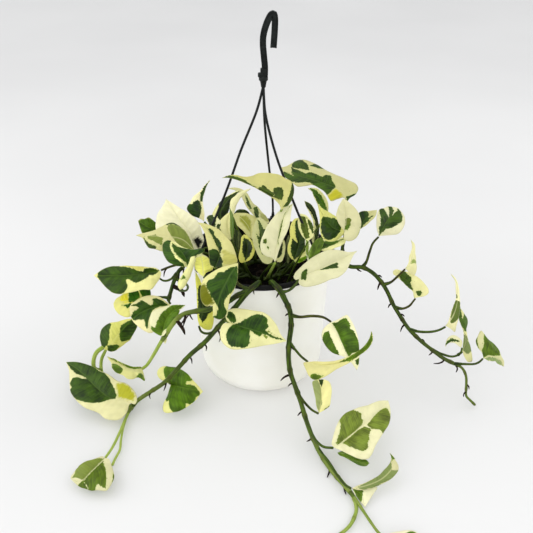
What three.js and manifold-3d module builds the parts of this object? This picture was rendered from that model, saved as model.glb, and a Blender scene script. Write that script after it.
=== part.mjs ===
import * as THREE from 'three';
import { mergeVertices } from 'three/addons/utils/BufferGeometryUtils.js';
import Module from 'manifold-3d';

const wasm = await Module();
wasm.setup();

// ---------- driving dimensions, mm ----------
const POT_RIM_R = 80;        // cover pot outer radius at the rim
const POT_BASE_R = 73.4;     // cover pot outer radius projected to the floor
const POT_H = 157.9;         // cover pot height
const POT_FILLET = 24;       // large round between wall and base
const POT_WALL = 3.4;        // cover pot wall
const POT_FLOOR = 4;         // cover pot bottom thickness
const LINER_LIP_R = 80.6;    // liner lip outer radius, rests over the cover rim
const LINER_LIP_T = 5.2;     // liner lip height
const LINER_TOP_R = 74.3;    // liner outer radius under the lip
const LINER_BASE_R = 50;     // liner outer radius at its bottom
const LINER_WALL = 1.6;      // liner wall
const GAP = 0.35;            // clearance between touching pieces
const SOIL_Z = 130.2;        // soil surface height
const LEAF_T = 0.9;          // leaf blade thickness
const HUB = [2.9, 0, 352];   // point where the three hanger strands meet
const STRAND_R = 1.35;       // hanger strand radius
const HOOK_W = 6.4;          // hook strip width
const HOOK_T = 4.2;          // hook strip thickness

// ---------- hanger paths ----------
const HOOK_PATH = [[3.5,0,363.1],[3.8,0,375.3],[3.4,0,390.2],[3.5,0,405.7],[4.8,0,414.3],[7.7,0,423.7],[10.4,0,428.1],[13.3,0,429],[15.9,0,426.1],[16.6,0,418.1],[15.4,0,404.8],[12.7,0,394.1]];
const STRANDS = [
  [[2.9,0,356],[-3.8,-4,332],[-20.8,-13,291.6],[-37.6,-21,246.8],[-72.4,-38.5,168.5]],
  [[2.9,0,356],[3.9,14,315],[7.8,37,262.1],[13.4,65,198.5],[14.2,80.8,168.5]],
  [[2.9,0,356],[5,-5,328.1],[16.1,-14,286.4],[29.1,-24,252.9],[43.3,-35,220.1],[68,-45.9,168.5]],
];

// ---------- stems: group, start radius, end radius, centre line ----------
const TUBES = [
  ['stems_left', 2.6, 2.1, [[-8,-44,134.2],[-6,-58,143],[-2,-70.9,163],[-5.6,-82.9,167.5],[-11.3,-89.9,166],[-19.8,-93.8,157],[-29.6,-94,143],[-44.3,-92.1,122],[-61.4,-93.4,100],[-79.2,-90.9,80],[-91.8,-88.1,62],[-110.7,-87.5,38],[-129.9,-84.2,20],[-145.7,-87.4,9],[-153.2,-94.8,3.4]]],
  ['stems_left', 2.2, 1.9, [[-11.3,-89.9,166],[-23.9,-92.2,161],[-37.8,-94.9,152],[-53.9,-95,145],[-68.1,-92.9,141],[-81.5,-90.4,136],[-89.6,-88.9,129],[-96.9,-88,119],[-104.1,-89.5,108]]],
  ['stems_left', 1.6, 1.3, [[-104.1,-89.5,108],[-111.3,-91.8,96],[-120.3,-92.3,79.6],[-128,-92.3,66.8],[-134.2,-88.1,58.5]]],
  ['stems_left', 1.3, 1.0, [[-103.5,-89,109],[-105.9,-94.8,108.5]]],
  ['stems_left', 1.7, 1.4, [[-153.2,-94.8,3.4],[-155.1,-115.8,6],[-157.4,-139.9,8],[-160.6,-162.9,10],[-164.2,-177.9,11.9]]],
  ['stems_left', 1.1, 1.4, [[-154.1,-96.3,3.2],[-155.8,-120.3,2.6],[-155.4,-140.6,2.6],[-153.8,-158.6,2.6],[-156,-168.7,2.6],[-158,-180.1,2.6]]],
  ['stems_left', 1.4, 1.2, [[-149.1,-92.8,7],[-149.7,-94,12.4]]],
  ['stems_left', 1.5, 1.2, [[-107,-87,42],[-107.5,-77.9,28.5],[-107.8,-69.9,20.2]]],
  ['stems_left', 2.3, 2.0, [[-8,-44,134.2],[-30,-38,134.2],[-48,-24,134.5],[-62,-14,150],[-74,-13,166],[-81,-14,169],[-87,-15,162],[-89.2,-16,150.7],[-94.5,-22,147.6],[-99.2,-30,140.4],[-102.7,-40,131.9],[-104.7,-50,126.3]]],
  ['stems_left', 1.6, 1.3, [[-89.2,-15,152.1],[-98.2,-17,152.6],[-107.1,-20,151.1],[-115.1,-21.5,148.3]]],
  ['stems_left', 1.5, 1.1, [[-96.4,-26,147.4],[-103.5,-28,140.5],[-110.8,-30,139.3],[-118,-32,145.7]]],
  ['stems_right', 2.7, 2.2, [[12,-44,134.2],[15,-58,145],[11.4,-71.4,164],[15.1,-82.9,167.5],[20.3,-91.1,165.5],[25.1,-90.8,155],[31.5,-84.8,134],[32.8,-87,117],[30.9,-90.8,98],[30.4,-96.2,80],[32.8,-101.5,63],[37.9,-108.3,50],[43.5,-115.7,36],[50,-130.5,20],[56,-146,11],[63.7,-166.2,6],[75,-188.8,3],[86.7,-208.9,3],[91.1,-216.6,3]]],
  ['stems_right', 1.9, 1.6, [[91.1,-216.6,3],[94.6,-226.8,3],[95.2,-237.9,3],[92.3,-247.5,3],[86.4,-258.1,3],[78.4,-266.1,3],[68.1,-275.1,3],[59.8,-285,3]]],
  ['stems_right', 1.6, 1.4, [[91.1,-216.6,3],[95.8,-228.5,5],[100.5,-239.6,5],[106.4,-254.7,6],[112.2,-268.1,7],[117.6,-275.9,7.8]]],
  ['stems_right', 1.7, 1.4, [[32.1,-84.7,130],[41.3,-86.7,129],[56,-80.6,125.9],[68.8,-73.1,118.9],[78,-66.4,108.4]]],
  ['stems_right', 1.6, 1.3, [[30.9,-90.8,98],[36.4,-93.8,92],[43.3,-106.3,90.8],[50.3,-115.8,90.6]]],
  ['stems_right', 1.5, 1.3, [[38.4,-108.8,49],[43.3,-115.8,42],[48.9,-120.6,36],[56.6,-125.3,30],[63.7,-128.4,27.5]]],
  ['stems_right', 1.7, 1.4, [[47.9,-124.7,25],[51.9,-137.3,19],[57.6,-154,16],[66.4,-167.5,17],[76.3,-173.9,21.6]]],
  ['stems_right', 1.6, 1.3, [[61.8,-161.4,7],[71.4,-178.6,7],[80.2,-199.2,7],[86.2,-211.3,8],[91.4,-217.7,9.7]]],
  ['stems_right', 1.6, 1.4, [[21.3,-91.1,164],[26.8,-86,161.3],[33.2,-82,162.9],[38.2,-76,165.6],[40,-72.5,167.2]]],
  ['stems_right', 2.5, 2.0, [[12,-44,134.2],[34,-34,134.2],[50,-18,135],[64,-12,152],[75,-12,166.5],[82,-12,168.5],[90,-13,163],[101.3,-16,150.7],[117.1,-19,150.5],[128.3,-24,146.1],[137.5,-29,137.7],[144.5,-34,128],[151.8,-40,114],[162.4,-48,98.6],[170.5,-54,88.7],[183.3,-60,77.4],[195.8,-66,69],[209.8,-71,59.9],[223.8,-74,53.5]]],
  ['stems_right', 1.6, 1.3, [[116.1,-18,150.1],[120.4,-17,156],[123.9,-14,168.2],[127.3,-12,178.8],[133.1,-10.7,186]]],
  ['stems_right', 1.5, 1.2, [[140.3,-31,134.9],[147.6,-31,137.5],[155.6,-32,147.1],[161.9,-34.4,157.4]]],
  ['stems_right', 1.5, 1.2, [[153.7,-41,110.5],[162.1,-43,109.7],[169.3,-45,114.7],[172.7,-47,122.2],[174.2,-48.5,126.7]]],
  ['stems_right', 1.7, 1.3, [[170.5,-54,88],[182.8,-57,87.1],[196,-59,88.7],[204.2,-61,93],[209.2,-62.4,98]]],
  ['stems_right', 1.6, 1.2, [[195.9,-66,68.3],[208.5,-69,64.1],[219.5,-72,62.8],[226.1,-75,68.1],[228.5,-76.4,73]]],
  ['stems_right', 1.5, 1.2, [[222.6,-74,53.9],[233.1,-77,55.9],[244.6,-80,58.6],[249.5,-82,64.3],[251.2,-82.2,67.9]]],
  ['stems_right', 1.6, 1.4, [[223.8,-74,53.5],[232.1,-76,49.2],[237.7,-78,38.9],[239.2,-81,26.4],[240.7,-83,12.8],[245,-85.5,8.9],[251.1,-88,3.4]]],
  ['stems_left', 1.6, 1.3, [[-151,-94,3.4],[-165.2,-80.3,2.6],[-186.3,-57.1,2.6],[-197.9,-34.1,10],[-199.4,-22,17.6],[-192.7,-22.4,32.4]]],
  ['stems_left', 1.3, 1.2, [[-38.6,-92.6,129],[-34.5,-102.5,133.4],[-32,-109.8,137.1]]],
  ['stems_left', 1.6, 1.2, [[-46.6,-92.1,118],[-52.2,-92.6,113],[-58.6,-92.9,111.2],[-65.3,-88.8,110.7],[-68.2,-83.9,114.6]]],
  ['stems_left', 1.7, 1.3, [[-11.3,-90.3,166],[-18.7,-86.8,167.5],[-25.1,-83.4,171],[-27.1,-81.6,180.3],[-23.2,-83.2,195.2]]],
  ['stems_left', 1.5, 1.2, [[-88,-15.5,158],[-81.2,-38.4,168.4],[-79.2,-60,175.1]]],
  ['stems_left', 1.4, 1.1, [[-98,-28,141],[-85.3,-38,140.1],[-80.9,-70.2,152.6],[-85,-92.2,166.3]]],
  ['stems_left', 1.5, 1.2, [[-104.7,-50,126.3],[-104,-50,123.6],[-102.5,-51.1,121.8]]],
  ['stems_left', 1.5, 1.2, [[-104.2,-49,128.3],[-115.1,-44,126.4],[-127.7,-43.6,125]]],
  ['stems_left', 1.5, 1.2, [[-88,-15,160],[-94.5,-4,158.4],[-105.1,9.6,164.4],[-112,18.1,167.9]]],
  ['crown_stems', 2.6, 2.6, [[-26,6,133.6],[-14,-12,133.6],[2,-18,133.6],[18,-10,133.6],[24,6,133.6],[10,20,133.6],[-8,22,133.6],[-20,14,133.6]]],
  ['crown_stems', 1.8, 1.3, [[-26,6,134],[-44,6,150],[-61.4,1.1,164.8],[-72.5,-3.3,165.2]]],
  ['crown_stems', 1.8, 1.3, [[-22,-2,134],[-40,-6,150],[-60.5,-19.5,168.7],[-73.6,-28.9,178]]],
  ['crown_stems', 1.8, 1.3, [[-20,-6,134],[-34,-24,142],[-44,-43,158],[-51,-54,165.8],[-57,-61.5,166.4],[-61.6,-67.1,166.8]]],
  ['crown_stems', 1.8, 1.3, [[-16,-10,134],[-26,-30,144],[-38,-52,166],[-48.7,-72.2,181.8]]],
  ['crown_stems', 1.8, 1.3, [[-24,10,134],[-36,12,152],[-54.8,22.4,170.6],[-67.5,28.8,184.6]]],
  ['crown_stems', 1.8, 1.3, [[-16,18,134],[-24,20,150],[-38.8,32.2,165.7],[-48.6,42.2,176.3]]],
  ['crown_stems', 1.8, 1.3, [[-6,20,134],[-14,16,155],[-26.6,19.3,176.2],[-33.4,24.5,193.3]]],
  ['crown_stems', 1.8, 1.3, [[8,20,134],[10,24,150],[8.1,32.3,166.8],[6.1,35.5,177.2]]],
  ['crown_stems', 1.8, 1.3, [[-18,0,134],[-24,-6,148],[-32.1,-3.7,163],[-35.3,1.6,173.8]]],
  ['crown_stems', 1.8, 1.3, [[4,20,134],[0,14,148],[-8.1,19.9,155.6],[-11.1,27.6,161.1]]],
  ['crown_stems', 1.8, 1.3, [[4,-18,134],[6.1,-44,150.6],[11.1,-66.3,176],[14.8,-81.7,194.1]]],
  ['crown_stems', 1.8, 1.3, [[0,-18,134],[2,-26,146],[7,-38,160],[11.8,-46.3,172.4]]],
  ['crown_stems', 1.8, 1.3, [[-8,-15,134],[-10.6,-26,142],[-15.8,-36,158.8],[-17.9,-40.5,169.4]]],
  ['crown_stems', 2.0, 1.3, [[22,2,134],[24,-4,155],[24,-12,186],[22,-27,219.1],[22.9,-41.5,236.4],[21.1,-58.2,242.8]]],
  ['crown_stems', 1.8, 1.3, [[20,0,134],[36,4,150],[61.2,21.4,172.3],[79.1,34.7,193.6]]],
  ['crown_stems', 1.8, 1.3, [[18,-10,134],[24,-22,142],[32,-32,157],[36.3,-36.4,169.6]]],
  ['crown_stems', 1.8, 1.3, [[22,-4,134],[36,-4,144],[52.3,5.1,152],[59.9,11,159.4]]],
  ['crown_stems', 1.5, 1.1, [[20,-7,134],[34,-22,142],[45.8,-39,159.9],[51.7,-47.5,173.7]]],
  ['stems_right', 2.2, 1.8, [[96,-14,157],[92.6,-16,172],[92.8,-19,184.1],[93.8,-21,192.8]]],
  ['stems_right', 1.5, 1.2, [[93.8,-21,192.8],[93,-27.1,199.2],[92.1,-31.6,202.6]]],
  ['stems_right', 1.8, 1.3, [[93.8,-21,192.8],[99.9,-8,196],[100.5,1.4,209.4],[96.5,-1.1,224]]],
  ['stems_right', 1.3, 1.1, [[93.8,-21,191.6],[102.4,-14,190.9],[110.5,-12.6,196.1]]],
  ['stems_right', 1.4, 1.1, [[92.6,-19.5,185.6],[94.1,-24.8,190.2],[94.8,-28.4,193]]],
  ['stems_right', 1.4, 1.1, [[93,-20,188.5],[96.9,-17,193.2],[96.4,-14.4,195]]],
  ['stems_right', 1.3, 1.1, [[225.2,-74.6,67.1],[227.4,-76.5,72.9],[227,-78.3,79.5]]],
];

// ---------- leaves: name, colour, midrib, margins, rows ----------
const LEAVES = [
  ['leaf_left_01', 0xe2e0b0, [[-116.3,-22,148.3],[-132.1,-30.4,149.4],[-159.1,-37.9,151],[-188.3,-38,151.5]],
    [[-116.3,-22,148.3],[-120.8,-20.9,150.9],[-129.5,-22.6,153.3],[-138.2,-24.3,155.3],[-154.7,-26.9,157.5],[-169,-28.7,157.9],[-177.8,-31.2,156.5],[-184.1,-35.2,153.7],[-188.3,-38,151.5]],
    [[-116.3,-22,148.3],[-114.7,-25.7,147.2],[-115,-33.6,145.4],[-118.2,-44,143.9],[-122.6,-53.5,142.7],[-131.1,-55.8,143.6],[-139.4,-59.5,144],[-147.6,-62.9,144.2],[-154.9,-65.1,144.3],[-162.8,-63.9,145.1],[-170.4,-57.8,146.8],[-180,-46.5,149.5],[-188.3,-38,151.5]], 9],
  ['leaf_left_02', 0xe2e0b0, [[-128.9,-44,125],[-139.2,-50.1,126.3],[-151,-53.5,127.3],[-165.8,-56.4,125.8]],
    [[-128.9,-44,125],[-126.5,-40.3,125.3],[-127.3,-33.6,127.7],[-131.8,-24.4,131.4],[-137.5,-19.5,134.1],[-143.2,-18.9,135.9],[-149.5,-22.7,136.5],[-153.7,-29.8,134.8],[-152.6,-37.5,132.3],[-158.3,-45.5,130.1],[-163.8,-50.7,128.1],[-165.8,-56.4,125.8]],
    [[-128.9,-44,125],[-131.8,-48.7,122.7],[-136.8,-55.4,119],[-141.9,-60.5,115.8],[-146.1,-63.8,113.6],[-150.4,-65.1,113.1],[-158.2,-64,115.7],[-162.8,-61.5,119.2],[-165.1,-58.8,122.7],[-165.8,-56.4,125.8]], 8],
  ['leaf_left_03', 0xe2e0b0, [[-103.2,-51.7,121.5],[-117.2,-56.9,122.1],[-131.2,-62.1,119.6],[-145,-67.9,112.8]],
    [[-103.2,-51.7,121.5],[-108.6,-50.6,126],[-114.1,-49.6,130.1],[-122.8,-50.1,132.7],[-131.5,-52.4,132.7],[-138,-55.2,130.5],[-145.6,-59.3,126.5],[-147.2,-62.1,122.3],[-146.1,-65.6,116.6],[-145,-67.9,112.8]],
    [[-103.2,-51.7,121.5],[-102.9,-55.7,119.2],[-106.4,-66.4,114.4],[-112.2,-76.2,110.5],[-117.2,-82.5,106.9],[-122.7,-83.7,105],[-130.9,-79.9,106.3],[-138.1,-74.8,108.8],[-142.4,-71,110.8],[-145,-67.9,112.8]], 7],
  ['leaf_left_04', 0xe2e0b0, [[-106.1,-94.5,109],[-106.2,-85.7,114.7],[-102.2,-74.4,121.4],[-94.5,-66.8,125.6],[-84.3,-62,127.6]],
    [[-106.1,-94.5,109],[-109.3,-94.7,109.4],[-114.3,-93.2,111.2],[-119.3,-90.3,114],[-121.5,-84.3,117.7],[-122,-78.4,121.5],[-120.3,-72.7,125],[-116.3,-69.2,126.5],[-109.9,-66.7,127.5],[-101.3,-63.8,128.5],[-92.5,-62.5,128.5],[-84.3,-62,127.6]],
    [[-106.1,-94.5,109],[-103,-91.5,112.2],[-98.2,-88,116.3],[-93.2,-80.7,121.2],[-90.3,-71.9,124.4],[-89.3,-68.2,125.6],[-86.7,-65.8,126.4],[-84.3,-62,127.6]], 7],
  ['leaf_left_05', 0xe2e0b0, [[-191.9,-22,33.3],[-184.8,-16.5,39.9],[-178.1,-8.8,46.4],[-170.5,0.8,51.6],[-162.1,12.6,55.5]],
    [[-191.9,-22,33.3],[-196,-19.7,33.8],[-199.6,-13.3,37.4],[-201.5,-5.8,42.6],[-200.5,0.3,47.4],[-196.3,4.8,51],[-190.3,7.2,53.1],[-181.6,8.5,54.4],[-174.3,10.5,55.4],[-167.7,12.5,55.9],[-162.1,12.6,55.5]],
    [[-191.9,-22,33.3],[-186.3,-21,29.9],[-181.2,-18.9,29.8],[-174.9,-14.4,32.4],[-169.2,-9.7,34.7],[-164.8,-5.6,36.2],[-160.5,2,41.5],[-157.1,9.4,46.1],[-158.7,12.6,51.6],[-162.1,12.6,55.5]], 7],
  ['leaf_left_06', 0xe2e0b0, [[-150.6,-94,13],[-164,-92.3,15.7],[-178,-90.5,17.9],[-192.6,-79.2,21.8],[-205.4,-67,25.1],[-221.3,-52.6,28.4],[-236.9,-41.6,30.2]],
    [[-150.6,-94,13],[-146.7,-97.2,12.5],[-144.4,-92.6,13.7],[-146.7,-83.6,16.4],[-153.6,-75.5,20.1],[-161.1,-71.4,22.7],[-169.5,-69.7,24.3],[-179.8,-63.4,27.4],[-191.5,-57.2,29.1],[-200.9,-51.4,30.5],[-211.5,-46.6,31.2],[-221.8,-43.2,31.5],[-230.7,-41.9,30.9],[-236.9,-41.6,30.2]],
    [[-150.6,-94,13],[-152.8,-98.4,12.8],[-153.2,-107.1,11.6],[-155.9,-114.8,11.2],[-160.5,-120.6,11.3],[-167.9,-122.6,12.4],[-175.9,-121.5,13.6],[-183.8,-114.9,15.1],[-191,-112.2,16.3],[-199.3,-109.7,17.8],[-207.2,-104,19.5],[-214.2,-97.5,21.1],[-220.6,-89.1,22.8],[-223.9,-80.2,24.2],[-226.5,-69.7,25.9],[-229.5,-57.3,27.7],[-233.5,-47.9,29.2],[-236.9,-41.6,30.2]], 9],
  ['leaf_left_07', 0xe2e0b0, [[-135.2,-88,58.3],[-148.2,-90.3,60.9],[-161.2,-85.3,63.6],[-176.3,-76,66]],
    [[-135.2,-88,58.3],[-136.2,-87.3,60.2],[-144.9,-88.9,61.8],[-152.9,-87.3,63.9],[-161.2,-83.8,65.5],[-167.5,-80.1,66.5],[-172.5,-78,66],[-176.3,-76,66]],
    [[-135.2,-88,58.3],[-131.9,-97.8,59.9],[-127.9,-114.9,62.8],[-136.1,-108.3,62.5],[-140.7,-113.3,64.3],[-147.1,-113.7,65.4],[-152.2,-109.3,65.9],[-160.3,-106.1,67.5],[-166.2,-98.5,67.7],[-169.1,-88.3,66.5],[-172.7,-82.8,66.4],[-176.3,-76,66]], 9],
  ['leaf_left_08', 0xe2e0b0, [[-107.1,-70,20],[-95.6,-76.9,21.3],[-83.6,-79.9,20.9],[-68.6,-79.4,16.6]],
    [[-107.1,-70,20],[-111.4,-68.1,21.4],[-118.5,-66.4,23.1],[-123.4,-62.1,25.6],[-124.5,-56.9,28.1],[-121.7,-52,30.2],[-115.9,-50,30.9],[-108.6,-51,30.1],[-101.3,-51.9,30.1],[-92.2,-58.9,30.5],[-85.8,-64.5,29.1],[-80.7,-69.9,26],[-74.6,-74.9,21.9],[-68.6,-79.4,16.6]],
    [[-107.1,-70,20],[-108.6,-78.4,18],[-110.2,-88.1,15.8],[-112.7,-94.9,14.3],[-113.2,-103.1,12.5],[-111,-109.3,12.2],[-106,-112.3,13],[-100.4,-111.8,13.7],[-94.8,-110.7,14.2],[-88.3,-106.7,15.1],[-81.9,-101.3,15.5],[-76.7,-94.8,15.7],[-72.7,-86.9,16.3],[-68.6,-79.4,16.6]], 9],
  ['leaf_left_09', 0xe2e0b0, [[-164.7,-179.1,12],[-169.9,-189.7,12.2],[-176.3,-199.1,11.3],[-182.2,-206.5,9.2],[-189.5,-206.6,7.9],[-196.4,-201.9,7]],
    [[-164.7,-179.1,12],[-167,-177.5,12.9],[-171.6,-180.4,14.1],[-176,-183.7,14.9],[-180.7,-186,15.6],[-186,-190.1,15.6],[-191.2,-192.6,11.6],[-193.7,-196.8,9.5],[-195.8,-199.5,8],[-196.4,-201.9,7]],
    [[-164.7,-179.1,12],[-160.7,-180.2,12.4],[-156,-188.7,11.9],[-151.9,-198.5,12.1],[-150,-205.3,12.2],[-151.1,-214.3,12.1],[-154.7,-222.1,11.5],[-163.7,-221.1,10.3],[-169.9,-220.8,9.3],[-176.6,-217.9,8.9],[-183.5,-214.8,8.2],[-190,-209.2,7.8],[-194,-205.2,7.4],[-196.4,-201.9,7]], 9],
  ['leaf_crown_01', 0xe2e0b0, [[-73.3,-3.2,166],[-83.6,6,183.4],[-96.5,16.2,197.6],[-111.4,33.4,212.4]],
    [[-73.3,-3.2,166],[-76.4,-7.7,165.2],[-86,-13.3,169.1],[-97.7,-17.3,176.6],[-108.3,-18,184.8],[-116,-15.3,191],[-119.2,-8.5,196.3],[-119.6,0.8,201],[-118.4,11.2,205.3],[-114.8,20.9,208.2],[-112.2,28.9,210.7],[-111.4,33.4,212.4]],
    [[-73.3,-3.2,166],[-68.8,-1.4,167],[-66.5,3.7,174],[-69,8.5,182],[-71.2,12.5,187.8],[-75.9,17.1,194.5],[-82.9,20.2,199.4],[-93.4,24.2,204.6],[-101.8,28.2,208.4],[-108.4,31.6,211.1],[-111.4,33.4,212.4]], 9],
  ['leaf_crown_02', 0x3f6418, [[-112.8,18.5,168.6],[-125,18.5,179.3],[-134.9,17.8,185],[-144.1,19.7,190.6]],
    [[-112.8,18.5,168.6],[-115.1,22,176.1],[-121.8,23.8,183.8],[-128,25,189.5],[-132.5,25.6,192.4],[-136.9,23,191.5],[-141.2,22.2,192.2],[-144.1,19.7,190.6]],
    [[-112.8,18.5,168.6],[-119.1,13.4,170.7],[-127.6,10.2,175.8],[-133,8.8,178.6],[-138.4,7.4,180.9],[-140.8,12.5,185.1],[-144.1,19.7,190.6]], 6],
  ['leaf_crown_03', 0xe2e0b0, [[-74.4,-28.8,178.7],[-87.5,-21,187.7],[-104,-21.2,192.3],[-123.5,-23.7,194.3],[-139.1,-23.3,195]],
    [[-74.4,-28.8,178.7],[-79,-18,184.8],[-85.4,-6.5,190.7],[-92.6,-0.6,194.4],[-101.3,2.2,197.4],[-107.1,-1.1,197.8],[-113.2,-7.7,197.1],[-120.2,-14.2,196.4],[-127.6,-18.1,196],[-133.9,-20.5,195.6],[-139.1,-23.3,195]],
    [[-74.4,-28.8,178.7],[-79.2,-31.5,178.3],[-89.9,-35.5,178.6],[-100.5,-38.5,181],[-109.2,-38.7,183.1],[-116.9,-37.5,185.2],[-123.5,-36.6,186.6],[-127.7,-32.2,189.5],[-131.6,-26.5,193.1],[-139.1,-23.3,195]], 9],
  ['leaf_crown_04', 0xe2e0b0, [[-79.4,-59.9,175.9],[-81.7,-53.7,183.6],[-88.1,-46.3,189.3],[-99.5,-33.9,194.6]],
    [[-79.4,-59.9,175.9],[-83.1,-60.8,176.5],[-91.4,-61.8,178.9],[-98.8,-61.4,182.4],[-103.5,-55.9,185.4],[-107.1,-46.9,189],[-107.3,-39.1,192.8],[-104.3,-35,194.9],[-99.5,-33.9,194.6]],
    [[-79.4,-59.9,175.9],[-76.6,-59.1,179.2],[-76.1,-55.8,184.2],[-68.8,-56.4,187.6],[-62.2,-56.5,191.1],[-60.1,-54,194.7],[-69,-51.4,192.9],[-76.8,-49.2,191.9],[-85.9,-44.4,192.6],[-93,-38.7,194.4],[-99.5,-33.9,194.6]], 7],
  ['leaf_crown_05', 0xe2e0b0, [[-84.7,-91.9,167.1],[-79.9,-82.8,175],[-75.2,-72.2,182.1],[-70.4,-58.8,189.1]],
    [[-84.7,-91.9,167.1],[-87.3,-86.8,168.2],[-86.7,-80.2,172.1],[-83.7,-76.2,175.8],[-79.7,-71.1,180.2],[-76.4,-64,184.6],[-75.1,-58.3,187.2],[-70.4,-58.8,189.1]],
    [[-84.7,-91.9,167.1],[-81.3,-88.5,167.4],[-77.5,-82.5,171.1],[-74.2,-75.8,175.6],[-71.9,-68.6,181.2],[-69.6,-61.4,185.6],[-70.4,-58.8,189.1]], 6],
  ['leaf_crown_06', 0xd6d47c, [[-62,-66.8,167.4],[-62.7,-60.1,173.5],[-64.2,-52,178.8],[-67.5,-42.2,183.2]],
    [[-62,-66.8,167.4],[-67.1,-62.2,169],[-71.8,-56.1,171.7],[-72.7,-50.6,175.4],[-71.3,-45.4,179.3],[-67.5,-42.2,183.2]],
    [[-62,-66.8,167.4],[-59,-61.7,170],[-52.3,-55.8,170.5],[-54.6,-50.7,174.8],[-57.6,-45.5,178.7],[-62.6,-43.3,181.3],[-67.5,-42.2,183.2]], 6],
  ['leaf_crown_07', 0xe2e0b0, [[-48.6,-72,182.6],[-44.1,-62.4,192.4],[-47.1,-51.4,200.9],[-55.1,-39.7,208],[-69,-26.6,213]],
    [[-48.6,-72,182.6],[-52.3,-72.6,183.6],[-54.4,-69.6,188],[-55.2,-65.2,195.2],[-56.2,-59.6,199.3],[-58.2,-51.9,203.6],[-60.9,-41.6,207.8],[-64.7,-33.4,210.8],[-69,-26.6,213]],
    [[-48.6,-72,182.6],[-37.8,-74.1,185.4],[-25,-74.2,190.1],[-25.9,-67.3,194],[-28.6,-59.5,199.3],[-31.9,-53.6,203.3],[-36.4,-48.1,206.4],[-43,-41.5,210.2],[-49.8,-36.6,212.1],[-58.7,-31.5,213.4],[-69,-26.6,213]], 9],
  ['leaf_crown_08', 0xe2e0b0, [[-68,29.6,185.4],[-71.1,34.9,194.7],[-72.3,44.7,205.7],[-69.8,55.2,213.8],[-62.1,69,220.6]],
    [[-68,29.6,185.4],[-73.5,27.8,189.9],[-80.1,25.1,194.3],[-84.5,25.1,198.3],[-87.1,26.6,202.7],[-86.4,29.9,205.3],[-83.8,34.2,206.8],[-80.7,41.7,211],[-76.4,47.5,212.8],[-73.1,52,213.9],[-68.7,59,217.2],[-62.1,69,220.6]],
    [[-68,29.6,185.4],[-67.3,33,192.9],[-68.5,37.9,199.7],[-69.5,42.2,204.2],[-69.1,47,208.4],[-67.3,52.9,212.9],[-65.3,61,217],[-62.1,69,220.6]], 7],
  ['leaf_crown_09', 0xe2e0b0, [[-48.9,43.1,177.1],[-49,51.7,187.5],[-40.8,63.4,196.6],[-26,78.8,202.8]],
    [[-48.9,43.1,177.1],[-54.4,47.9,180.9],[-60,50.6,181.8],[-56.5,56.5,188.6],[-51.2,62.3,193.8],[-45.8,66.6,197.4],[-39.8,70.6,199.9],[-32.6,75.8,202.1],[-26,78.8,202.8]],
    [[-48.9,43.1,177.1],[-44.2,48.1,179.9],[-39.5,55.6,186.9],[-37.8,62,193.2],[-33.7,68.3,197.7],[-29.5,73.7,200.5],[-26,78.8,202.8]], 6],
  ['leaf_crown_10', 0xe2e0b0, [[-33.6,25.4,194.2],[-33.3,33.2,202.1],[-27.1,43.1,209.7],[-13,55.4,215.6]],
    [[-33.6,25.4,194.2],[-35.7,30.6,198.1],[-37.3,37.3,202.7],[-36,43.1,206.4],[-31.3,46.6,209.9],[-23.1,52.6,213.7],[-13,55.4,215.6]],
    [[-33.6,25.4,194.2],[-31,31.6,198.3],[-28.8,37.6,203.8],[-24.1,44.4,209.1],[-18.3,50.4,213.4],[-13,55.4,215.6]], 6],
  ['leaf_crown_11', 0xe2e0b0, [[5.5,36.4,177.8],[-7.8,51.7,187.5],[-17.1,65.3,194.4],[-26.6,79.8,200.3],[-42,90.2,200]],
    [[5.5,36.4,177.8],[0.7,39.5,178.9],[-5.4,44,180.6],[-11.5,51,184.5],[-17.7,59.2,188.5],[-22.1,67.6,193.2],[-25.9,75.2,197.1],[-30.4,81.2,199.2],[-35.5,85.6,200.2],[-42,90.2,200]],
    [[5.5,36.4,177.8],[9.1,38.9,179.2],[5.5,45.8,183.8],[0.6,50.5,186.8],[-4.2,56.8,190.4],[-9.2,60.8,192.5],[-13.5,67.8,195.9],[-17.3,75.8,199.5],[-23,81.9,201.7],[-31.8,87.4,202.1],[-42,90.2,200]], 8],
  ['leaf_crown_12', 0xe2e0b0, [[-35.7,2.5,174.7],[-38.7,10.2,183.8],[-38.9,18.8,191],[-36.8,29.8,197.9]],
    [[-35.7,2.5,174.7],[-40.8,3.8,178.7],[-47.8,8.2,185.5],[-48.5,15.2,191.6],[-43.6,22.4,195.3],[-36.8,29.8,197.9]],
    [[-35.7,2.5,174.7],[-33.4,6.7,180.4],[-33.7,13.4,187.3],[-34.5,21.9,193.4],[-36.8,29.8,197.9]], 6],
  ['leaf_crown_13', 0xe2e0b0, [[-11.3,28.8,161.5],[-15.1,41.5,169.7],[-23.9,54.4,175.3],[-35.3,66.6,178]],
    [[-11.3,28.8,161.5],[-8.4,32.3,165.1],[-5.4,40.5,171.6],[-4.2,48.2,176.4],[-10.4,55.5,179.5],[-17.8,59.9,180.2],[-26.5,62.8,179.2],[-35.3,66.6,178]],
    [[-11.3,28.8,161.5],[-16.2,30.9,163.8],[-22.3,36.9,168.1],[-28.4,42.8,171.1],[-33.5,48.8,172.7],[-35.3,58.9,175.7],[-35.3,66.6,178]], 6],
  ['leaf_crown_14', 0xe2e0b0, [[14.9,-81.7,195.2],[15.4,-77.2,207],[19,-69.8,219.5],[22.2,-60.2,230.8],[27.5,-50.7,238.9],[34,-42.7,243.7]],
    [[14.9,-81.7,195.2],[12.3,-81,199.6],[6.6,-81.8,201.8],[1.4,-81.6,205.9],[-0.4,-78.5,212.5],[0.4,-75.8,218.1],[3.5,-71.6,224],[6.6,-66.8,229.6],[11.8,-60.9,234.7],[18.1,-54.4,239.5],[26.5,-48,242.5],[34,-42.7,243.7]],
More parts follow.
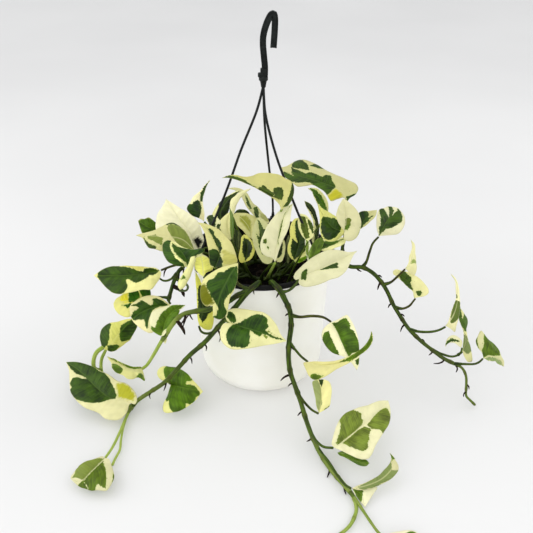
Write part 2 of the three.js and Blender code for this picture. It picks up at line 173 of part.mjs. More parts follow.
    [[14.9,-81.7,195.2],[17,-80.3,200.4],[18.5,-78.5,205.4],[20.6,-76,211.1],[23.2,-73,216.5],[27.3,-68.4,223.4],[29.9,-63.6,229.1],[31.3,-56.5,234.8],[32.3,-49.5,239.4],[34,-42.7,243.7]], 8],
  ['leaf_crown_15', 0xe2e0b0, [[11.6,-46,173.3],[4.4,-35.7,183.2],[1.1,-24,191.9],[-1.8,-10.8,200.1],[-3.6,-0.5,205.5]],
    [[11.6,-46,173.3],[7.7,-48.5,172.6],[2.2,-48.2,174.6],[-2.2,-44,179.1],[-6.1,-37.6,184.3],[-8.9,-31,189.5],[-9.9,-22.5,194.9],[-8.5,-13,199.9],[-6.3,-5.3,203.5],[-3.6,-0.5,205.5]],
    [[11.6,-46,173.3],[16,-40,180.6],[16.6,-32.2,188.9],[13.9,-21.2,196.8],[7.8,-10.4,202.4],[1.6,-3.3,205.1],[-3.6,-0.5,205.5]], 7],
  ['leaf_crown_16', 0xd6d47c, [[-17.8,-40,170.3],[-15.7,-31.5,178.3],[-15.8,-22.3,184.6],[-19.4,-12.1,189.9]],
    [[-17.8,-40,170.3],[-22.2,-42,170.5],[-25,-38.6,174.7],[-23.6,-31.7,180.9],[-22.7,-23.8,185.4],[-22.1,-16.4,188.6],[-19.4,-12.1,189.9]],
    [[-17.8,-40,170.3],[-12.2,-39.9,172.9],[-8.6,-37.3,176.5],[-6.7,-31.9,181.1],[-8.5,-24.2,185.7],[-12.5,-18.4,188.5],[-16.1,-14,189.9],[-19.4,-12.1,189.9]], 6],
  ['leaf_crown_17', 0xd4d18c, [[21.1,-58.1,243.7],[21.1,-53.2,250.5],[14.9,-50.8,256.2],[1.4,-48.6,263.1],[-13,-44.1,268.9],[-26.6,-39.6,272.2],[-40.1,-38.5,270.9]],
    [[21.1,-58.1,243.7],[24.7,-55,245],[29.5,-51.3,246.1],[33,-44.8,249.9],[35.2,-36.3,253.9],[35,-30.1,258],[32,-26.7,262.2],[25.6,-25.5,265.1],[20.3,-24.5,268.1],[11.9,-26.2,270.6],[4.5,-27.9,272.1],[-2.8,-30.6,272.8],[-9,-35.3,272],[-17.3,-38.1,272.1],[-26.6,-36.7,273.5],[-33.9,-36.6,272.8],[-40.1,-38.5,270.9]],
    [[21.1,-58.1,243.7],[19.5,-55,247.9],[15.4,-53.4,252.3],[9.7,-52.1,256.5],[3.5,-50.9,259.9],[-3.7,-48.9,263.5],[-10.9,-46.6,266.4],[-18.2,-44.2,268.6],[-26.5,-41.1,270.6],[-33.8,-39.3,271.5],[-40.1,-38.5,270.9]], 9],
  ['leaf_crown_18', 0xe2e0b0, [[96.1,-0.4,224.9],[92.2,9.4,231.3],[81.2,15.4,236.6],[64.4,20,240.7],[46.5,26.7,243.5],[34.2,35.4,245.6],[22.9,44.9,247.1]],
    [[96.1,-0.4,224.9],[100,5.9,226.8],[106.2,11.8,227.7],[110.7,20.9,231],[108.6,26.9,234],[101.9,30.8,236.4],[93.9,32.5,239.4],[83.7,36.5,242.7],[74.7,41.1,245.6],[65.8,47.9,248.6],[56.8,53.9,250.8],[48.8,57.3,251.6],[41.7,56.4,251.2],[35.8,51.9,249.8],[29.8,46.8,248.2],[22.9,44.9,247.1]],
    [[96.1,-0.4,224.9],[93,4.3,228.2],[86.2,2.4,227.2],[77.9,-2.5,227.1],[74.8,1.8,230],[71.1,6.7,233.5],[66.2,10.4,235.8],[58.5,15.3,238.5],[50.6,14,237.8],[41.6,13.6,237.2],[36.1,18.7,238.8],[30.5,25.3,240.7],[26.1,31.4,242.4],[23.6,39.4,245.1],[22.9,44.9,247.1]], 9],
  ['leaf_crown_19', 0xe2e0b0, [[79,35.5,194.3],[72,43.7,203.5],[65.2,52.4,209.9],[55.9,60.5,213.7]],
    [[79,35.5,194.3],[74.7,35.7,196.9],[68.2,37.6,201.2],[64.2,43.2,205.7],[61.5,50.4,209.5],[60,56.9,212.3],[55.9,60.5,213.7]],
    [[79,35.5,194.3],[79.6,39.1,199.2],[78,44.9,205.5],[72.3,52.7,211.7],[65.3,58.3,215],[55.9,60.5,213.7]], 6],
  ['leaf_crown_20', 0xd6d47c, [[95.4,-14,195.4],[83,-12.8,197.3],[73.5,-1.5,202.8],[65.1,22.4,211.2]],
    [[95.4,-14,195.4],[92.8,-10.1,199.1],[87.9,-4.5,205],[81.5,2.3,207.9],[75.1,8.8,209],[69.8,14.8,209.8],[65.1,22.4,211.2]],
    [[95.4,-14,195.4],[90.4,-21.3,193],[84.4,-27.3,191.2],[77.5,-31.4,189.7],[71,-27.8,190.8],[67.2,-22.4,193.6],[66,-12.1,198.2],[66.6,1.3,203.9],[66,11.4,207.7],[65.1,22.4,211.2]], 8],
  ['leaf_crown_21', 0xe2e0b0, [[94,-29.3,193.2],[81.3,-37,191.6],[62.7,-39.6,186.7]],
    [[94,-29.3,193.2],[89.6,-28.1,195.1],[81.5,-33.7,193.5],[73.8,-34.3,193.2],[67.3,-30.8,194.4],[63.7,-34,191.2],[62.7,-39.6,186.7]],
    [[94,-29.3,193.2],[92.4,-35.8,192.2],[84.2,-42.4,190.8],[75.2,-45.8,189],[68.8,-45.4,187.6],[62.7,-39.6,186.7]], 6],
  ['leaf_crown_22', 0xd6d47c, [[36.7,-36,170.6],[41.3,-26.9,180.8],[43.8,-13.5,191.3],[42.6,5.4,201.8]],
    [[36.7,-36,170.6],[33.4,-35.8,172.4],[29.7,-32.9,178.4],[29.8,-28.3,184.1],[32.4,-20.9,190.2],[32.2,-12.5,195.8],[34.4,-3.4,200],[38.6,3.6,202.1],[42.6,5.4,201.8]],
    [[36.7,-36,170.6],[42.3,-34.8,173.8],[49,-30.9,179.2],[52,-21.9,186.9],[51,-11.3,194],[47.6,-0.5,199.7],[42.6,5.4,201.8]], 6],
  ['leaf_crown_23', 0xe2e0b0, [[60.4,11.9,160.1],[66,24,172.3],[64.1,40.8,186.4],[52,58.3,198]],
    [[60.4,11.9,160.1],[59.8,18.8,165.7],[62,28.7,175.2],[61.1,38.6,183.4],[56.6,47.2,189.8],[53.1,53.8,194.6],[52,58.3,198]],
    [[60.4,11.9,160.1],[65.3,17.3,163.8],[68.9,25.5,171.5],[68.5,35.3,179.8],[64.5,48.5,189.8],[58.7,56.5,195.3],[52,58.3,198]], 6],
  ['leaf_crown_24', 0xe2e0b0, [[51.9,-47.2,174.6],[52.4,-38.7,182.4],[52.7,-29.6,188.7],[50.2,-18.7,194.8]],
    [[51.9,-47.2,174.6],[49.8,-43.1,179.8],[49,-36,186],[48.8,-27.3,191.2],[50.2,-18.7,194.8]],
    [[51.9,-47.2,174.6],[56.1,-43.4,179.4],[59.6,-37.1,185.3],[56.8,-30.4,189.1],[53.4,-23.4,192.9],[50.2,-18.7,194.8]], 6],
  ['leaf_crown_25', 0xe2e0b0, [[92.1,-31.5,203.5],[93.6,-25.4,212.7],[93.1,-16.5,221.7],[91.1,-2.9,230.4]],
    [[92.1,-31.5,203.5],[88,-31.1,208.9],[84,-30,214.5],[82.1,-27,219.7],[83.2,-20.9,223.9],[85.9,-13.7,227.1],[88.5,-8.4,228.8],[91.1,-2.9,230.4]],
    [[92.1,-31.5,203.5],[90.4,-38.5,199.9],[93.8,-40.9,197.5],[99.4,-39.6,197.2],[105.1,-35.4,199.5],[108.6,-30.4,205.4],[110.1,-24.7,212.3],[108.4,-19.4,218.2],[104.8,-14.2,223.1],[99.5,-9.4,226.8],[95.1,-5.4,229.2],[91.1,-2.9,230.4]], 7],
  ['leaf_crown_26', 0xe2e0b0, [[111.3,-12,196.9],[116.6,-4.8,204.6],[123.3,1.8,208.8],[132,8.2,210.6]],
    [[111.3,-12,196.9],[109.8,-8.2,203.7],[110,-1.7,211.8],[115.1,1.4,212.8],[121,3.3,211.8],[127.1,6,211.3],[132,8.2,210.6]],
    [[111.3,-12,196.9],[117.5,-9.9,199.8],[123.9,-5.6,203.7],[128.9,-0.6,206.2],[131.2,4.5,208.6],[132,8.2,210.6]], 6],
  ['leaf_right_01', 0xe2e0b0, [[133.8,-10,186.8],[140.3,0.3,194.2],[147.8,12.1,199.7],[154.9,27.2,205]],
    [[133.8,-10,186.8],[131.5,-5.9,193],[131.3,2.1,201],[133.6,10.7,206.8],[136.7,15.6,208.2],[141.8,19.3,207.6],[147.2,23.9,207.4],[154.9,27.2,205]],
    [[133.8,-10,186.8],[140.6,-9.3,187.1],[148.7,-8.3,187.2],[155.8,-6.5,187.9],[160.9,-1.5,190],[165.5,7.7,194.2],[165.5,17,198.5],[162.7,23.4,201.8],[158.9,26.6,204],[154.9,27.2,205]], 6],
  ['leaf_right_02', 0xe2e0b0, [[41,-72,167.8],[48.5,-69.8,171.9],[61.3,-67.1,176.5],[74.4,-62.2,180.4],[87.8,-55.5,183.3],[105.2,-43.2,186.3]],
    [[41,-72,167.8],[37.7,-73.2,167.7],[35.2,-70.9,169.4],[36.8,-66.4,172.3],[41.1,-63.7,176.1],[46.5,-60.3,179.9],[53,-56.8,184.1],[60.7,-53.3,187.7],[69.5,-49.8,190.1],[78.3,-47.5,190.6],[87.1,-47,189.1],[96,-46.7,187],[105.2,-43.2,186.3]],
    [[41,-72,167.8],[40.3,-76.1,166.3],[42.8,-80.4,165.1],[49,-83.8,165.6],[57.3,-85.3,168.4],[66.8,-83.9,171.3],[74.3,-81.5,173.5],[82.8,-79.3,175.2],[89.7,-73,177.6],[94.5,-65,180.2],[97.3,-57.3,182.6],[100.8,-49.4,184.8],[105.2,-43.2,186.3]], 9],
  ['leaf_front_01', 0xe2e0b0, [[-31.1,-110.6,137.3],[-16.3,-117.8,136.8],[-0.7,-122.5,135.1],[14.9,-126.3,130.8],[27.3,-126.8,126.7]],
    [[-31.1,-110.6,137.3],[-35,-108.9,139.4],[-36.9,-105.8,142.3],[-35.5,-100.9,146.6],[-30.3,-99,148.2],[-19.7,-100.8,149.6],[-9.1,-104.6,150],[1.4,-107,149.5],[7.6,-109.6,147.5],[12.8,-113.5,143.9],[17,-117.7,139.3],[20.1,-122.4,133.7],[23.7,-125.4,129.5],[27.3,-126.8,126.7]],
    [[-31.1,-110.6,137.3],[-33.8,-110.5,137.9],[-38.4,-111.5,138.2],[-41.4,-116,136.1],[-42.2,-122.7,132.7],[-40.3,-129.9,129.1],[-35.5,-135.5,126.9],[-29.1,-139.8,126.4],[-20.9,-140.8,126.8],[-10.8,-139.9,127.7],[1.5,-137,128.1],[11.7,-133.9,127.7],[20,-130.5,127.2],[27.3,-126.8,126.7]], 9],
  ['leaf_front_02', 0xe2e0b0, [[-23.5,-84,195.3],[-32.4,-99.4,187.8],[-40.2,-111.8,176.4],[-44.3,-119.1,164.1],[-48.9,-122.2,153.8]],
    [[-23.5,-84,195.3],[-31.7,-86.9,194.7],[-41.9,-90.2,193.1],[-51.1,-94.2,189.4],[-58.2,-98,185.1],[-61.2,-103.2,179.3],[-61.8,-109,172],[-59.5,-113.1,165],[-54.8,-116.1,162.7],[-49.5,-116.7,165.6],[-48.5,-119.8,159.7],[-48.9,-122.2,153.8]],
    [[-23.5,-84,195.3],[-23.4,-91.7,190.3],[-23.9,-99.6,184.3],[-27.1,-108,177.5],[-31.2,-113.4,171.3],[-32.9,-118,163.4],[-35.3,-121.6,155.9],[-41.5,-122.9,151.2],[-48.9,-122.2,153.8]], 8],
  ['leaf_front_03', 0xd6d47c, [[-68,-83.4,115.7],[-64.3,-74.5,126.9],[-66.4,-61.9,139.6],[-70.2,-50,149.1],[-73.7,-38,156.8]],
    [[-68,-83.4,115.7],[-69.8,-77.8,121.1],[-70.7,-68,131.7],[-71.8,-55.7,143.5],[-73.3,-45.5,151.5],[-73.7,-38,156.8]],
    [[-68,-83.4,115.7],[-61.7,-83.8,110.1],[-55.3,-81.3,108.3],[-52.6,-76.1,114.5],[-52.7,-70.3,122.6],[-56.6,-65.5,130],[-61.1,-59.6,138.1],[-65.3,-51.3,145.9],[-69.5,-44.1,151.9],[-73.7,-38,156.8]], 8],
  ['leaf_right_03', 0xe2e0b0, [[78.6,-66.8,107.8],[85.6,-80,102.3],[91.5,-93.1,94.2],[96.5,-102.3,86.2],[105.1,-111,75.1]],
    [[78.6,-66.8,107.8],[73.8,-71,106.8],[69,-77.2,105.1],[66.9,-84.4,102.8],[68.1,-92.5,100],[72.2,-99,96],[78.7,-102.8,92.1],[86.4,-103.4,89.2],[94.2,-104.3,85.7],[100.2,-107.6,80.7],[105.1,-111,75.1]],
    [[78.6,-66.8,107.8],[85.1,-67,110.7],[91.8,-65.7,114.6],[96.1,-65.6,116.6],[100.1,-72,114.3],[104,-80.3,109.4],[106.7,-89.9,102.8],[107.7,-97.9,95.2],[107.6,-104.4,86.5],[106.7,-108.9,79],[105.1,-111,75.1]], 8],
  ['leaf_right_04', 0xe2e0b0, [[51.2,-116.6,90.8],[63.3,-121.5,90.6],[78.2,-121.1,91.7],[93.6,-116.4,93.4],[107.3,-107.4,95.8],[117.8,-95.9,98.5],[123.1,-77.3,103.1]],
    [[51.2,-116.6,90.8],[57.1,-117.3,92.3],[69.8,-119.2,93.5],[80.5,-118.3,94.2],[91.5,-114.8,95.5],[102.8,-108,97.2],[112.4,-99.2,99],[119,-88.8,100.6],[123.1,-77.3,103.1]],
    [[51.2,-116.6,90.8],[45.7,-120,92.6],[47.9,-130.8,91.5],[50.5,-141.2,92],[55.3,-147.1,92.3],[61.6,-145.9,91.9],[70.4,-139.7,92.1],[79.5,-131.5,92.3],[89.5,-125.2,93.3],[97.5,-119.5,94.2],[106.9,-111.2,95.7],[115.8,-103.7,97.9],[122,-94.2,100.6],[123.7,-85.6,102.3],[123.1,-77.3,103.1]], 9],
  ['leaf_right_05', 0xe2e0b0, [[64.2,-128,28],[66.7,-118.3,38.4],[67.1,-107,45.9],[63.7,-97.3,50.1]],
    [[64.2,-128,28],[61.5,-124.3,33.5],[60,-115.8,42],[58.1,-106.7,47.1],[57.9,-100.1,49.5],[63.7,-97.3,50.1]],
    [[64.2,-128,28],[70.8,-126.9,31.9],[75.8,-124.9,35.5],[77.7,-118.3,41.3],[78.8,-109.8,47],[76.7,-102.9,51.1],[70.8,-99,51.5],[63.7,-97.3,50.1]], 6],
  ['leaf_right_06', 0xe2e0b0, [[77.4,-173.9,22],[86,-170.4,25.1],[97.1,-162.3,29.4],[108.6,-153.2,32.9],[120.4,-143.1,35.5],[131.6,-131.9,37.5],[140.9,-120,39.1]],
    [[77.4,-173.9,22],[75.1,-171,23.5],[76.8,-164.2,27.6],[80.5,-155.4,33.5],[85.2,-147.5,37.6],[92.2,-140.8,40.4],[99,-137.5,41.2],[107,-133.7,41.8],[116.1,-130.3,41.4],[124.4,-125.8,41.4],[132.8,-121.7,40.6],[140.9,-120,39.1]],
    [[77.4,-173.9,22],[83.3,-178.1,22.7],[93,-185.8,23.4],[102.6,-191.9,24],[110.6,-193.3,25.5],[115.3,-188.2,27.3],[119.3,-180.2,29.2],[124.4,-172.1,31.1],[130.9,-162.2,32.9],[136.2,-154.7,34.3],[140.3,-144.1,35.8],[141.7,-131.9,37.6],[141.5,-125,38.5],[140.9,-120,39.1]], 9],
  ['leaf_right_07', 0xe2e0b0, [[92.5,-218,10],[105.5,-217.7,13.1],[121.2,-212.2,15.5],[134,-200.3,17],[138.6,-190.1,17.7],[136.3,-177.8,17.9]],
    [[92.5,-218,10],[96.7,-216.2,10.9],[105.1,-213.2,12.3],[113.6,-209.4,13.9],[121.2,-205,14.8],[128.3,-197.7,15.7],[134.7,-189.6,16.5],[136.6,-184.3,17.4],[136.3,-177.8,17.9]],
    [[92.5,-218,10],[98.4,-220.1,9.9],[106.3,-220.4,10.9],[115.6,-218.1,12],[125.2,-213.8,13],[133.1,-208.5,12.9],[139.1,-202.5,13.6],[142.9,-196.3,14.1],[143.3,-191.8,15.1],[141.1,-188.1,17.1],[139.8,-182.8,17.3],[136.3,-177.8,17.9]], 7],
  ['leaf_right_08', 0xe2e0b0, [[118.5,-276.8,8],[128.2,-285,10.2],[137.8,-293.8,10.6],[149.8,-299.6,8.4]],
    [[118.5,-276.8,8],[119,-272.7,8.5],[125.9,-270.4,9.9],[134.2,-270.4,11.7],[142.6,-270.4,12.8],[148.5,-274,13.1],[152.9,-281.8,11.7],[154.1,-291,9.6],[149.8,-299.6,8.4]],
    [[118.5,-276.8,8],[114.9,-281.6,8.6],[114.1,-292.8,10.5],[117.9,-302.9,12.9],[125.1,-308.2,13.2],[135.1,-308.4,12],[144.1,-304.8,9.9],[149.8,-299.6,8.4]], 6],
  ['leaf_right_09', 0xe2e0b0, [[162.7,-34,158.2],[168.6,-29.4,162.7],[171.7,-20.9,169.6],[173.8,-13.5,174.5],[171.7,-5.6,179.2]],
    [[162.7,-34,158.2],[166.9,-27.7,163.1],[167.7,-22.8,166.7],[169.7,-19.1,169.8],[172,-13.5,173.8],[171.7,-5.6,179.2]],
    [[162.7,-34,158.2],[166.9,-35,153.6],[173.1,-34.7,149.7],[176,-31.1,154.5],[176.2,-26.9,159.9],[175.6,-21.7,166.1],[175.5,-15.6,171.7],[175.2,-8.7,176.3],[171.7,-5.6,179.2]], 6],
  ['leaf_right_10', 0xe2e0b0, [[174.2,-48,127.7],[172.1,-38.7,136.5],[164.2,-31.1,142.5],[151.6,-21.3,147.2]],
    [[174.2,-48,127.7],[172,-43,133.2],[166.5,-40.9,137.3],[160.2,-35.4,141.5],[155.2,-29.7,144.2],[151.4,-25.7,145.8],[151.6,-21.3,147.2]],
    [[174.2,-48,127.7],[178.6,-48,128.7],[185.2,-47.8,130.3],[189.2,-46,133.1],[189.2,-42.8,136.4],[185,-36.8,140.7],[179.9,-31.8,144.2],[174.5,-28.8,146.4],[168,-25.4,148.3],[161.5,-23.3,148.7],[155,-20.5,148.9],[151.6,-21.3,147.2]], 6],
  ['leaf_right_11', 0xe2e0b0, [[210.1,-62,98.8],[218.6,-54.2,107.2],[224.2,-44,116.8],[226.2,-33.1,126],[226.2,-24.4,132.8],[220.7,-15.4,139.4]],
    [[210.1,-62,98.8],[214,-56.4,103.9],[217.5,-48.6,110.2],[221.2,-42.7,115.9],[223.8,-38.1,121.1],[224.4,-30.4,127],[224.8,-23.1,133.3],[223.1,-18.2,137.1],[220.7,-15.4,139.4]],
    [[210.1,-62,98.8],[216.9,-60,93.1],[222.6,-58.6,87.9],[224.1,-55.7,94.3],[226.6,-51,102.1],[228.7,-44,111.2],[228.8,-38.2,118.4],[228.4,-30,126.7],[227.6,-23.5,132.2],[224.7,-17.5,136.6],[220.7,-15.4,139.4]], 8],
  ['leaf_right_12', 0xe2e0b0, [[229,-76,74],[233.4,-69.6,81.8],[233,-61.8,90.2],[232.8,-52.9,97.8],[231.4,-46.1,102.9],[230.8,-38.8,107.6]],
    [[229,-76,74],[230.3,-70,79.3],[231.4,-65,85.5],[231.3,-60.1,90.4],[229.6,-54.1,94.5],[228.1,-48.1,98.6],[229,-42.5,103.9],[230.8,-38.8,107.6]],
    [[229,-76,74],[231.3,-77.3,67.8],[236.8,-78.3,59.9],[241.9,-76.3,59.7],[241.4,-73.5,65.5],[239,-71.6,71.9],[236.8,-68.7,79.8],[235.5,-64.7,85.3],[235.2,-59,91],[237.7,-51.6,95.5],[237.7,-46.6,99],[234.8,-43,102.8],[230.8,-38.8,107.6]], 8],
  ['leaf_right_13', 0xe2e0b0, [[226.5,-78,80.5],[221.5,-74.1,86],[213.6,-73,88],[207.4,-79,82]],
    [[226.5,-78,80.5],[227.8,-72.7,84.2],[223.7,-68.5,88.2],[218,-67.5,89.8],[213.6,-69.3,89.5],[209.8,-72.8,87.2],[207.4,-79,82]],
    [[226.5,-78,80.5],[223.1,-77.2,82],[218.6,-75.3,84.8],[213.5,-75.3,85.2],[209.8,-77.1,84.1],[207.4,-79,82]], 6],
  ['leaf_right_14', 0xe2e0b0, [[252.2,-82,68.6],[259.5,-80.3,71.6],[266.5,-85,69.6],[273.9,-90.4,63.2]],
    [[252.2,-82,68.6],[250.5,-75.8,73.8],[247.2,-72.9,75.8],[245.5,-66.2,80.7],[247.9,-62.8,84.5],[252.7,-57,88.8],[256.3,-60.5,85.7],[260.3,-65,82],[266,-68.9,78.9],[270.3,-76,75.4],[271.8,-82.1,71.6],[274.3,-86.3,67.8],[273.9,-90.4,63.2]],
    [[252.2,-82,68.6],[256.8,-87.8,69],[263.2,-89,69.2],[267.6,-90.9,66.5],[273.9,-90.4,63.2]], 8],
];

// blade relieved by neighbour
const CUTS = [["leaf_left_08", "stems_left"], ["leaf_crown_19", "leaf_crown_20"], ["leaf_left_01", "stems_left"], ["leaf_left_03", "stems_left"], ["leaf_crown_06", "crown_stems"], ["leaf_crown_04", "stems_left"], ["leaf_front_02", "stems_left"], ["leaf_crown_07", "crown_stems"], ["leaf_right_05", "stems_right"], ["leaf_crown_05", "stems_left"], ["leaf_crown_17", "crown_stems"], ["leaf_left_04", "stems_left"], ["leaf_crown_14", "crown_stems"], ["leaf_left_07", "stems_left"], ["leaf_crown_05", "leaf_crown_04"], ["leaf_right_03", "stems_right"]];

// ---------- shape helpers ----------
const V = (p) => new THREE.Vector3(p[0], p[1], p[2]);

// Catmull-Rom curve through points, read by arc fraction
function makeCurve(pts) {
  const c = new THREE.CatmullRomCurve3(pts.map(V), false, 'centripetal');
  c.arcLengthDivisions = 60;
  return (t) => c.getPointAt(Math.min(1, Math.max(0, t)));
}

// Indexed shell to BufferGeometry
function toGeometry(verts, tris) {
  let vol = 0;
  for (const [a, b, c] of tris) {
    const p = verts[a], q = verts[b], r = verts[c];
    vol += p[0] * (q[1] * r[2] - q[2] * r[1]) - p[1] * (q[0] * r[2] - q[2] * r[0]) + p[2] * (q[0] * r[1] - q[1] * r[0]);
  }
  const g = new THREE.BufferGeometry();
  g.setAttribute('position', new THREE.Float32BufferAttribute(verts.flat(), 3));
  g.setIndex((vol < 0 ? tris.map(([a, b, c]) => [a, c, b]) : tris).flat());
  return g;
}

// Leaf blade: rows run from the midrib to the margin like lateral veins.
// A and B are the two margins from base to tip, mid is the midrib.
function leafGeometry(mid, A, B, thick, rows, cols) {
  const cm = makeCurve(mid), ca = makeCurve(A), cb = makeCurve(B);
  const grid = [];
  for (let i = 0; i <= rows; i++) {
    const t = i / rows;
    const m = cm(Math.pow(t, 1.12)), a = ca(t), b = cb(t);
    const row = [];
    for (let j = -cols; j <= cols; j++) {
      const s = Math.abs(j) / cols;
      row.push(m.clone().lerp(j < 0 ? a : b, s));
    }
    grid.push(row);
  }
  const W = 2 * cols;
  const nrm = grid.map((row, i) => row.map((p, j) => {
    const n = new THREE.Vector3();
    const i0 = Math.max(0, i - 1), i1 = Math.min(rows, i + 1);
    const j0 = Math.max(0, j - 1), j1 = Math.min(W, j + 1);
    n.crossVectors(grid[i1][j].clone().sub(grid[i0][j]), grid[i][j1].clone().sub(grid[i][j0]));
    return n;
  }));
  const c0 = new THREE.Vector3(), c1 = new THREE.Vector3();
  for (let j = 0; j <= W; j++) { c0.add(nrm[1][j]); c1.add(nrm[rows - 1][j]); }
  const ids = [[], []];
  const verts = [];
  for (let side = 0; side < 2; side++) {
    const h = (side ? -0.5 : 0.5) * thick;
    for (let i = 0; i <= rows; i++) {
      const r = [];
      const pole = i === 0 || i === rows;
      for (let j = 0; j <= W; j++) {
        if (pole && j > 0) { r.push(r[0]); continue; }
        const n = (pole ? (i === 0 ? c0 : c1) : nrm[i][j]).clone().normalize();
        const p = grid[i][j].clone().addScaledVector(n, h);
        r.push(verts.length);
        verts.push([p.x, p.y, p.z]);
      }
      ids[side].push(r);
    }
  }
  const tris = [];
  const quad = (a, b, c, d) => {
    if (a !== b && b !== c && a !== c) tris.push([a, b, c]);
    if (a !== c && c !== d && a !== d) tris.push([a, c, d]);
  };
  for (let i = 0; i < rows; i++) {
    for (let j = 0; j < W; j++) {
      const t = ids[0], u = ids[1];
      quad(t[i][j], t[i + 1][j], t[i + 1][j + 1], t[i][j + 1]);
      quad(u[i][j], u[i][j + 1], u[i + 1][j + 1], u[i + 1][j]);
    }
    for (const j of [0, W]) {
      const t = ids[0], u = ids[1];
      if (j === 0) quad(t[i][0], u[i][0], u[i + 1][0], t[i + 1][0]);
      else quad(t[i][W], t[i + 1][W], u[i + 1][W], u[i][W]);
    }
  }
  return toGeometry(verts, tris);
}

// Round stem: closed rings along a smooth curve, radius eased from r0 to r1
function tubeGeometry(pts, r0, r1, rings, sides) {
  const c = makeCurve(pts);
  const P = [];
  for (let i = 0; i <= rings; i++) P.push(c(i / rings));
  const verts = [], tris = [];
  let u = null;
  for (let i = 0; i <= rings; i++) {
    const t = P[Math.min(rings, i + 1)].clone().sub(P[Math.max(0, i - 1)]).normalize();
    if (!u) u = Math.abs(t.z) < 0.8 ? new THREE.Vector3(0, 0, 1) : new THREE.Vector3(1, 0, 0);
    u = u.clone().addScaledVector(t, -u.dot(t)).normalize();
    const w = new THREE.Vector3().crossVectors(t, u);
    const r = r0 + (r1 - r0) * (i / rings);
    for (let k = 0; k < sides; k++) {
      const a = (2 * Math.PI * k) / sides;
      const p = P[i].clone().addScaledVector(u, r * Math.cos(a)).addScaledVector(w, r * Math.sin(a));
      verts.push([p.x, p.y, p.z]);
    }
  }
  for (let i = 0; i < rings; i++) for (let k = 0; k < sides; k++) {
    const a = i * sides + k, b = i * sides + ((k + 1) % sides);
    tris.push([a, b, b + sides], [a, b + sides, a + sides]);
  }
  const s = verts.length;
  verts.push([P[0].x, P[0].y, P[0].z], [P[rings].x, P[rings].y, P[rings].z]);
  for (let k = 0; k < sides; k++) {
    tris.push([s, (k + 1) % sides, k]);
    tris.push([s + 1, rings * sides + k, rings * sides + ((k + 1) % sides)]);
  }
  return toGeometry(verts, tris);
}

// ---------- joining and cutting ----------
function toSolid(geo) {
  const g = geo.clone();
  g.deleteAttribute('normal');
  g.deleteAttribute('uv');
  const m = mergeVertices(g, 1e-5);
  return new wasm.Manifold(new wasm.Mesh({
    numProp: 3,
    vertProperties: new Float32Array(m.attributes.position.array),
    triVerts: new Uint32Array(m.index.array),
  }));
}
function fromSolid(man) {
  const m = man.getMesh();
  const n = m.vertProperties.length / m.numProp;
  const verts = [];
  for (let i = 0; i < n; i++) verts.push([0, 1, 2].map((k) => m.vertProperties[i * m.numProp + k]));
  const parent = [...Array(n).keys()];
  const find = (a) => { while (parent[a] !== a) { parent[a] = parent[parent[a]]; a = parent[a]; } return a; };
  const key = new Map();
  verts.forEach((p, i) => { const k = p.map((q) => q.toFixed(5)).join(','); if (key.has(k)) parent[find(i)] = find(key.get(k)); else key.set(k, i); });
  const all = [];
  for (let i = 0; i < m.triVerts.length; i += 3) {
    const t = [m.triVerts[i], m.triVerts[i + 1], m.triVerts[i + 2]];
    all.push(t);
    parent[find(t[1])] = find(t[0]);
    parent[find(t[2])] = find(t[0]);
  }
  const vol = new Map();
  for (const [a, b, c] of all) {
    const p = verts[a], q = verts[b], r = verts[c];
    const v = p[0] * (q[1] * r[2] - q[2] * r[1]) - p[1] * (q[0] * r[2] - q[2] * r[0]) + p[2] * (q[0] * r[1] - q[1] * r[0]);
    vol.set(find(a), (vol.get(find(a)) || 0) + v / 6);
  }
  const best = [...vol.entries()].sort((x, y) => y[1] - x[1])[0][0];
  const keep = all.filter((t) => find(t[0]) === best);
  const ids = new Map(), out = [];
  const tris = keep.map((t) => t.map((i) => { if (!ids.has(i)) { ids.set(i, out.length); out.push(verts[i]); } return ids.get(i); }));
  return toGeometry(out, tris);
}
function joinAll(geos) {
  let s = toSolid(geos[0]);
  for (let i = 1; i < geos.length; i++) s = s.add(toSolid(geos[i]));
  return s;
}

// ---------- pot, liner, soil ----------
const rimZ = POT_H;
const slope = (POT_RIM_R - POT_BASE_R) / POT_H;
const wallR = (z) => POT_BASE_R + slope * z;
function lathe(profile, seg) {
  return new THREE.LatheGeometry(profile.map(([r, z]) => new THREE.Vector2(r, z)), seg).rotateX(Math.PI / 2);
}
function potProfile() {
  const out = [[0, 0], [POT_BASE_R - POT_FILLET, 0]];
  const n = 6;
  for (let i = 1; i <= n; i++) {
    const a = (Math.PI / 2) * (i / n);
    out.push([POT_BASE_R - POT_FILLET + (POT_FILLET + slope * POT_FILLET) * Math.sin(a), POT_FILLET * (1 - Math.cos(a))]);
  }
  out.push([wallR(90), 90], [POT_RIM_R, rimZ - 1.2], [POT_RIM_R - 0.9, rimZ]);
  out.push([POT_RIM_R - POT_WALL + 0.6, rimZ], [POT_RIM_R - POT_WALL, rimZ - 1]);
  out.push([wallR(90) - POT_WALL, 90]);
  for (let i = n; i >= 0; i--) {
    const a = (Math.PI / 2) * (i / n);
    const R = POT_FILLET - POT_WALL;
    out.push([POT_BASE_R - POT_FILLET + (R + slope * POT_FILLET) * Math.sin(a), POT_FLOOR + R - R * Math.cos(a)]);
  }
  out.push([0, POT_FLOOR]);
  return out;
}
const linerZ0 = POT_FLOOR + GAP;
const lipZ0 = rimZ + GAP;
const lipZ1 = lipZ0 + LINER_LIP_T;
const linerR = (z) => LINER_BASE_R + (LINER_TOP_R - LINER_BASE_R) * Math.min(1, (z - linerZ0) / 120);
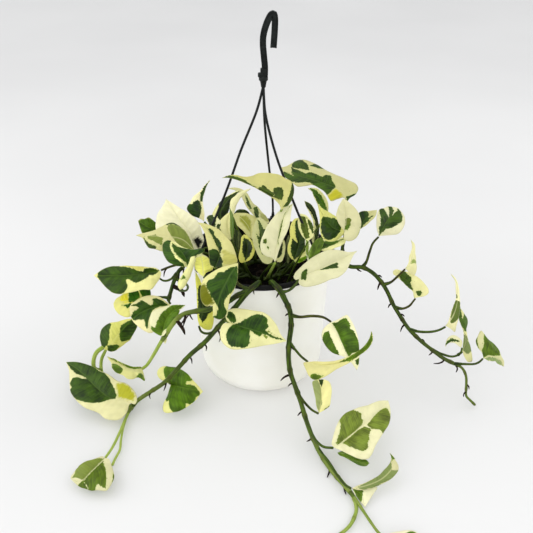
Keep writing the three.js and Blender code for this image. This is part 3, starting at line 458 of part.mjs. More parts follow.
const linerProfile = [
  [0, linerZ0], [LINER_BASE_R - 2, linerZ0], [LINER_BASE_R, linerZ0 + 2], [linerR(linerZ0 + 120), linerZ0 + 120], [LINER_TOP_R, lipZ0 - 1],
  [LINER_TOP_R + 1, lipZ0], [LINER_LIP_R, lipZ0], [LINER_LIP_R, lipZ1 - 0.8], [LINER_LIP_R - 0.8, lipZ1],
  [LINER_LIP_R - 3, lipZ1], [LINER_LIP_R - 4.4, lipZ1 - 1.2], [LINER_TOP_R - LINER_WALL, lipZ0 - 3],
  [linerR(linerZ0 + 120) - LINER_WALL, linerZ0 + 120], [LINER_BASE_R - LINER_WALL, linerZ0 + 2.6], [0, linerZ0 + 2.6],
];
const soilZ0 = linerZ0 + 2.6 + GAP;
const soilR = (z) => linerR(z) - LINER_WALL - GAP - 0.35;
const soilProfile = [[0, soilZ0], [soilR(soilZ0) - 0.4, soilZ0], [soilR(linerZ0 + 120) - 0.1, linerZ0 + 120], [soilR(linerZ0 + 121) - 0.1, SOIL_Z - 1.4], [50, SOIL_Z], [22, SOIL_Z - 0.4], [0, SOIL_Z]];

// ---------- hanger ----------
function stripGeometry(pts, w, t, rings) {
  const c = makeCurve(pts);
  const P = [];
  for (let i = 0; i <= rings; i++) P.push(c(i / rings));
  const verts = [], tris = [];
  const d = new THREE.Vector3(0, 1, 0);
  for (let i = 0; i <= rings; i++) {
    const T = P[Math.min(rings, i + 1)].clone().sub(P[Math.max(0, i - 1)]).normalize();
    const s = new THREE.Vector3().crossVectors(T, d).normalize();
    for (const [a, b] of [[1, 1], [-1, 1], [-1, -1], [1, -1]]) {
      const p = P[i].clone().addScaledVector(s, (a * w) / 2).addScaledVector(d, (b * t) / 2);
      verts.push([p.x, p.y, p.z]);
    }
  }
  for (let i = 0; i < rings; i++) for (let k = 0; k < 4; k++) {
    const a = i * 4 + k, b = i * 4 + ((k + 1) % 4);
    tris.push([a, b, b + 4], [a, b + 4, a + 4]);
  }
  const e = rings * 4;
  tris.push([0, 2, 1], [0, 3, 2], [e, e + 1, e + 2], [e, e + 2, e + 3]);
  return toGeometry(verts, tris);
}
function blockGeometry(w, d, h, x, y, z, rot) {
  return new THREE.BoxGeometry(w, d, h).rotateZ(rot || 0).translate(x, y, z);
}
function hangerParts() {
  const list = [];
  list.push(stripGeometry(HOOK_PATH, HOOK_W, HOOK_T, 26));
  const [hx, hy, hz] = HUB;
  list.push(new THREE.CylinderGeometry(4.6, 3.2, 22, 10).rotateX(Math.PI / 2).translate(hx, hy, hz + 6));
  list.push(blockGeometry(12.5, 6, 5, hx - 1, hy, hz + 15.5));
  for (const s of STRANDS) {
    list.push(tubeGeometry(s, STRAND_R, STRAND_R, 14, 6));
    const [x, y, z] = s[s.length - 1];
    const a = Math.atan2(y, x);
    const r = Math.hypot(x, y);
    // hooked clip over the liner lip: outer plate, top bridge, inner lip
    const zc = lipZ1 + GAP + 0.9;
    list.push(blockGeometry(2, 7, zc - lipZ0 + 1.8, (LINER_LIP_R + GAP + 1) * Math.cos(a), (LINER_LIP_R + GAP + 1) * Math.sin(a), (lipZ0 + zc) / 2, a));
    list.push(blockGeometry(9.6, 7, 1.8, (LINER_LIP_R + GAP - 2.8) * Math.cos(a), (LINER_LIP_R + GAP - 2.8) * Math.sin(a), zc, a));
    list.push(blockGeometry(2, 7, 5, (LINER_LIP_R - 7) * Math.cos(a), (LINER_LIP_R - 7) * Math.sin(a), zc - 1.6, a));
    list.push(tubeGeometry([[x, y, z], [(LINER_LIP_R + 1) * Math.cos(a), (LINER_LIP_R + 1) * Math.sin(a), zc]], STRAND_R + 0.5, STRAND_R + 0.9, 2, 6));
  }
  return list;
}

// ---------- assembly ----------
const group = new THREE.Group();
function addNode(name, geometry, color, roughness, metalness) {
  const mesh = new THREE.Mesh(geometry, new THREE.MeshStandardMaterial({ color, roughness, metalness: metalness || 0 }));
  mesh.name = name;
  group.add(mesh);
}
const solids = new Map();
solids.set('cover_pot', toSolid(lathe(potProfile(), 48)));
solids.set('nursery_pot', toSolid(lathe(linerProfile, 40)));
solids.set('soil', toSolid(lathe(soilProfile, 32)));
solids.set('hanger', joinAll(hangerParts()));
const tubeRings = (pts) => {
  let L = 0;
  for (let i = 1; i < pts.length; i++) L += Math.hypot(...pts[i].map((q, k) => q - pts[i - 1][k]));
  return Math.max(3, Math.min(24, Math.round(L / 15)));
};
const stemParts = (grp, grow) => TUBES.filter((t) => t[0] === grp).map(([, r0, r1, pts]) => tubeGeometry(pts, r0 + grow, r1 + grow, tubeRings(pts), r0 > 1.9 ? 6 : 5));
for (const grp of ['stems_left', 'stems_right', 'crown_stems']) solids.set(grp, joinAll(stemParts(grp, 0)));
const bladeOf = (leaf, grow) => toSolid(leafGeometry(leaf[2], leaf[3], leaf[4], LEAF_T + grow, leaf[5], 2));
for (const leaf of LEAVES) solids.set(leaf[0], bladeOf(leaf, 0));
// blades are relieved where a neighbour passes through, leaving a small gap
const leafByName = new Map(LEAVES.map((l) => [l[0], l]));
for (const [a, b] of CUTS) {
  let tool;
  if (leafByName.has(b)) tool = bladeOf(leafByName.get(b), 2 * GAP);
  else if (b === 'hanger') {
    tool = null;
    for (const s of STRANDS) { const t = toSolid(tubeGeometry(s, STRAND_R + GAP, STRAND_R + GAP, 14, 6)); tool = tool ? tool.add(t) : t; }
  } else tool = joinAll(stemParts(b, GAP));
  solids.set(a, solids.get(a).subtract(tool));
}
const LOOK = {
  cover_pot: [0xece9e0, 0.55], nursery_pot: [0x0c0d0d, 0.6], soil: [0x17120d, 0.95], hanger: [0x111312, 0.5],
  stems_left: [0x51661f, 0.45], stems_right: [0x51661f, 0.45], crown_stems: [0x5d7326, 0.45],
};
for (const [name, man] of solids) {
  const look = LOOK[name] || [leafByName.get(name)[1], 0.42];
  addNode(name, fromSolid(man), look[0], look[1], 0);
}

export default group;
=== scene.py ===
import math
import bpy
import bmesh
import numpy as np
from mathutils import Vector, Matrix, noise


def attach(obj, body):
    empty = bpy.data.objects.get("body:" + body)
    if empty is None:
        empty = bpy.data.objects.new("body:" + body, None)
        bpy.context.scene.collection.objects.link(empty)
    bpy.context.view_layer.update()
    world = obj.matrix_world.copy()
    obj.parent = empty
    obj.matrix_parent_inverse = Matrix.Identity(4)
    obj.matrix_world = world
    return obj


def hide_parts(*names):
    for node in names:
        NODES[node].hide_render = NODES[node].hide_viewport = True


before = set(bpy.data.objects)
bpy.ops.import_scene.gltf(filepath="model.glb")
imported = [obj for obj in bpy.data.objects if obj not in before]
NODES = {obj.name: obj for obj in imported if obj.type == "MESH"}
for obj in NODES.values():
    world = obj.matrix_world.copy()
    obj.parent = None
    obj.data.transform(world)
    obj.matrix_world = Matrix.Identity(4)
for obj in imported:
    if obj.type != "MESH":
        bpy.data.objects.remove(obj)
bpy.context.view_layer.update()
MM = 0.001
rng = np.random.default_rng(7)

# ---------------------------------------------------------------- driving sizes, mm
POT_RIM_R, POT_BASE_R, POT_H, POT_FILLET, POT_WALL, POT_FLOOR = 80.0, 73.4, 157.9, 24.0, 3.4, 4.0
LIP_R, LIP_T, LINER_TOP_R, LINER_BASE_R, LINER_WALL = 80.6, 5.2, 74.3, 50.0, 1.6
GAP, SOIL_Z = 0.35, 130.2
HUB = (2.9, 0.0, 352.0)
STRAND_R, HOOK_W, HOOK_T = 1.35, 6.4, 4.2

# leaf rows: name, slot, midrib, margin A, margin B (mm), green, grey-green and yellow
# patches as (along, across) outlines on the blade, then the four colours and side flag; leaves that lie in shade carry
# painted shade in their colours, as near-black greens and dark pale-slot colours
LEAVES = [
    ('leaf_left_01', 'leaf_cream',
     [[-116.3,-22,148.3],[-132.1,-30.4,149.4],[-159.1,-37.9,151],[-188.3,-38,151.5]],
     [[-116.3,-22,148.3],[-120.8,-20.9,150.9],[-129.5,-22.6,153.3],[-138.2,-24.3,155.3],[-154.7,-26.9,157.5],[-169,-28.7,157.9],[-177.8,-31.2,156.5],[-184.1,-35.2,153.7],[-188.3,-38,151.5]],
     [[-116.3,-22,148.3],[-114.7,-25.7,147.2],[-115,-33.6,145.4],[-118.2,-44,143.9],[-122.6,-53.5,142.7],[-131.1,-55.8,143.6],[-139.4,-59.5,144],[-147.6,-62.9,144.2],[-154.9,-65.1,144.3],[-162.8,-63.9,145.1],[-170.4,-57.8,146.8],[-180,-46.5,149.5],[-188.3,-38,151.5]],
     [[[0.931,-1.05],[0.825,-1.06],[0.706,-1.06],[0.594,-0.97],[0.463,-0.75],[0.369,-0.32],[0.294,-0.3],[0.263,-0.7],[0.163,-0.85],[0.006,-1.06],[0.069,0.3],[0.181,0.35],[0.238,0.23],[0.288,0.35],[0.338,0.45],[0.438,0.62],[0.531,0.28],[0.556,0.33],[0.525,0.78],[0.55,0.9],[0.606,1.08],[0.669,1.08],[0.756,1.06],[0.95,0.6]]],
     [],
     [[[0.594,-1.13],[0.238,-1.12],[0.275,-0.35],[0.381,-0.35],[0.463,-0.75]]],
     '#233d04', '#eae598', '#8c9b50', '#dcd574', 0),
    ('leaf_left_02', 'leaf_cream',
     [[-128.9,-44,125],[-139.2,-50.1,126.3],[-151,-53.5,127.3],[-165.8,-56.4,125.8]],
     [[-128.9,-44,125],[-126.5,-40.3,125.3],[-127.3,-33.6,127.7],[-131.8,-24.4,131.4],[-137.5,-19.5,134.1],[-143.2,-18.9,135.9],[-149.5,-22.7,136.5],[-153.7,-29.8,134.8],[-152.6,-37.5,132.3],[-158.3,-45.5,130.1],[-163.8,-50.7,128.1],[-165.8,-56.4,125.8]],
     [[-128.9,-44,125],[-131.8,-48.7,122.7],[-136.8,-55.4,119],[-141.9,-60.5,115.8],[-146.1,-63.8,113.6],[-150.4,-65.1,113.1],[-158.2,-64,115.7],[-162.8,-61.5,119.2],[-165.1,-58.8,122.7],[-165.8,-56.4,125.8]],
     [[[0.513,-1.06],[0.431,-1.1],[0.35,-1.08],[0.238,-1.08],[0.131,-1.11],[0.05,-1.13],[0.219,-0.12],[0.369,-0.35],[0.481,-0.65]],[[0.581,-0.68],[0.475,-0.47],[0.388,-0.32],[0.306,-0.1],[0.456,0.1],[0.588,0.12],[0.619,-0.05],[0.588,-0.25],[0.613,-0.5]],[[0.75,0.3],[0.656,0.2],[0.45,0.23],[0.594,0.45]]],
     [],
     [[[0.838,-0.75],[0.613,-0.5],[0.594,-0.05],[0.456,0.18],[0.713,0.12],[0.844,-0.32]]],
     '#245704', '#ded97f', '#8c9b50', '#eee33a', 0),
    ('leaf_left_03', 'leaf_cream',
     [[-103.2,-51.7,121.5],[-117.2,-56.9,122.1],[-131.2,-62.1,119.6],[-145,-67.9,112.8]],
     [[-103.2,-51.7,121.5],[-108.6,-50.6,126],[-114.1,-49.6,130.1],[-122.8,-50.1,132.7],[-131.5,-52.4,132.7],[-138,-55.2,130.5],[-145.6,-59.3,126.5],[-147.2,-62.1,122.3],[-146.1,-65.6,116.6],[-145,-67.9,112.8]],
     [[-103.2,-51.7,121.5],[-102.9,-55.7,119.2],[-106.4,-66.4,114.4],[-112.2,-76.2,110.5],[-117.2,-82.5,106.9],[-122.7,-83.7,105],[-130.9,-79.9,106.3],[-138.1,-74.8,108.8],[-142.4,-71,110.8],[-145,-67.9,112.8]],
     [[[0.363,-0.72],[0.3,-0.78],[0.169,-0.6],[0.056,0.33],[0.294,0.07],[0.475,0.1],[0.537,0.33],[0.594,0.53],[0.631,0.88],[0.663,0.73],[0.675,0.45],[0.831,0.45],[0.931,0.73],[0.963,-0.95],[0.812,-0.52],[0.706,-0.38],[0.713,-0.65],[0.756,-0.95],[0.656,-0.8],[0.55,-0.82],[0.513,-0.47],[0.475,-0.2],[0.406,-0.35]]],
     [],
     [],
     '#234304', '#e3daa2', '#8c9b50', '#c8c65c', 0),
    ('leaf_left_04', 'leaf_cream',
     [[-106.1,-94.5,109],[-106.2,-85.7,114.7],[-102.2,-74.4,121.4],[-94.5,-66.8,125.6],[-84.3,-62,127.6]],
     [[-106.1,-94.5,109],[-109.3,-94.7,109.4],[-114.3,-93.2,111.2],[-119.3,-90.3,114],[-121.5,-84.3,117.7],[-122,-78.4,121.5],[-120.3,-72.7,125],[-116.3,-69.2,126.5],[-109.9,-66.7,127.5],[-101.3,-63.8,128.5],[-92.5,-62.5,128.5],[-84.3,-62,127.6]],
     [[-106.1,-94.5,109],[-103,-91.5,112.2],[-98.2,-88,116.3],[-93.2,-80.7,121.2],[-90.3,-71.9,124.4],[-89.3,-68.2,125.6],[-86.7,-65.8,126.4],[-84.3,-62,127.6]],
     [[[0.675,-0.6],[0.8,-0.97],[0.994,-1.09],[0.988,1.09],[0.85,0.8],[0.794,0.55],[0.756,1.06],[0.569,1.04],[0.4,0.9],[0.244,0.83],[0.156,-0.05],[0.038,-0.97],[0.113,-1.06],[0.206,-1.08],[0.275,-0.95],[0.238,-0.68],[0.35,-0.52],[0.475,-0.45],[0.575,-0.5]]],
     [[[0.406,-0.38],[0.55,-0.35],[0.544,-0.02],[0.394,0.05],[0.463,0.4],[0.394,0.8],[0.213,0.43],[0.231,-0.22]]],
     [],
     '#446104', '#e0ddb1', '#929d31', '#c8c65c', 0),
    ('leaf_left_05', 'leaf_cream',
     [[-191.9,-22,33.3],[-184.8,-16.5,39.9],[-178.1,-8.8,46.4],[-170.5,0.8,51.6],[-162.1,12.6,55.5]],
     [[-191.9,-22,33.3],[-196,-19.7,33.8],[-199.6,-13.3,37.4],[-201.5,-5.8,42.6],[-200.5,0.3,47.4],[-196.3,4.8,51],[-190.3,7.2,53.1],[-181.6,8.5,54.4],[-174.3,10.5,55.4],[-167.7,12.5,55.9],[-162.1,12.6,55.5]],
     [[-191.9,-22,33.3],[-186.3,-21,29.9],[-181.2,-18.9,29.8],[-174.9,-14.4,32.4],[-169.2,-9.7,34.7],[-164.8,-5.6,36.2],[-160.5,2,41.5],[-157.1,9.4,46.1],[-158.7,12.6,51.6],[-162.1,12.6,55.5]],
     [[[0.306,-1.09],[0.425,-1.08],[0.519,-1.08],[0.606,-1.06],[0.594,-0.78],[0.475,-0.52],[0.325,-0.27],[0.175,-0.22],[0.056,-1.06],[0.2,-1.09]],[[0.144,-0.27],[0.306,0.48],[0.306,0.9],[0.169,1.09],[0.044,1.05]],[[0.7,-0.35],[0.856,-0.38],[0.981,-0.85],[0.85,1.08],[0.663,1.06],[0.513,0.95],[0.388,0.62],[0.463,0.18],[0.613,-0.12]]],
     [],
     [[[0.594,-0.78],[0.744,-0.88],[0.7,-0.35],[0.537,0.07],[0.294,0.55],[0.281,-0.05]]],
     '#264104', '#d4d171', '#8c9b50', '#cece68', 0),
    ('leaf_left_06', 'leaf_cream',
     [[-150.6,-94,13],[-164,-92.3,15.7],[-178,-90.5,17.9],[-192.6,-79.2,21.8],[-205.4,-67,25.1],[-221.3,-52.6,28.4],[-236.9,-41.6,30.2]],
     [[-150.6,-94,13],[-146.7,-97.2,12.5],[-144.4,-92.6,13.7],[-146.7,-83.6,16.4],[-153.6,-75.5,20.1],[-161.1,-71.4,22.7],[-169.5,-69.7,24.3],[-179.8,-63.4,27.4],[-191.5,-57.2,29.1],[-200.9,-51.4,30.5],[-211.5,-46.6,31.2],[-221.8,-43.2,31.5],[-230.7,-41.9,30.9],[-236.9,-41.6,30.2]],
     [[-150.6,-94,13],[-152.8,-98.4,12.8],[-153.2,-107.1,11.6],[-155.9,-114.8,11.2],[-160.5,-120.6,11.3],[-167.9,-122.6,12.4],[-175.9,-121.5,13.6],[-183.8,-114.9,15.1],[-191,-112.2,16.3],[-199.3,-109.7,17.8],[-207.2,-104,19.5],[-214.2,-97.5,21.1],[-220.6,-89.1,22.8],[-223.9,-80.2,24.2],[-226.5,-69.7,25.9],[-229.5,-57.3,27.7],[-233.5,-47.9,29.2],[-236.9,-41.6,30.2]],
     [[[1,-1.11],[0.95,-1.08],[0.881,-1.09],[0.794,-1.09],[0.7,-1.09],[0.625,-0.93],[0.55,-0.95],[0.469,-0.82],[0.388,-0.62],[0.319,-0.42],[0.25,-0.22],[0.213,0],[0.275,0.1],[0.338,0.35],[0.406,0.62],[0.463,0.75],[0.506,0.83],[0.581,0.98],[0.663,1.07],[0.706,1.07],[0.7,0.88],[0.769,0.98],[0.781,0.7],[0.744,0.35],[0.694,0.23],[0.65,0.05],[0.7,0.07],[0.8,0.35],[0.894,0.55]]],
     [],
     [[[0.381,-0.78],[0.331,-0.97],[0.25,-0.97],[0.144,-0.9],[0.088,-0.65],[0.206,-0.1]]],
     '#253e04', '#d8d39f', '#8c9b50', '#b8b730', 0),
    ('leaf_left_07', 'leaf_cream',
     [[-135.2,-88,58.3],[-148.2,-90.3,60.9],[-161.2,-85.3,63.6],[-176.3,-76,66]],
     [[-135.2,-88,58.3],[-136.2,-87.3,60.2],[-144.9,-88.9,61.8],[-152.9,-87.3,63.9],[-161.2,-83.8,65.5],[-167.5,-80.1,66.5],[-172.5,-78,66],[-176.3,-76,66]],
     [[-135.2,-88,58.3],[-131.9,-97.8,59.9],[-127.9,-114.9,62.8],[-136.1,-108.3,62.5],[-140.7,-113.3,64.3],[-147.1,-113.7,65.4],[-152.2,-109.3,65.9],[-160.3,-106.1,67.5],[-166.2,-98.5,67.7],[-169.1,-88.3,66.5],[-172.7,-82.8,66.4],[-176.3,-76,66]],
     [[[1,-1.1],[0.8,-1.11],[0.644,-1.09],[0.438,-1.07],[0.25,-1.07],[0.025,-1.06],[0.275,0.12],[0.469,-0.1],[0.725,-0.12]],[[0.812,0.75],[0.725,0.35],[0.613,0.4],[0.562,0.55],[0.606,0.95],[0.663,1.06],[0.763,1.06]],[[0.4,0.95],[0.175,0.7],[0.269,1.11]]],
     [],
     [],
     '#496404', '#cdca84', '#8c9b50', '#c8c65c', 0),
    ('leaf_left_08', 'leaf_cream',
     [[-107.1,-70,20],[-95.6,-76.9,21.3],[-83.6,-79.9,20.9],[-68.6,-79.4,16.6]],
     [[-107.1,-70,20],[-111.4,-68.1,21.4],[-118.5,-66.4,23.1],[-123.4,-62.1,25.6],[-124.5,-56.9,28.1],[-121.7,-52,30.2],[-115.9,-50,30.9],[-108.6,-51,30.1],[-101.3,-51.9,30.1],[-92.2,-58.9,30.5],[-85.8,-64.5,29.1],[-80.7,-69.9,26],[-74.6,-74.9,21.9],[-68.6,-79.4,16.6]],
     [[-107.1,-70,20],[-108.6,-78.4,18],[-110.2,-88.1,15.8],[-112.7,-94.9,14.3],[-113.2,-103.1,12.5],[-111,-109.3,12.2],[-106,-112.3,13],[-100.4,-111.8,13.7],[-94.8,-110.7,14.2],[-88.3,-106.7,15.1],[-81.9,-101.3,15.5],[-76.7,-94.8,15.7],[-72.7,-86.9,16.3],[-68.6,-79.4,16.6]],
     [[[0.338,-0.88],[0.419,-1.06],[0.506,-1.07],[0.613,-1.05],[0.719,-1.04],[0.788,-0.85],[0.713,-0.47],[0.638,-0.38],[0.581,-0.17],[0.744,-0.32],[0.838,-0.3],[0.894,0.05],[0.931,0.98],[0.819,0.7],[0.825,1.09],[0.738,0.93],[0.669,0.78],[0.694,1.09],[0.606,1.08],[0.562,1.07],[0.463,0.85],[0.394,0.62],[0.344,0.75],[0.194,1.08],[0.075,0.75],[0,-1.04],[0.231,-0.47],[0.263,-0.6],[0.312,-0.78]]],
     [],
     [],
     '#416004', '#dcd98a', '#8c9b50', '#c8c65c', 0),
    ('leaf_left_09', 'leaf_cream',
     [[-164.7,-179.1,12],[-169.9,-189.7,12.2],[-176.3,-199.1,11.3],[-182.2,-206.5,9.2],[-189.5,-206.6,7.9],[-196.4,-201.9,7]],
     [[-164.7,-179.1,12],[-167,-177.5,12.9],[-171.6,-180.4,14.1],[-176,-183.7,14.9],[-180.7,-186,15.6],[-186,-190.1,15.6],[-191.2,-192.6,11.6],[-193.7,-196.8,9.5],[-195.8,-199.5,8],[-196.4,-201.9,7]],
     [[-164.7,-179.1,12],[-160.7,-180.2,12.4],[-156,-188.7,11.9],[-151.9,-198.5,12.1],[-150,-205.3,12.2],[-151.1,-214.3,12.1],[-154.7,-222.1,11.5],[-163.7,-221.1,10.3],[-169.9,-220.8,9.3],[-176.6,-217.9,8.9],[-183.5,-214.8,8.2],[-190,-209.2,7.8],[-194,-205.2,7.4],[-196.4,-201.9,7]],
     [[[0.119,0.07],[0.25,0.48],[0.35,0.62],[0.438,0.75],[0.5,0.95],[0.531,0.73],[0.556,0.65],[0.631,1.07],[0.694,1.08],[0.706,0.2]],[[0.863,1.12],[0.713,0.12],[0.681,1.06],[0.769,1.11]],[[0.275,0.93],[0.319,1.08],[0.413,1.06],[0.344,0.93]]],
     [[[0.019,1.19],[0.306,-1.1],[0.575,-1.06],[0.769,-1.05],[0.838,-0.75],[0.944,-0.35],[0.75,-0.15],[0.694,0.12],[0,-1.04]]],
     [],
     '#495c04', '#ccc89d', '#6f7d31', '#c8c65c', 0),
    ('leaf_crown_01', 'leaf_cream',
     [[-73.3,-3.2,166],[-83.6,6,183.4],[-96.5,16.2,197.6],[-111.4,33.4,212.4]],
     [[-73.3,-3.2,166],[-76.4,-7.7,165.2],[-86,-13.3,169.1],[-97.7,-17.3,176.6],[-108.3,-18,184.8],[-116,-15.3,191],[-119.2,-8.5,196.3],[-119.6,0.8,201],[-118.4,11.2,205.3],[-114.8,20.9,208.2],[-112.2,28.9,210.7],[-111.4,33.4,212.4]],
     [[-73.3,-3.2,166],[-68.8,-1.4,167],[-66.5,3.7,174],[-69,8.5,182],[-71.2,12.5,187.8],[-75.9,17.1,194.5],[-82.9,20.2,199.4],[-93.4,24.2,204.6],[-101.8,28.2,208.4],[-108.4,31.6,211.1],[-111.4,33.4,212.4]],
     [],
     [],
     [[[0,-1.04],[0.213,-0.07],[0.244,0.55],[0.144,0.9]]],
     '#3e580a', '#e5e1bb', '#8c9b50', '#000000', 0),
    ('leaf_crown_02', 'leaf_green',
     [[-112.8,18.5,168.6],[-125,18.5,179.3],[-134.9,17.8,185],[-144.1,19.7,190.6]],
     [[-112.8,18.5,168.6],[-115.1,22,176.1],[-121.8,23.8,183.8],[-128,25,189.5],[-132.5,25.6,192.4],[-136.9,23,191.5],[-141.2,22.2,192.2],[-144.1,19.7,190.6]],
     [[-112.8,18.5,168.6],[-119.1,13.4,170.7],[-127.6,10.2,175.8],[-133,8.8,178.6],[-138.4,7.4,180.9],[-140.8,12.5,185.1],[-144.1,19.7,190.6]],
     [[[0.981,-1.15],[0.7,-0.93],[0.475,-1.04],[0,-1.14],[0.656,0.98],[0.869,1.09]]],
     [],
     [],
     '#3a570a', '#96965a', '#8c9b50', '#c8c65c', 0),
    ('leaf_crown_03', 'leaf_cream',
     [[-74.4,-28.8,178.7],[-87.5,-21,187.7],[-104,-21.2,192.3],[-123.5,-23.7,194.3],[-139.1,-23.3,195]],
     [[-74.4,-28.8,178.7],[-79,-18,184.8],[-85.4,-6.5,190.7],[-92.6,-0.6,194.4],[-101.3,2.2,197.4],[-107.1,-1.1,197.8],[-113.2,-7.7,197.1],[-120.2,-14.2,196.4],[-127.6,-18.1,196],[-133.9,-20.5,195.6],[-139.1,-23.3,195]],
     [[-74.4,-28.8,178.7],[-79.2,-31.5,178.3],[-89.9,-35.5,178.6],[-100.5,-38.5,181],[-109.2,-38.7,183.1],[-116.9,-37.5,185.2],[-123.5,-36.6,186.6],[-127.7,-32.2,189.5],[-131.6,-26.5,193.1],[-139.1,-23.3,195]],
     [[[0.869,0.68],[0.738,0.75],[0.594,0.85],[0.6,1.07],[0.7,1.1],[0.8,1.09]],[[0.594,-1.16],[0.513,-1.1],[0.413,-1.09],[0.325,-1.07],[0.425,-0.9],[0.519,-0.88],[0.588,-0.82]]],
     [[[0.569,-0.65],[0.531,-0.88],[0.425,-0.9],[0.331,-0.95],[0.206,-0.97],[0.019,-0.65],[0.125,0.9],[0.319,0.48],[0.444,0.12],[0.544,-0.32]],[[0.844,0.03],[0.731,-0.15],[0.588,0.2],[0.519,0.73],[0.656,0.55],[0.794,0.45]]],
     [],
     '#26370b', '#c8c389', '#707d32', '#c8c65c', 0),
    ('leaf_crown_04', 'leaf_cream',
     [[-79.4,-59.9,175.9],[-81.7,-53.7,183.6],[-88.1,-46.3,189.3],[-99.5,-33.9,194.6]],
     [[-79.4,-59.9,175.9],[-83.1,-60.8,176.5],[-91.4,-61.8,178.9],[-98.8,-61.4,182.4],[-103.5,-55.9,185.4],[-107.1,-46.9,189],[-107.3,-39.1,192.8],[-104.3,-35,194.9],[-99.5,-33.9,194.6]],
     [[-79.4,-59.9,175.9],[-76.6,-59.1,179.2],[-76.1,-55.8,184.2],[-68.8,-56.4,187.6],[-62.2,-56.5,191.1],[-60.1,-54,194.7],[-69,-51.4,192.9],[-76.8,-49.2,191.9],[-85.9,-44.4,192.6],[-93,-38.7,194.4],[-99.5,-33.9,194.6]],
     [[[0.95,-1.1],[0.963,-0.12],[0.731,-0.47],[0.494,-0.52],[0.375,-0.52],[0.181,-0.4],[0.044,-1.09],[0.206,-1.11],[0.356,-1.13],[0.5,-1.12],[0.681,-1.11],[0.825,-1.13]],[[0.869,-0.17],[0.713,0.1],[0.644,1.1],[0.413,1.12],[0.363,1.11],[0.231,0.95],[0.119,0.95],[0.013,1.08],[0.156,-0.1],[0.356,-0.35],[0.544,-0.4],[0.731,-0.32]]],
     [[[0.463,-0.5],[0.325,-0.35],[0.15,-0.38],[0.15,-0.93],[0.306,-0.68]]],
     [],
     '#1c3c04', '#dad896', '#f7f798', '#c8c65c', 0),
    ('leaf_crown_05', 'leaf_cream',
     [[-84.7,-91.9,167.1],[-79.9,-82.8,175],[-75.2,-72.2,182.1],[-70.4,-58.8,189.1]],
     [[-84.7,-91.9,167.1],[-87.3,-86.8,168.2],[-86.7,-80.2,172.1],[-83.7,-76.2,175.8],[-79.7,-71.1,180.2],[-76.4,-64,184.6],[-75.1,-58.3,187.2],[-70.4,-58.8,189.1]],
     [[-84.7,-91.9,167.1],[-81.3,-88.5,167.4],[-77.5,-82.5,171.1],[-74.2,-75.8,175.6],[-71.9,-68.6,181.2],[-69.6,-61.4,185.6],[-70.4,-58.8,189.1]],
     [[[0.319,-0.72],[0.431,-0.6],[0.356,0.25],[0.3,-0.45]]],
     [],
     [],
     '#3e580a', '#d8d692', '#8c9b50', '#c8c65c', 0),
    ('leaf_crown_06', 'leaf_yellow',
     [[-62,-66.8,167.4],[-62.7,-60.1,173.5],[-64.2,-52,178.8],[-67.5,-42.2,183.2]],
     [[-62,-66.8,167.4],[-67.1,-62.2,169],[-71.8,-56.1,171.7],[-72.7,-50.6,175.4],[-71.3,-45.4,179.3],[-67.5,-42.2,183.2]],
     [[-62,-66.8,167.4],[-59,-61.7,170],[-52.3,-55.8,170.5],[-54.6,-50.7,174.8],[-57.6,-45.5,178.7],[-62.6,-43.3,181.3],[-67.5,-42.2,183.2]],
     [],
     [],
     [[[0.831,-1.16],[0.7,1.25],[0.356,1.06],[0,-1.1],[0.463,-1.08]]],
     '#3e580a', '#e1dea0', '#8c9b50', '#f7f57a', 0),
    ('leaf_crown_07', 'leaf_cream',
     [[-48.6,-72,182.6],[-44.1,-62.4,192.4],[-47.1,-51.4,200.9],[-55.1,-39.7,208],[-69,-26.6,213]],
     [[-48.6,-72,182.6],[-52.3,-72.6,183.6],[-54.4,-69.6,188],[-55.2,-65.2,195.2],[-56.2,-59.6,199.3],[-58.2,-51.9,203.6],[-60.9,-41.6,207.8],[-64.7,-33.4,210.8],[-69,-26.6,213]],
     [[-48.6,-72,182.6],[-37.8,-74.1,185.4],[-25,-74.2,190.1],[-25.9,-67.3,194],[-28.6,-59.5,199.3],[-31.9,-53.6,203.3],[-36.4,-48.1,206.4],[-43,-41.5,210.2],[-49.8,-36.6,212.1],[-58.7,-31.5,213.4],[-69,-26.6,213]],
     [[[0.819,0.15],[0.781,0.45],[0.706,0.35],[0.606,0.1],[0.575,0.25],[0.494,0.28],[0.388,0.23],[0.288,0.03],[0.175,0.4],[0.075,1.15],[0.019,-1.12],[0.119,-1.04],[0.219,-1.07],[0.344,-1.05],[0.369,-0.55],[0.356,-0.2],[0.288,0.03],[0.375,-0.1],[0.488,-0.2],[0.631,-0.15]]],
     [],
     [[[0.375,0.25],[0.338,0.98],[0.256,1.1],[0.106,0.83]]],
     '#082404', '#c8c380', '#8c9b50', '#b8b45c', 0),
    ('leaf_crown_08', 'leaf_cream',
     [[-68,29.6,185.4],[-71.1,34.9,194.7],[-72.3,44.7,205.7],[-69.8,55.2,213.8],[-62.1,69,220.6]],
     [[-68,29.6,185.4],[-73.5,27.8,189.9],[-80.1,25.1,194.3],[-84.5,25.1,198.3],[-87.1,26.6,202.7],[-86.4,29.9,205.3],[-83.8,34.2,206.8],[-80.7,41.7,211],[-76.4,47.5,212.8],[-73.1,52,213.9],[-68.7,59,217.2],[-62.1,69,220.6]],
     [[-68,29.6,185.4],[-67.3,33,192.9],[-68.5,37.9,199.7],[-69.5,42.2,204.2],[-69.1,47,208.4],[-67.3,52.9,212.9],[-65.3,61,217],[-62.1,69,220.6]],
     [[[0.375,-1.05],[0.444,-0.95],[0.394,-0.7],[0.469,-0.72],[0.494,-0.42],[0.456,-0.05],[0.381,0.2],[0.256,0],[0.088,-1.05],[0.2,-1.11],[0.325,-1.09]],[[0.475,-0.05],[0.663,-0.4],[0.831,-0.75],[0.988,-1.08],[0.769,1.08],[0.556,1.06],[0.413,1.05]]],
     [],
     [],
     '#123204', '#f4edb8', '#8c9b50', '#c8c65c', 0),
    ('leaf_crown_09', 'leaf_cream',
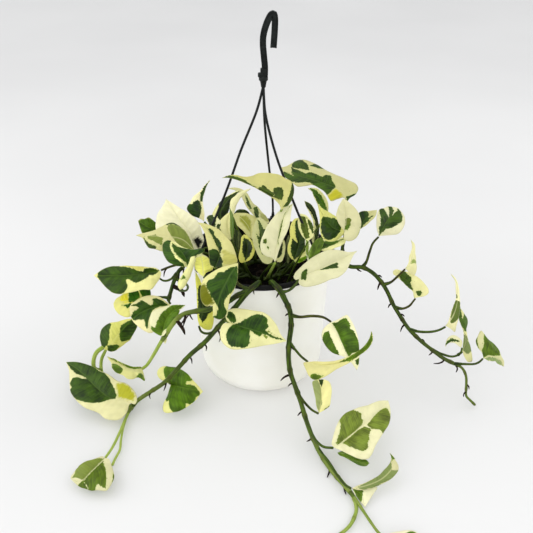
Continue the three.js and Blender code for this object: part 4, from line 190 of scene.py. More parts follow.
     [[-48.9,43.1,177.1],[-49,51.7,187.5],[-40.8,63.4,196.6],[-26,78.8,202.8]],
     [[-48.9,43.1,177.1],[-54.4,47.9,180.9],[-60,50.6,181.8],[-56.5,56.5,188.6],[-51.2,62.3,193.8],[-45.8,66.6,197.4],[-39.8,70.6,199.9],[-32.6,75.8,202.1],[-26,78.8,202.8]],
     [[-48.9,43.1,177.1],[-44.2,48.1,179.9],[-39.5,55.6,186.9],[-37.8,62,193.2],[-33.7,68.3,197.7],[-29.5,73.7,200.5],[-26,78.8,202.8]],
     [[[0.5,-1.05],[0.631,-0.97],[0.738,-0.82],[0.988,1.06],[0.788,1.07],[0.569,1.05],[0.35,1.08],[0.094,1.07],[0,-1.06],[0.125,-0.78],[0.356,-0.4]]],
     [],
     [],
     '#091704', '#dad896', '#8c9b50', '#c8c65c', 0),
    ('leaf_crown_10', 'leaf_cream',
     [[-33.6,25.4,194.2],[-33.3,33.2,202.1],[-27.1,43.1,209.7],[-13,55.4,215.6]],
     [[-33.6,25.4,194.2],[-35.7,30.6,198.1],[-37.3,37.3,202.7],[-36,43.1,206.4],[-31.3,46.6,209.9],[-23.1,52.6,213.7],[-13,55.4,215.6]],
     [[-33.6,25.4,194.2],[-31,31.6,198.3],[-28.8,37.6,203.8],[-24.1,44.4,209.1],[-18.3,50.4,213.4],[-13,55.4,215.6]],
     [],
     [],
     [],
     '#3e580a', '#dedaa4', '#8c9b50', '#c8c65c', 0),
    ('leaf_crown_11', 'leaf_cream',
     [[5.5,36.4,177.8],[-7.8,51.7,187.5],[-17.1,65.3,194.4],[-26.6,79.8,200.3],[-42,90.2,200]],
     [[5.5,36.4,177.8],[0.7,39.5,178.9],[-5.4,44,180.6],[-11.5,51,184.5],[-17.7,59.2,188.5],[-22.1,67.6,193.2],[-25.9,75.2,197.1],[-30.4,81.2,199.2],[-35.5,85.6,200.2],[-42,90.2,200]],
     [[5.5,36.4,177.8],[9.1,38.9,179.2],[5.5,45.8,183.8],[0.6,50.5,186.8],[-4.2,56.8,190.4],[-9.2,60.8,192.5],[-13.5,67.8,195.9],[-17.3,75.8,199.5],[-23,81.9,201.7],[-31.8,87.4,202.1],[-42,90.2,200]],
     [[[0.669,0.3],[0.575,0.4],[0.488,0.05],[0.388,-0.27],[0.4,-0.65],[0.513,-0.55]],[[0.394,0.07],[0.363,0.85],[0.275,0.5],[0.163,-0.6],[0.244,-0.82]]],
     [[[0.275,0.5],[0.163,1.04],[0.056,1.04],[0.119,-0.17]]],
     [],
     '#233404', '#bab781', '#939555', '#c8c65c', 0),
    ('leaf_crown_12', 'leaf_cream',
     [[-35.7,2.5,174.7],[-38.7,10.2,183.8],[-38.9,18.8,191],[-36.8,29.8,197.9]],
     [[-35.7,2.5,174.7],[-40.8,3.8,178.7],[-47.8,8.2,185.5],[-48.5,15.2,191.6],[-43.6,22.4,195.3],[-36.8,29.8,197.9]],
     [[-35.7,2.5,174.7],[-33.4,6.7,180.4],[-33.7,13.4,187.3],[-34.5,21.9,193.4],[-36.8,29.8,197.9]],
     [],
     [],
     [],
     '#3e580a', '#e4df9c', '#8c9b50', '#c8c65c', 0),
    ('leaf_crown_13', 'leaf_cream',
     [[-11.3,28.8,161.5],[-15.1,41.5,169.7],[-23.9,54.4,175.3],[-35.3,66.6,178]],
     [[-11.3,28.8,161.5],[-8.4,32.3,165.1],[-5.4,40.5,171.6],[-4.2,48.2,176.4],[-10.4,55.5,179.5],[-17.8,59.9,180.2],[-26.5,62.8,179.2],[-35.3,66.6,178]],
     [[-11.3,28.8,161.5],[-16.2,30.9,163.8],[-22.3,36.9,168.1],[-28.4,42.8,171.1],[-33.5,48.8,172.7],[-35.3,58.9,175.7],[-35.3,66.6,178]],
     [],
     [],
     [[[0.788,-0.2],[0.656,-0.65],[0.456,-0.47],[0.169,-0.02],[0.375,0.35],[0.613,0.4]]],
     '#3e580a', '#c9c680', '#8c9b50', '#999c37', 0),
    ('leaf_crown_14', 'leaf_cream',
     [[14.9,-81.7,195.2],[15.4,-77.2,207],[19,-69.8,219.5],[22.2,-60.2,230.8],[27.5,-50.7,238.9],[34,-42.7,243.7]],
     [[14.9,-81.7,195.2],[12.3,-81,199.6],[6.6,-81.8,201.8],[1.4,-81.6,205.9],[-0.4,-78.5,212.5],[0.4,-75.8,218.1],[3.5,-71.6,224],[6.6,-66.8,229.6],[11.8,-60.9,234.7],[18.1,-54.4,239.5],[26.5,-48,242.5],[34,-42.7,243.7]],
     [[14.9,-81.7,195.2],[17,-80.3,200.4],[18.5,-78.5,205.4],[20.6,-76,211.1],[23.2,-73,216.5],[27.3,-68.4,223.4],[29.9,-63.6,229.1],[31.3,-56.5,234.8],[32.3,-49.5,239.4],[34,-42.7,243.7]],
     [[[0.375,-0.9],[0.388,-0.72],[0.344,-0.62],[0.319,-0.72],[0.338,-0.85]],[[0.294,-0.57],[0.263,-0.45],[0.238,-0.52],[0.263,-0.6]],[[1,-1.04],[0.863,-0.12],[0.744,-0.05],[0.631,0.12],[0.513,0.1],[0.381,0.12],[0.275,0.53],[0.388,-0.02],[0.506,-0.05],[0.663,-0.05],[0.781,-0.12],[0.919,-0.3]]],
     [],
     [],
     '#3e500b', '#d4d1a8', '#8c9b50', '#c8c65c', 0),
    ('leaf_crown_15', 'leaf_cream',
     [[11.6,-46,173.3],[4.4,-35.7,183.2],[1.1,-24,191.9],[-1.8,-10.8,200.1],[-3.6,-0.5,205.5]],
     [[11.6,-46,173.3],[7.7,-48.5,172.6],[2.2,-48.2,174.6],[-2.2,-44,179.1],[-6.1,-37.6,184.3],[-8.9,-31,189.5],[-9.9,-22.5,194.9],[-8.5,-13,199.9],[-6.3,-5.3,203.5],[-3.6,-0.5,205.5]],
     [[11.6,-46,173.3],[16,-40,180.6],[16.6,-32.2,188.9],[13.9,-21.2,196.8],[7.8,-10.4,202.4],[1.6,-3.3,205.1],[-3.6,-0.5,205.5]],
     [[[0.969,-0.57],[0.856,0.33],[0.719,0.35],[0.644,0.58],[0.406,1.12],[0.131,1.09],[0.256,-0.57],[0.425,-0.5],[0.562,-0.52],[0.669,-0.57],[0.594,-0.27],[0.738,-0.17]]],
     [],
     [],
     '#2f3f13', '#b9b981', '#8c9b50', '#c8c65c', 0),
    # painted shade: this leaf's near-black green stands for the shade deep in the crown
    ('leaf_crown_16', 'leaf_yellow',
     [[-17.8,-40,170.3],[-15.7,-31.5,178.3],[-15.8,-22.3,184.6],[-19.4,-12.1,189.9]],
     [[-17.8,-40,170.3],[-22.2,-42,170.5],[-25,-38.6,174.7],[-23.6,-31.7,180.9],[-22.7,-23.8,185.4],[-22.1,-16.4,188.6],[-19.4,-12.1,189.9]],
     [[-17.8,-40,170.3],[-12.2,-39.9,172.9],[-8.6,-37.3,176.5],[-6.7,-31.9,181.1],[-8.5,-24.2,185.7],[-12.5,-18.4,188.5],[-16.1,-14,189.9],[-19.4,-12.1,189.9]],
     [[[0.688,-0.72],[0.863,-0.35],[0.8,0.5],[0.606,0.73],[0.431,0.68],[0.25,0.55],[0.05,0.18],[0.269,-0.38],[0.469,-0.72]]],
     [],
     [],
     '#040904', '#c5c15a', '#8c9b50', '#c8c65c', 0),
    ('leaf_crown_17', 'leaf_olive',
     [[21.1,-58.1,243.7],[21.1,-53.2,250.5],[14.9,-50.8,256.2],[1.4,-48.6,263.1],[-13,-44.1,268.9],[-26.6,-39.6,272.2],[-40.1,-38.5,270.9]],
     [[21.1,-58.1,243.7],[24.7,-55,245],[29.5,-51.3,246.1],[33,-44.8,249.9],[35.2,-36.3,253.9],[35,-30.1,258],[32,-26.7,262.2],[25.6,-25.5,265.1],[20.3,-24.5,268.1],[11.9,-26.2,270.6],[4.5,-27.9,272.1],[-2.8,-30.6,272.8],[-9,-35.3,272],[-17.3,-38.1,272.1],[-26.6,-36.7,273.5],[-33.9,-36.6,272.8],[-40.1,-38.5,270.9]],
     [[21.1,-58.1,243.7],[19.5,-55,247.9],[15.4,-53.4,252.3],[9.7,-52.1,256.5],[3.5,-50.9,259.9],[-3.7,-48.9,263.5],[-10.9,-46.6,266.4],[-18.2,-44.2,268.6],[-26.5,-41.1,270.6],[-33.8,-39.3,271.5],[-40.1,-38.5,270.9]],
     [[[0.238,0.48],[0.356,-0.2],[0.388,-0.38],[0.381,-0.5],[0.35,-0.6],[0.3,-0.55],[0.225,-0.38],[0.156,-0.05]],[[0.463,1.07],[0.494,-0.07],[0.519,-0.27],[0.469,-0.25],[0.406,-0.15],[0.344,-0.1],[0.238,0.48],[0.25,1.07],[0.356,0.98]],[[0.994,-1.09],[0.925,-1.05],[0.844,-0.47],[0.713,-0.05],[0.594,0.5],[0.475,0.68],[0.575,1.07],[0.681,1.07],[0.856,1.07]],[[0.363,-1.08],[0.3,-1.1],[0.244,-1.08],[0.15,-1.05],[0.069,-1.14],[0.056,-0.38],[0.119,-0.5],[0.194,-0.7],[0.294,-0.88]]],
     [],
     [],
     '#263604', '#c1bc76', '#8c9b50', '#c8c65c', 1),
    ('leaf_crown_18', 'leaf_cream',
     [[96.1,-0.4,224.9],[92.2,9.4,231.3],[81.2,15.4,236.6],[64.4,20,240.7],[46.5,26.7,243.5],[34.2,35.4,245.6],[22.9,44.9,247.1]],
     [[96.1,-0.4,224.9],[100,5.9,226.8],[106.2,11.8,227.7],[110.7,20.9,231],[108.6,26.9,234],[101.9,30.8,236.4],[93.9,32.5,239.4],[83.7,36.5,242.7],[74.7,41.1,245.6],[65.8,47.9,248.6],[56.8,53.9,250.8],[48.8,57.3,251.6],[41.7,56.4,251.2],[35.8,51.9,249.8],[29.8,46.8,248.2],[22.9,44.9,247.1]],
     [[96.1,-0.4,224.9],[93,4.3,228.2],[86.2,2.4,227.2],[77.9,-2.5,227.1],[74.8,1.8,230],[71.1,6.7,233.5],[66.2,10.4,235.8],[58.5,15.3,238.5],[50.6,14,237.8],[41.6,13.6,237.2],[36.1,18.7,238.8],[30.5,25.3,240.7],[26.1,31.4,242.4],[23.6,39.4,245.1],[22.9,44.9,247.1]],
     [[[0.281,-1.11],[0.238,-1.25],[0.175,-1.25],[0.119,-1.22],[0.175,-1.05],[0.238,-1.06]],[[0.1,-0.1],[0.125,-0.7],[0.156,-1.04],[0.1,-1.25],[0.006,-1.08]],[[0.694,-0.68],[0.656,-0.97],[0.594,-1.11],[0.544,-1.08],[0.6,-0.75]],[[0.881,-0.72],[0.863,-0.97],[0.812,-1.09],[0.756,-0.85],[0.7,-0.65],[0.656,-0.4],[0.719,-0.35],[0.763,-0.35],[0.806,-0.3],[0.856,-0.38],[0.856,0],[0.794,0.35]],[[0.925,0.68],[0.863,0.4],[0.781,0.33],[0.844,-0.02],[0.875,-0.38],[0.794,-0.25],[0.688,-0.17],[0.65,-0.35],[0.581,-0.35],[0.513,-0.35],[0.506,-0.57],[0.456,-0.68],[0.394,-0.32],[0.294,-0.05],[0.288,0.18],[0.288,0.65],[0.3,0.98],[0.369,1.07],[0.438,1.11],[0.562,0.48],[0.675,0.73],[0.756,1.06],[0.844,1.13]]],
     [],
     [[[0.281,0.83],[0.281,0.07],[0.131,0.12],[0.131,0.98],[0.225,1.09],[0.275,1.06]]],
     '#223a04', '#b9b57d', '#8c9b50', '#b7b227', 0),
    ('leaf_crown_19', 'leaf_cream',
     [[79,35.5,194.3],[72,43.7,203.5],[65.2,52.4,209.9],[55.9,60.5,213.7]],
     [[79,35.5,194.3],[74.7,35.7,196.9],[68.2,37.6,201.2],[64.2,43.2,205.7],[61.5,50.4,209.5],[60,56.9,212.3],[55.9,60.5,213.7]],
     [[79,35.5,194.3],[79.6,39.1,199.2],[78,44.9,205.5],[72.3,52.7,211.7],[65.3,58.3,215],[55.9,60.5,213.7]],
     [[[0.944,1.12],[0.763,0.62],[0.506,0.55],[0.306,0.38],[0,-1.04],[0.188,-1.07],[0.456,-0.93],[0.731,-0.9]]],
     [],
     [],
     '#385c04', '#dad896', '#8c9b50', '#c8c65c', 0),
    ('leaf_crown_20', 'leaf_yellow',
     [[95.4,-14,195.4],[83,-12.8,197.3],[73.5,-1.5,202.8],[65.1,22.4,211.2]],
     [[95.4,-14,195.4],[92.8,-10.1,199.1],[87.9,-4.5,205],[81.5,2.3,207.9],[75.1,8.8,209],[69.8,14.8,209.8],[65.1,22.4,211.2]],
     [[95.4,-14,195.4],[90.4,-21.3,193],[84.4,-27.3,191.2],[77.5,-31.4,189.7],[71,-27.8,190.8],[67.2,-22.4,193.6],[66,-12.1,198.2],[66.6,1.3,203.9],[66,11.4,207.7],[65.1,22.4,211.2]],
     [[[0.681,0.38],[0.65,-0.02],[0.55,-0.38],[0.469,-0.5],[0.419,-0.78],[0.269,-0.82],[0.169,-0.55],[0.15,0.35],[0.238,0.75],[0.325,0.88],[0.4,0.95],[0.488,0.9],[0.594,0.83]]],
     [],
     [],
     '#1c3504', '#d9d77d', '#8c9b50', '#c8c65c', 0),
    ('leaf_crown_21', 'leaf_cream',
     [[94,-29.3,193.2],[81.3,-37,191.6],[62.7,-39.6,186.7]],
     [[94,-29.3,193.2],[89.6,-28.1,195.1],[81.5,-33.7,193.5],[73.8,-34.3,193.2],[67.3,-30.8,194.4],[63.7,-34,191.2],[62.7,-39.6,186.7]],
     [[94,-29.3,193.2],[92.4,-35.8,192.2],[84.2,-42.4,190.8],[75.2,-45.8,189],[68.8,-45.4,187.6],[62.7,-39.6,186.7]],
     [[[0.081,-0.4],[0.438,-0.02],[0.7,0.3],[0.894,0.9],[0.975,-1.05],[0.769,-0.97],[0.675,-0.65],[0.381,-0.93]]],
     [],
     [],
     '#2e4907', '#dad896', '#8c9b50', '#c8c65c', 0),
    ('leaf_crown_22', 'leaf_yellow',
     [[36.7,-36,170.6],[41.3,-26.9,180.8],[43.8,-13.5,191.3],[42.6,5.4,201.8]],
     [[36.7,-36,170.6],[33.4,-35.8,172.4],[29.7,-32.9,178.4],[29.8,-28.3,184.1],[32.4,-20.9,190.2],[32.2,-12.5,195.8],[34.4,-3.4,200],[38.6,3.6,202.1],[42.6,5.4,201.8]],
     [[36.7,-36,170.6],[42.3,-34.8,173.8],[49,-30.9,179.2],[52,-21.9,186.9],[51,-11.3,194],[47.6,-0.5,199.7],[42.6,5.4,201.8]],
     [[[0.85,-0.65],[1,-1.1],[0.869,1.05],[0.669,0.95],[0.481,1.06],[0.269,1.08],[0.081,1.05],[0.006,1.11],[0.119,-0.62],[0.238,-0.68],[0.375,-0.78],[0.481,-0.75],[0.394,-0.17],[0.588,-0.47]]],
     [],
     [],
     '#092004', '#dad773', '#8c9b50', '#c8c65c', 0),
    ('leaf_crown_23', 'leaf_cream',
     [[60.4,11.9,160.1],[66,24,172.3],[64.1,40.8,186.4],[52,58.3,198]],
     [[60.4,11.9,160.1],[59.8,18.8,165.7],[62,28.7,175.2],[61.1,38.6,183.4],[56.6,47.2,189.8],[53.1,53.8,194.6],[52,58.3,198]],
     [[60.4,11.9,160.1],[65.3,17.3,163.8],[68.9,25.5,171.5],[68.5,35.3,179.8],[64.5,48.5,189.8],[58.7,56.5,195.3],[52,58.3,198]],
     [[[1,-1.09],[0.9,1.06],[0.713,1.08],[0.475,1.1],[0.256,1.09],[0.019,1.17],[0.206,-0.35],[0.369,-0.32],[0.55,-0.4],[0.719,-0.62],[0.881,-0.97]]],
     [],
     [],
     '#081304', '#dad896', '#8c9b50', '#c8c65c', 0),
    ('leaf_crown_24', 'leaf_cream',
     [[51.9,-47.2,174.6],[52.4,-38.7,182.4],[52.7,-29.6,188.7],[50.2,-18.7,194.8]],
     [[51.9,-47.2,174.6],[49.8,-43.1,179.8],[49,-36,186],[48.8,-27.3,191.2],[50.2,-18.7,194.8]],
     [[51.9,-47.2,174.6],[56.1,-43.4,179.4],[59.6,-37.1,185.3],[56.8,-30.4,189.1],[53.4,-23.4,192.9],[50.2,-18.7,194.8]],
     [],
     [[[0.975,-1.06],[0.756,0.4],[0.431,0.07],[0.131,-0.9],[0.388,-1.07]]],
     [],
     '#3e580a', '#f7f7d9', '#7c9436', '#c8c65c', 0),
    ('leaf_crown_25', 'leaf_cream',
     [[92.1,-31.5,203.5],[93.6,-25.4,212.7],[93.1,-16.5,221.7],[91.1,-2.9,230.4]],
     [[92.1,-31.5,203.5],[88,-31.1,208.9],[84,-30,214.5],[82.1,-27,219.7],[83.2,-20.9,223.9],[85.9,-13.7,227.1],[88.5,-8.4,228.8],[91.1,-2.9,230.4]],
     [[92.1,-31.5,203.5],[90.4,-38.5,199.9],[93.8,-40.9,197.5],[99.4,-39.6,197.2],[105.1,-35.4,199.5],[108.6,-30.4,205.4],[110.1,-24.7,212.3],[108.4,-19.4,218.2],[104.8,-14.2,223.1],[99.5,-9.4,226.8],[95.1,-5.4,229.2],[91.1,-2.9,230.4]],
     [[[0.2,-0.15],[0.325,0.18],[0.375,0.35],[0.294,0.33],[0.206,0.28],[0.106,-0.3]],[[0.525,1.06],[0.425,1.16],[0.312,1.11],[0.275,1.12],[0.375,0.98]]],
     [[[0.4,-0.12],[0.494,0.2],[0.475,0.33],[0.356,0.35],[0.213,0.25],[0.138,-0.15]]],
     [],
     '#3e580a', '#ccc89a', '#5d6b1f', '#c8c65c', 0),
    ('leaf_crown_26', 'leaf_cream',
     [[111.3,-12,196.9],[116.6,-4.8,204.6],[123.3,1.8,208.8],[132,8.2,210.6]],
     [[111.3,-12,196.9],[109.8,-8.2,203.7],[110,-1.7,211.8],[115.1,1.4,212.8],[121,3.3,211.8],[127.1,6,211.3],[132,8.2,210.6]],
     [[111.3,-12,196.9],[117.5,-9.9,199.8],[123.9,-5.6,203.7],[128.9,-0.6,206.2],[131.2,4.5,208.6],[132,8.2,210.6]],
     [[[0.431,-1.08],[0.6,-1.06],[0.706,-0.82],[0.644,0.03],[0.525,0.25],[0.688,0.62],[0.319,0.58],[0.031,1.06],[0.188,-1.05]]],
     [],
     [],
     '#0c2a04', '#bdb981', '#8c9b50', '#c8c65c', 0),
    ('leaf_right_01', 'leaf_cream',
     [[133.8,-10,186.8],[140.3,0.3,194.2],[147.8,12.1,199.7],[154.9,27.2,205]],
     [[133.8,-10,186.8],[131.5,-5.9,193],[131.3,2.1,201],[133.6,10.7,206.8],[136.7,15.6,208.2],[141.8,19.3,207.6],[147.2,23.9,207.4],[154.9,27.2,205]],
     [[133.8,-10,186.8],[140.6,-9.3,187.1],[148.7,-8.3,187.2],[155.8,-6.5,187.9],[160.9,-1.5,190],[165.5,7.7,194.2],[165.5,17,198.5],[162.7,23.4,201.8],[158.9,26.6,204],[154.9,27.2,205]],
     [[[0.575,-1.04],[0.656,-1.12],[0.706,-0.9],[0.631,-0.3],[0.625,0],[0.8,-0.65],[0.856,-1.11],[0.944,-1.12],[0.863,0.2],[0.7,0.12],[0.831,0.4],[0.925,0.98],[0.812,0.88],[0.694,0.83],[0.575,0.78],[0.469,0.58],[0.356,0.45],[0.294,0.23],[0.138,0.2],[0,-1.04],[0.219,-0.62],[0.269,-0.42],[0.438,-0.65]]],
     [],
     [],
     '#203704', '#d5d1ab', '#8c9b50', '#c8c65c', 0),
    ('leaf_right_02', 'leaf_cream',
     [[41,-72,167.8],[48.5,-69.8,171.9],[61.3,-67.1,176.5],[74.4,-62.2,180.4],[87.8,-55.5,183.3],[105.2,-43.2,186.3]],
     [[41,-72,167.8],[37.7,-73.2,167.7],[35.2,-70.9,169.4],[36.8,-66.4,172.3],[41.1,-63.7,176.1],[46.5,-60.3,179.9],[53,-56.8,184.1],[60.7,-53.3,187.7],[69.5,-49.8,190.1],[78.3,-47.5,190.6],[87.1,-47,189.1],[96,-46.7,187],[105.2,-43.2,186.3]],
     [[41,-72,167.8],[40.3,-76.1,166.3],[42.8,-80.4,165.1],[49,-83.8,165.6],[57.3,-85.3,168.4],[66.8,-83.9,171.3],[74.3,-81.5,173.5],[82.8,-79.3,175.2],[89.7,-73,177.6],[94.5,-65,180.2],[97.3,-57.3,182.6],[100.8,-49.4,184.8],[105.2,-43.2,186.3]],
     [[[0.069,0.38],[0.131,-0.38],[0.206,-0.57],[0.256,-0.57],[0.25,-0.4],[0.169,0.05],[0.163,0.35],[0.156,0.53],[0.106,0.38]],[[0.363,0.07],[0.475,0.05],[0.581,0.05],[0.638,0.12],[0.631,0.28],[0.6,0.38],[0.613,0.55],[0.525,0.35],[0.425,0.2]]],
     [],
     [],
     '#233b04', '#cfcca3', '#8c9b50', '#c8c65c', 0),
    ('leaf_front_01', 'leaf_cream',
     [[-31.1,-110.6,137.3],[-16.3,-117.8,136.8],[-0.7,-122.5,135.1],[14.9,-126.3,130.8],[27.3,-126.8,126.7]],
     [[-31.1,-110.6,137.3],[-35,-108.9,139.4],[-36.9,-105.8,142.3],[-35.5,-100.9,146.6],[-30.3,-99,148.2],[-19.7,-100.8,149.6],[-9.1,-104.6,150],[1.4,-107,149.5],[7.6,-109.6,147.5],[12.8,-113.5,143.9],[17,-117.7,139.3],[20.1,-122.4,133.7],[23.7,-125.4,129.5],[27.3,-126.8,126.7]],
     [[-31.1,-110.6,137.3],[-33.8,-110.5,137.9],[-38.4,-111.5,138.2],[-41.4,-116,136.1],[-42.2,-122.7,132.7],[-40.3,-129.9,129.1],[-35.5,-135.5,126.9],[-29.1,-139.8,126.4],[-20.9,-140.8,126.8],[-10.8,-139.9,127.7],[1.5,-137,128.1],[11.7,-133.9,127.7],[20,-130.5,127.2],[27.3,-126.8,126.7]],
     [[[0.088,0.12],[0.244,-0.22],[0.363,-0.47],[0.45,-0.68],[0.519,-0.85],[0.588,-0.85],[0.656,-0.82],[0.65,-0.57],[0.681,-0.42],[0.638,-0.17],[0.694,-0.1],[0.806,-0.07],[0.988,-0.6],[0.825,0.2],[0.675,0.05],[0.613,0.07],[0.613,0.3],[0.525,0.18],[0.419,0.07],[0.506,0.38],[0.575,0.78],[0.55,0.98],[0.469,0.88],[0.413,0.93],[0.338,0.88],[0.256,0.75],[0.175,0.53]],[[0.169,-0.95],[0.213,-0.82],[0.225,-0.65],[0.2,-0.3],[0.113,-0.15],[0.094,-0.52],[0.113,-0.85]]],
     [[[0.625,-0.12],[0.713,-0.27],[0.756,-0.17]],[[0.613,0.07],[0.731,0.12],[0.725,0.43]]],
     [],
     '#1c3c04', '#dad69b', '#73812b', '#c8c65c', 0),
    ('leaf_front_02', 'leaf_cream',
     [[-23.5,-84,195.3],[-32.4,-99.4,187.8],[-40.2,-111.8,176.4],[-44.3,-119.1,164.1],[-48.9,-122.2,153.8]],
     [[-23.5,-84,195.3],[-31.7,-86.9,194.7],[-41.9,-90.2,193.1],[-51.1,-94.2,189.4],[-58.2,-98,185.1],[-61.2,-103.2,179.3],[-61.8,-109,172],[-59.5,-113.1,165],[-54.8,-116.1,162.7],[-49.5,-116.7,165.6],[-48.5,-119.8,159.7],[-48.9,-122.2,153.8]],
     [[-23.5,-84,195.3],[-23.4,-91.7,190.3],[-23.9,-99.6,184.3],[-27.1,-108,177.5],[-31.2,-113.4,171.3],[-32.9,-118,163.4],[-35.3,-121.6,155.9],[-41.5,-122.9,151.2],[-48.9,-122.2,153.8]],
     [[[0.069,0.33],[0.181,1.1],[0.319,1.08],[0.456,0.93],[0.55,0.73],[0.625,0.53],[0.725,0.55],[0.719,0.93],[0.794,1.14],[0.906,1.12],[1,-1.1],[0.9,0.38],[0.831,0.12],[0.769,-0.17],[0.681,-0.38],[0.6,-0.55],[0.531,-0.72],[0.481,-0.78],[0.444,-0.75],[0.419,-0.57],[0.363,-0.62],[0.294,-0.68],[0.288,-0.4],[0.194,-0.45]]],
     [],
     [[[0.525,-1.09],[0.5,-0.85],[0.556,-0.65],[0.7,-0.3],[0.756,-0.32],[0.794,-1.09],[0.731,-1.05],[0.625,-1.08]]],
     '#1a3904', '#d4d08b', '#8c9b50', '#6b6f04', 0),
    ('leaf_front_03', 'leaf_yellow',
     [[-68,-83.4,115.7],[-64.3,-74.5,126.9],[-66.4,-61.9,139.6],[-70.2,-50,149.1],[-73.7,-38,156.8]],
     [[-68,-83.4,115.7],[-69.8,-77.8,121.1],[-70.7,-68,131.7],[-71.8,-55.7,143.5],[-73.3,-45.5,151.5],[-73.7,-38,156.8]],
     [[-68,-83.4,115.7],[-61.7,-83.8,110.1],[-55.3,-81.3,108.3],[-52.6,-76.1,114.5],[-52.7,-70.3,122.6],[-56.6,-65.5,130],[-61.1,-59.6,138.1],[-65.3,-51.3,145.9],[-69.5,-44.1,151.9],[-73.7,-38,156.8]],
     [[[0.244,-0.75],[0.519,-0.72],[0.694,-0.4],[0.775,0.43],[0.688,1.11],[0.537,1.08],[0.438,1.06],[0.319,0.48],[0.2,0.33],[0.113,0.3],[0.15,-0.3]]],
     [],
     [],
     '#091604', '#dbda5a', '#8c9b50', '#c8c65c', 0),
    ('leaf_right_03', 'leaf_cream',
     [[78.6,-66.8,107.8],[85.6,-80,102.3],[91.5,-93.1,94.2],[96.5,-102.3,86.2],[105.1,-111,75.1]],
     [[78.6,-66.8,107.8],[73.8,-71,106.8],[69,-77.2,105.1],[66.9,-84.4,102.8],[68.1,-92.5,100],[72.2,-99,96],[78.7,-102.8,92.1],[86.4,-103.4,89.2],[94.2,-104.3,85.7],[100.2,-107.6,80.7],[105.1,-111,75.1]],
     [[78.6,-66.8,107.8],[85.1,-67,110.7],[91.8,-65.7,114.6],[96.1,-65.6,116.6],[100.1,-72,114.3],[104,-80.3,109.4],[106.7,-89.9,102.8],[107.7,-97.9,95.2],[107.6,-104.4,86.5],[106.7,-108.9,79],[105.1,-111,75.1]],
     [[[0.044,0.1],[0.156,0.48],[0.206,0.68],[0.244,0.83],[0.3,0.83],[0.375,0.85],[0.406,0.7],[0.469,0.88],[0.569,0.95],[0.694,1.08],[0.756,1.07],[0.731,0.43],[0.756,0],[0.625,-0.07],[0.456,-0.05],[0.25,0]],[[0.244,-0.85],[0.238,-0.57],[0.356,-0.5],[0.494,-0.57],[0.613,-0.68],[0.694,-1.09],[0.594,-1.08],[0.475,-1.08],[0.369,-1.08]],[[0.844,0.45],[0.831,1.07],[0.919,1.07],[0.938,0.58]]],
     [],
     [],
     '#3e5b0b', '#f4efc3', '#8c9b50', '#c8c65c', 0),
    ('leaf_right_04', 'leaf_cream',
     [[51.2,-116.6,90.8],[63.3,-121.5,90.6],[78.2,-121.1,91.7],[93.6,-116.4,93.4],[107.3,-107.4,95.8],[117.8,-95.9,98.5],[123.1,-77.3,103.1]],
     [[51.2,-116.6,90.8],[57.1,-117.3,92.3],[69.8,-119.2,93.5],[80.5,-118.3,94.2],[91.5,-114.8,95.5],[102.8,-108,97.2],[112.4,-99.2,99],[119,-88.8,100.6],[123.1,-77.3,103.1]],
     [[51.2,-116.6,90.8],[45.7,-120,92.6],[47.9,-130.8,91.5],[50.5,-141.2,92],[55.3,-147.1,92.3],[61.6,-145.9,91.9],[70.4,-139.7,92.1],[79.5,-131.5,92.3],[89.5,-125.2,93.3],[97.5,-119.5,94.2],[106.9,-111.2,95.7],[115.8,-103.7,97.9],[122,-94.2,100.6],[123.7,-85.6,102.3],[123.1,-77.3,103.1]],
     [[[0.394,-0.22],[0.481,-0.62],[0.594,-1.05],[0.744,-1.07],[0.881,-1.06],[1,-1.1],[0.9,1.1],[0.819,1.16],[0.706,1.09],[0.594,0.88],[0.481,0.3]],[[0.206,0.88],[0.238,0.7],[0.288,0.83],[0.325,0.85],[0.288,1.07],[0.238,1.08]]],
     [],
     [],
     '#4d6507', '#d7d08c', '#8c9b50', '#c8c65c', 0),
    ('leaf_right_05', 'leaf_cream',
     [[64.2,-128,28],[66.7,-118.3,38.4],[67.1,-107,45.9],[63.7,-97.3,50.1]],
     [[64.2,-128,28],[61.5,-124.3,33.5],[60,-115.8,42],[58.1,-106.7,47.1],[57.9,-100.1,49.5],[63.7,-97.3,50.1]],
     [[64.2,-128,28],[70.8,-126.9,31.9],[75.8,-124.9,35.5],[77.7,-118.3,41.3],[78.8,-109.8,47],[76.7,-102.9,51.1],[70.8,-99,51.5],[63.7,-97.3,50.1]],
     [[[0.988,1.07],[0.894,1.11],[0.812,0.5],[0.756,0.07]],[[0.125,0.9],[0.275,1.05],[0.219,1.09],[0.125,1.09]]],
     [[[0.85,-1.19],[0.981,0.28],[0.769,0.03],[0.513,0.07],[0.319,0.15],[0,-1.04],[0.194,-1.1],[0.475,-1.08],[0.719,-1.08]]],
     [],
     '#142404', '#ede69f', '#8f995d', '#c8c65c', 0),
    ('leaf_right_06', 'leaf_cream',
     [[77.4,-173.9,22],[86,-170.4,25.1],[97.1,-162.3,29.4],[108.6,-153.2,32.9],[120.4,-143.1,35.5],[131.6,-131.9,37.5],[140.9,-120,39.1]],
     [[77.4,-173.9,22],[75.1,-171,23.5],[76.8,-164.2,27.6],[80.5,-155.4,33.5],[85.2,-147.5,37.6],[92.2,-140.8,40.4],[99,-137.5,41.2],[107,-133.7,41.8],[116.1,-130.3,41.4],[124.4,-125.8,41.4],[132.8,-121.7,40.6],[140.9,-120,39.1]],
     [[77.4,-173.9,22],[83.3,-178.1,22.7],[93,-185.8,23.4],[102.6,-191.9,24],[110.6,-193.3,25.5],[115.3,-188.2,27.3],[119.3,-180.2,29.2],[124.4,-172.1,31.1],[130.9,-162.2,32.9],[136.2,-154.7,34.3],[140.3,-144.1,35.8],[141.7,-131.9,37.6],[141.5,-125,38.5],[140.9,-120,39.1]],
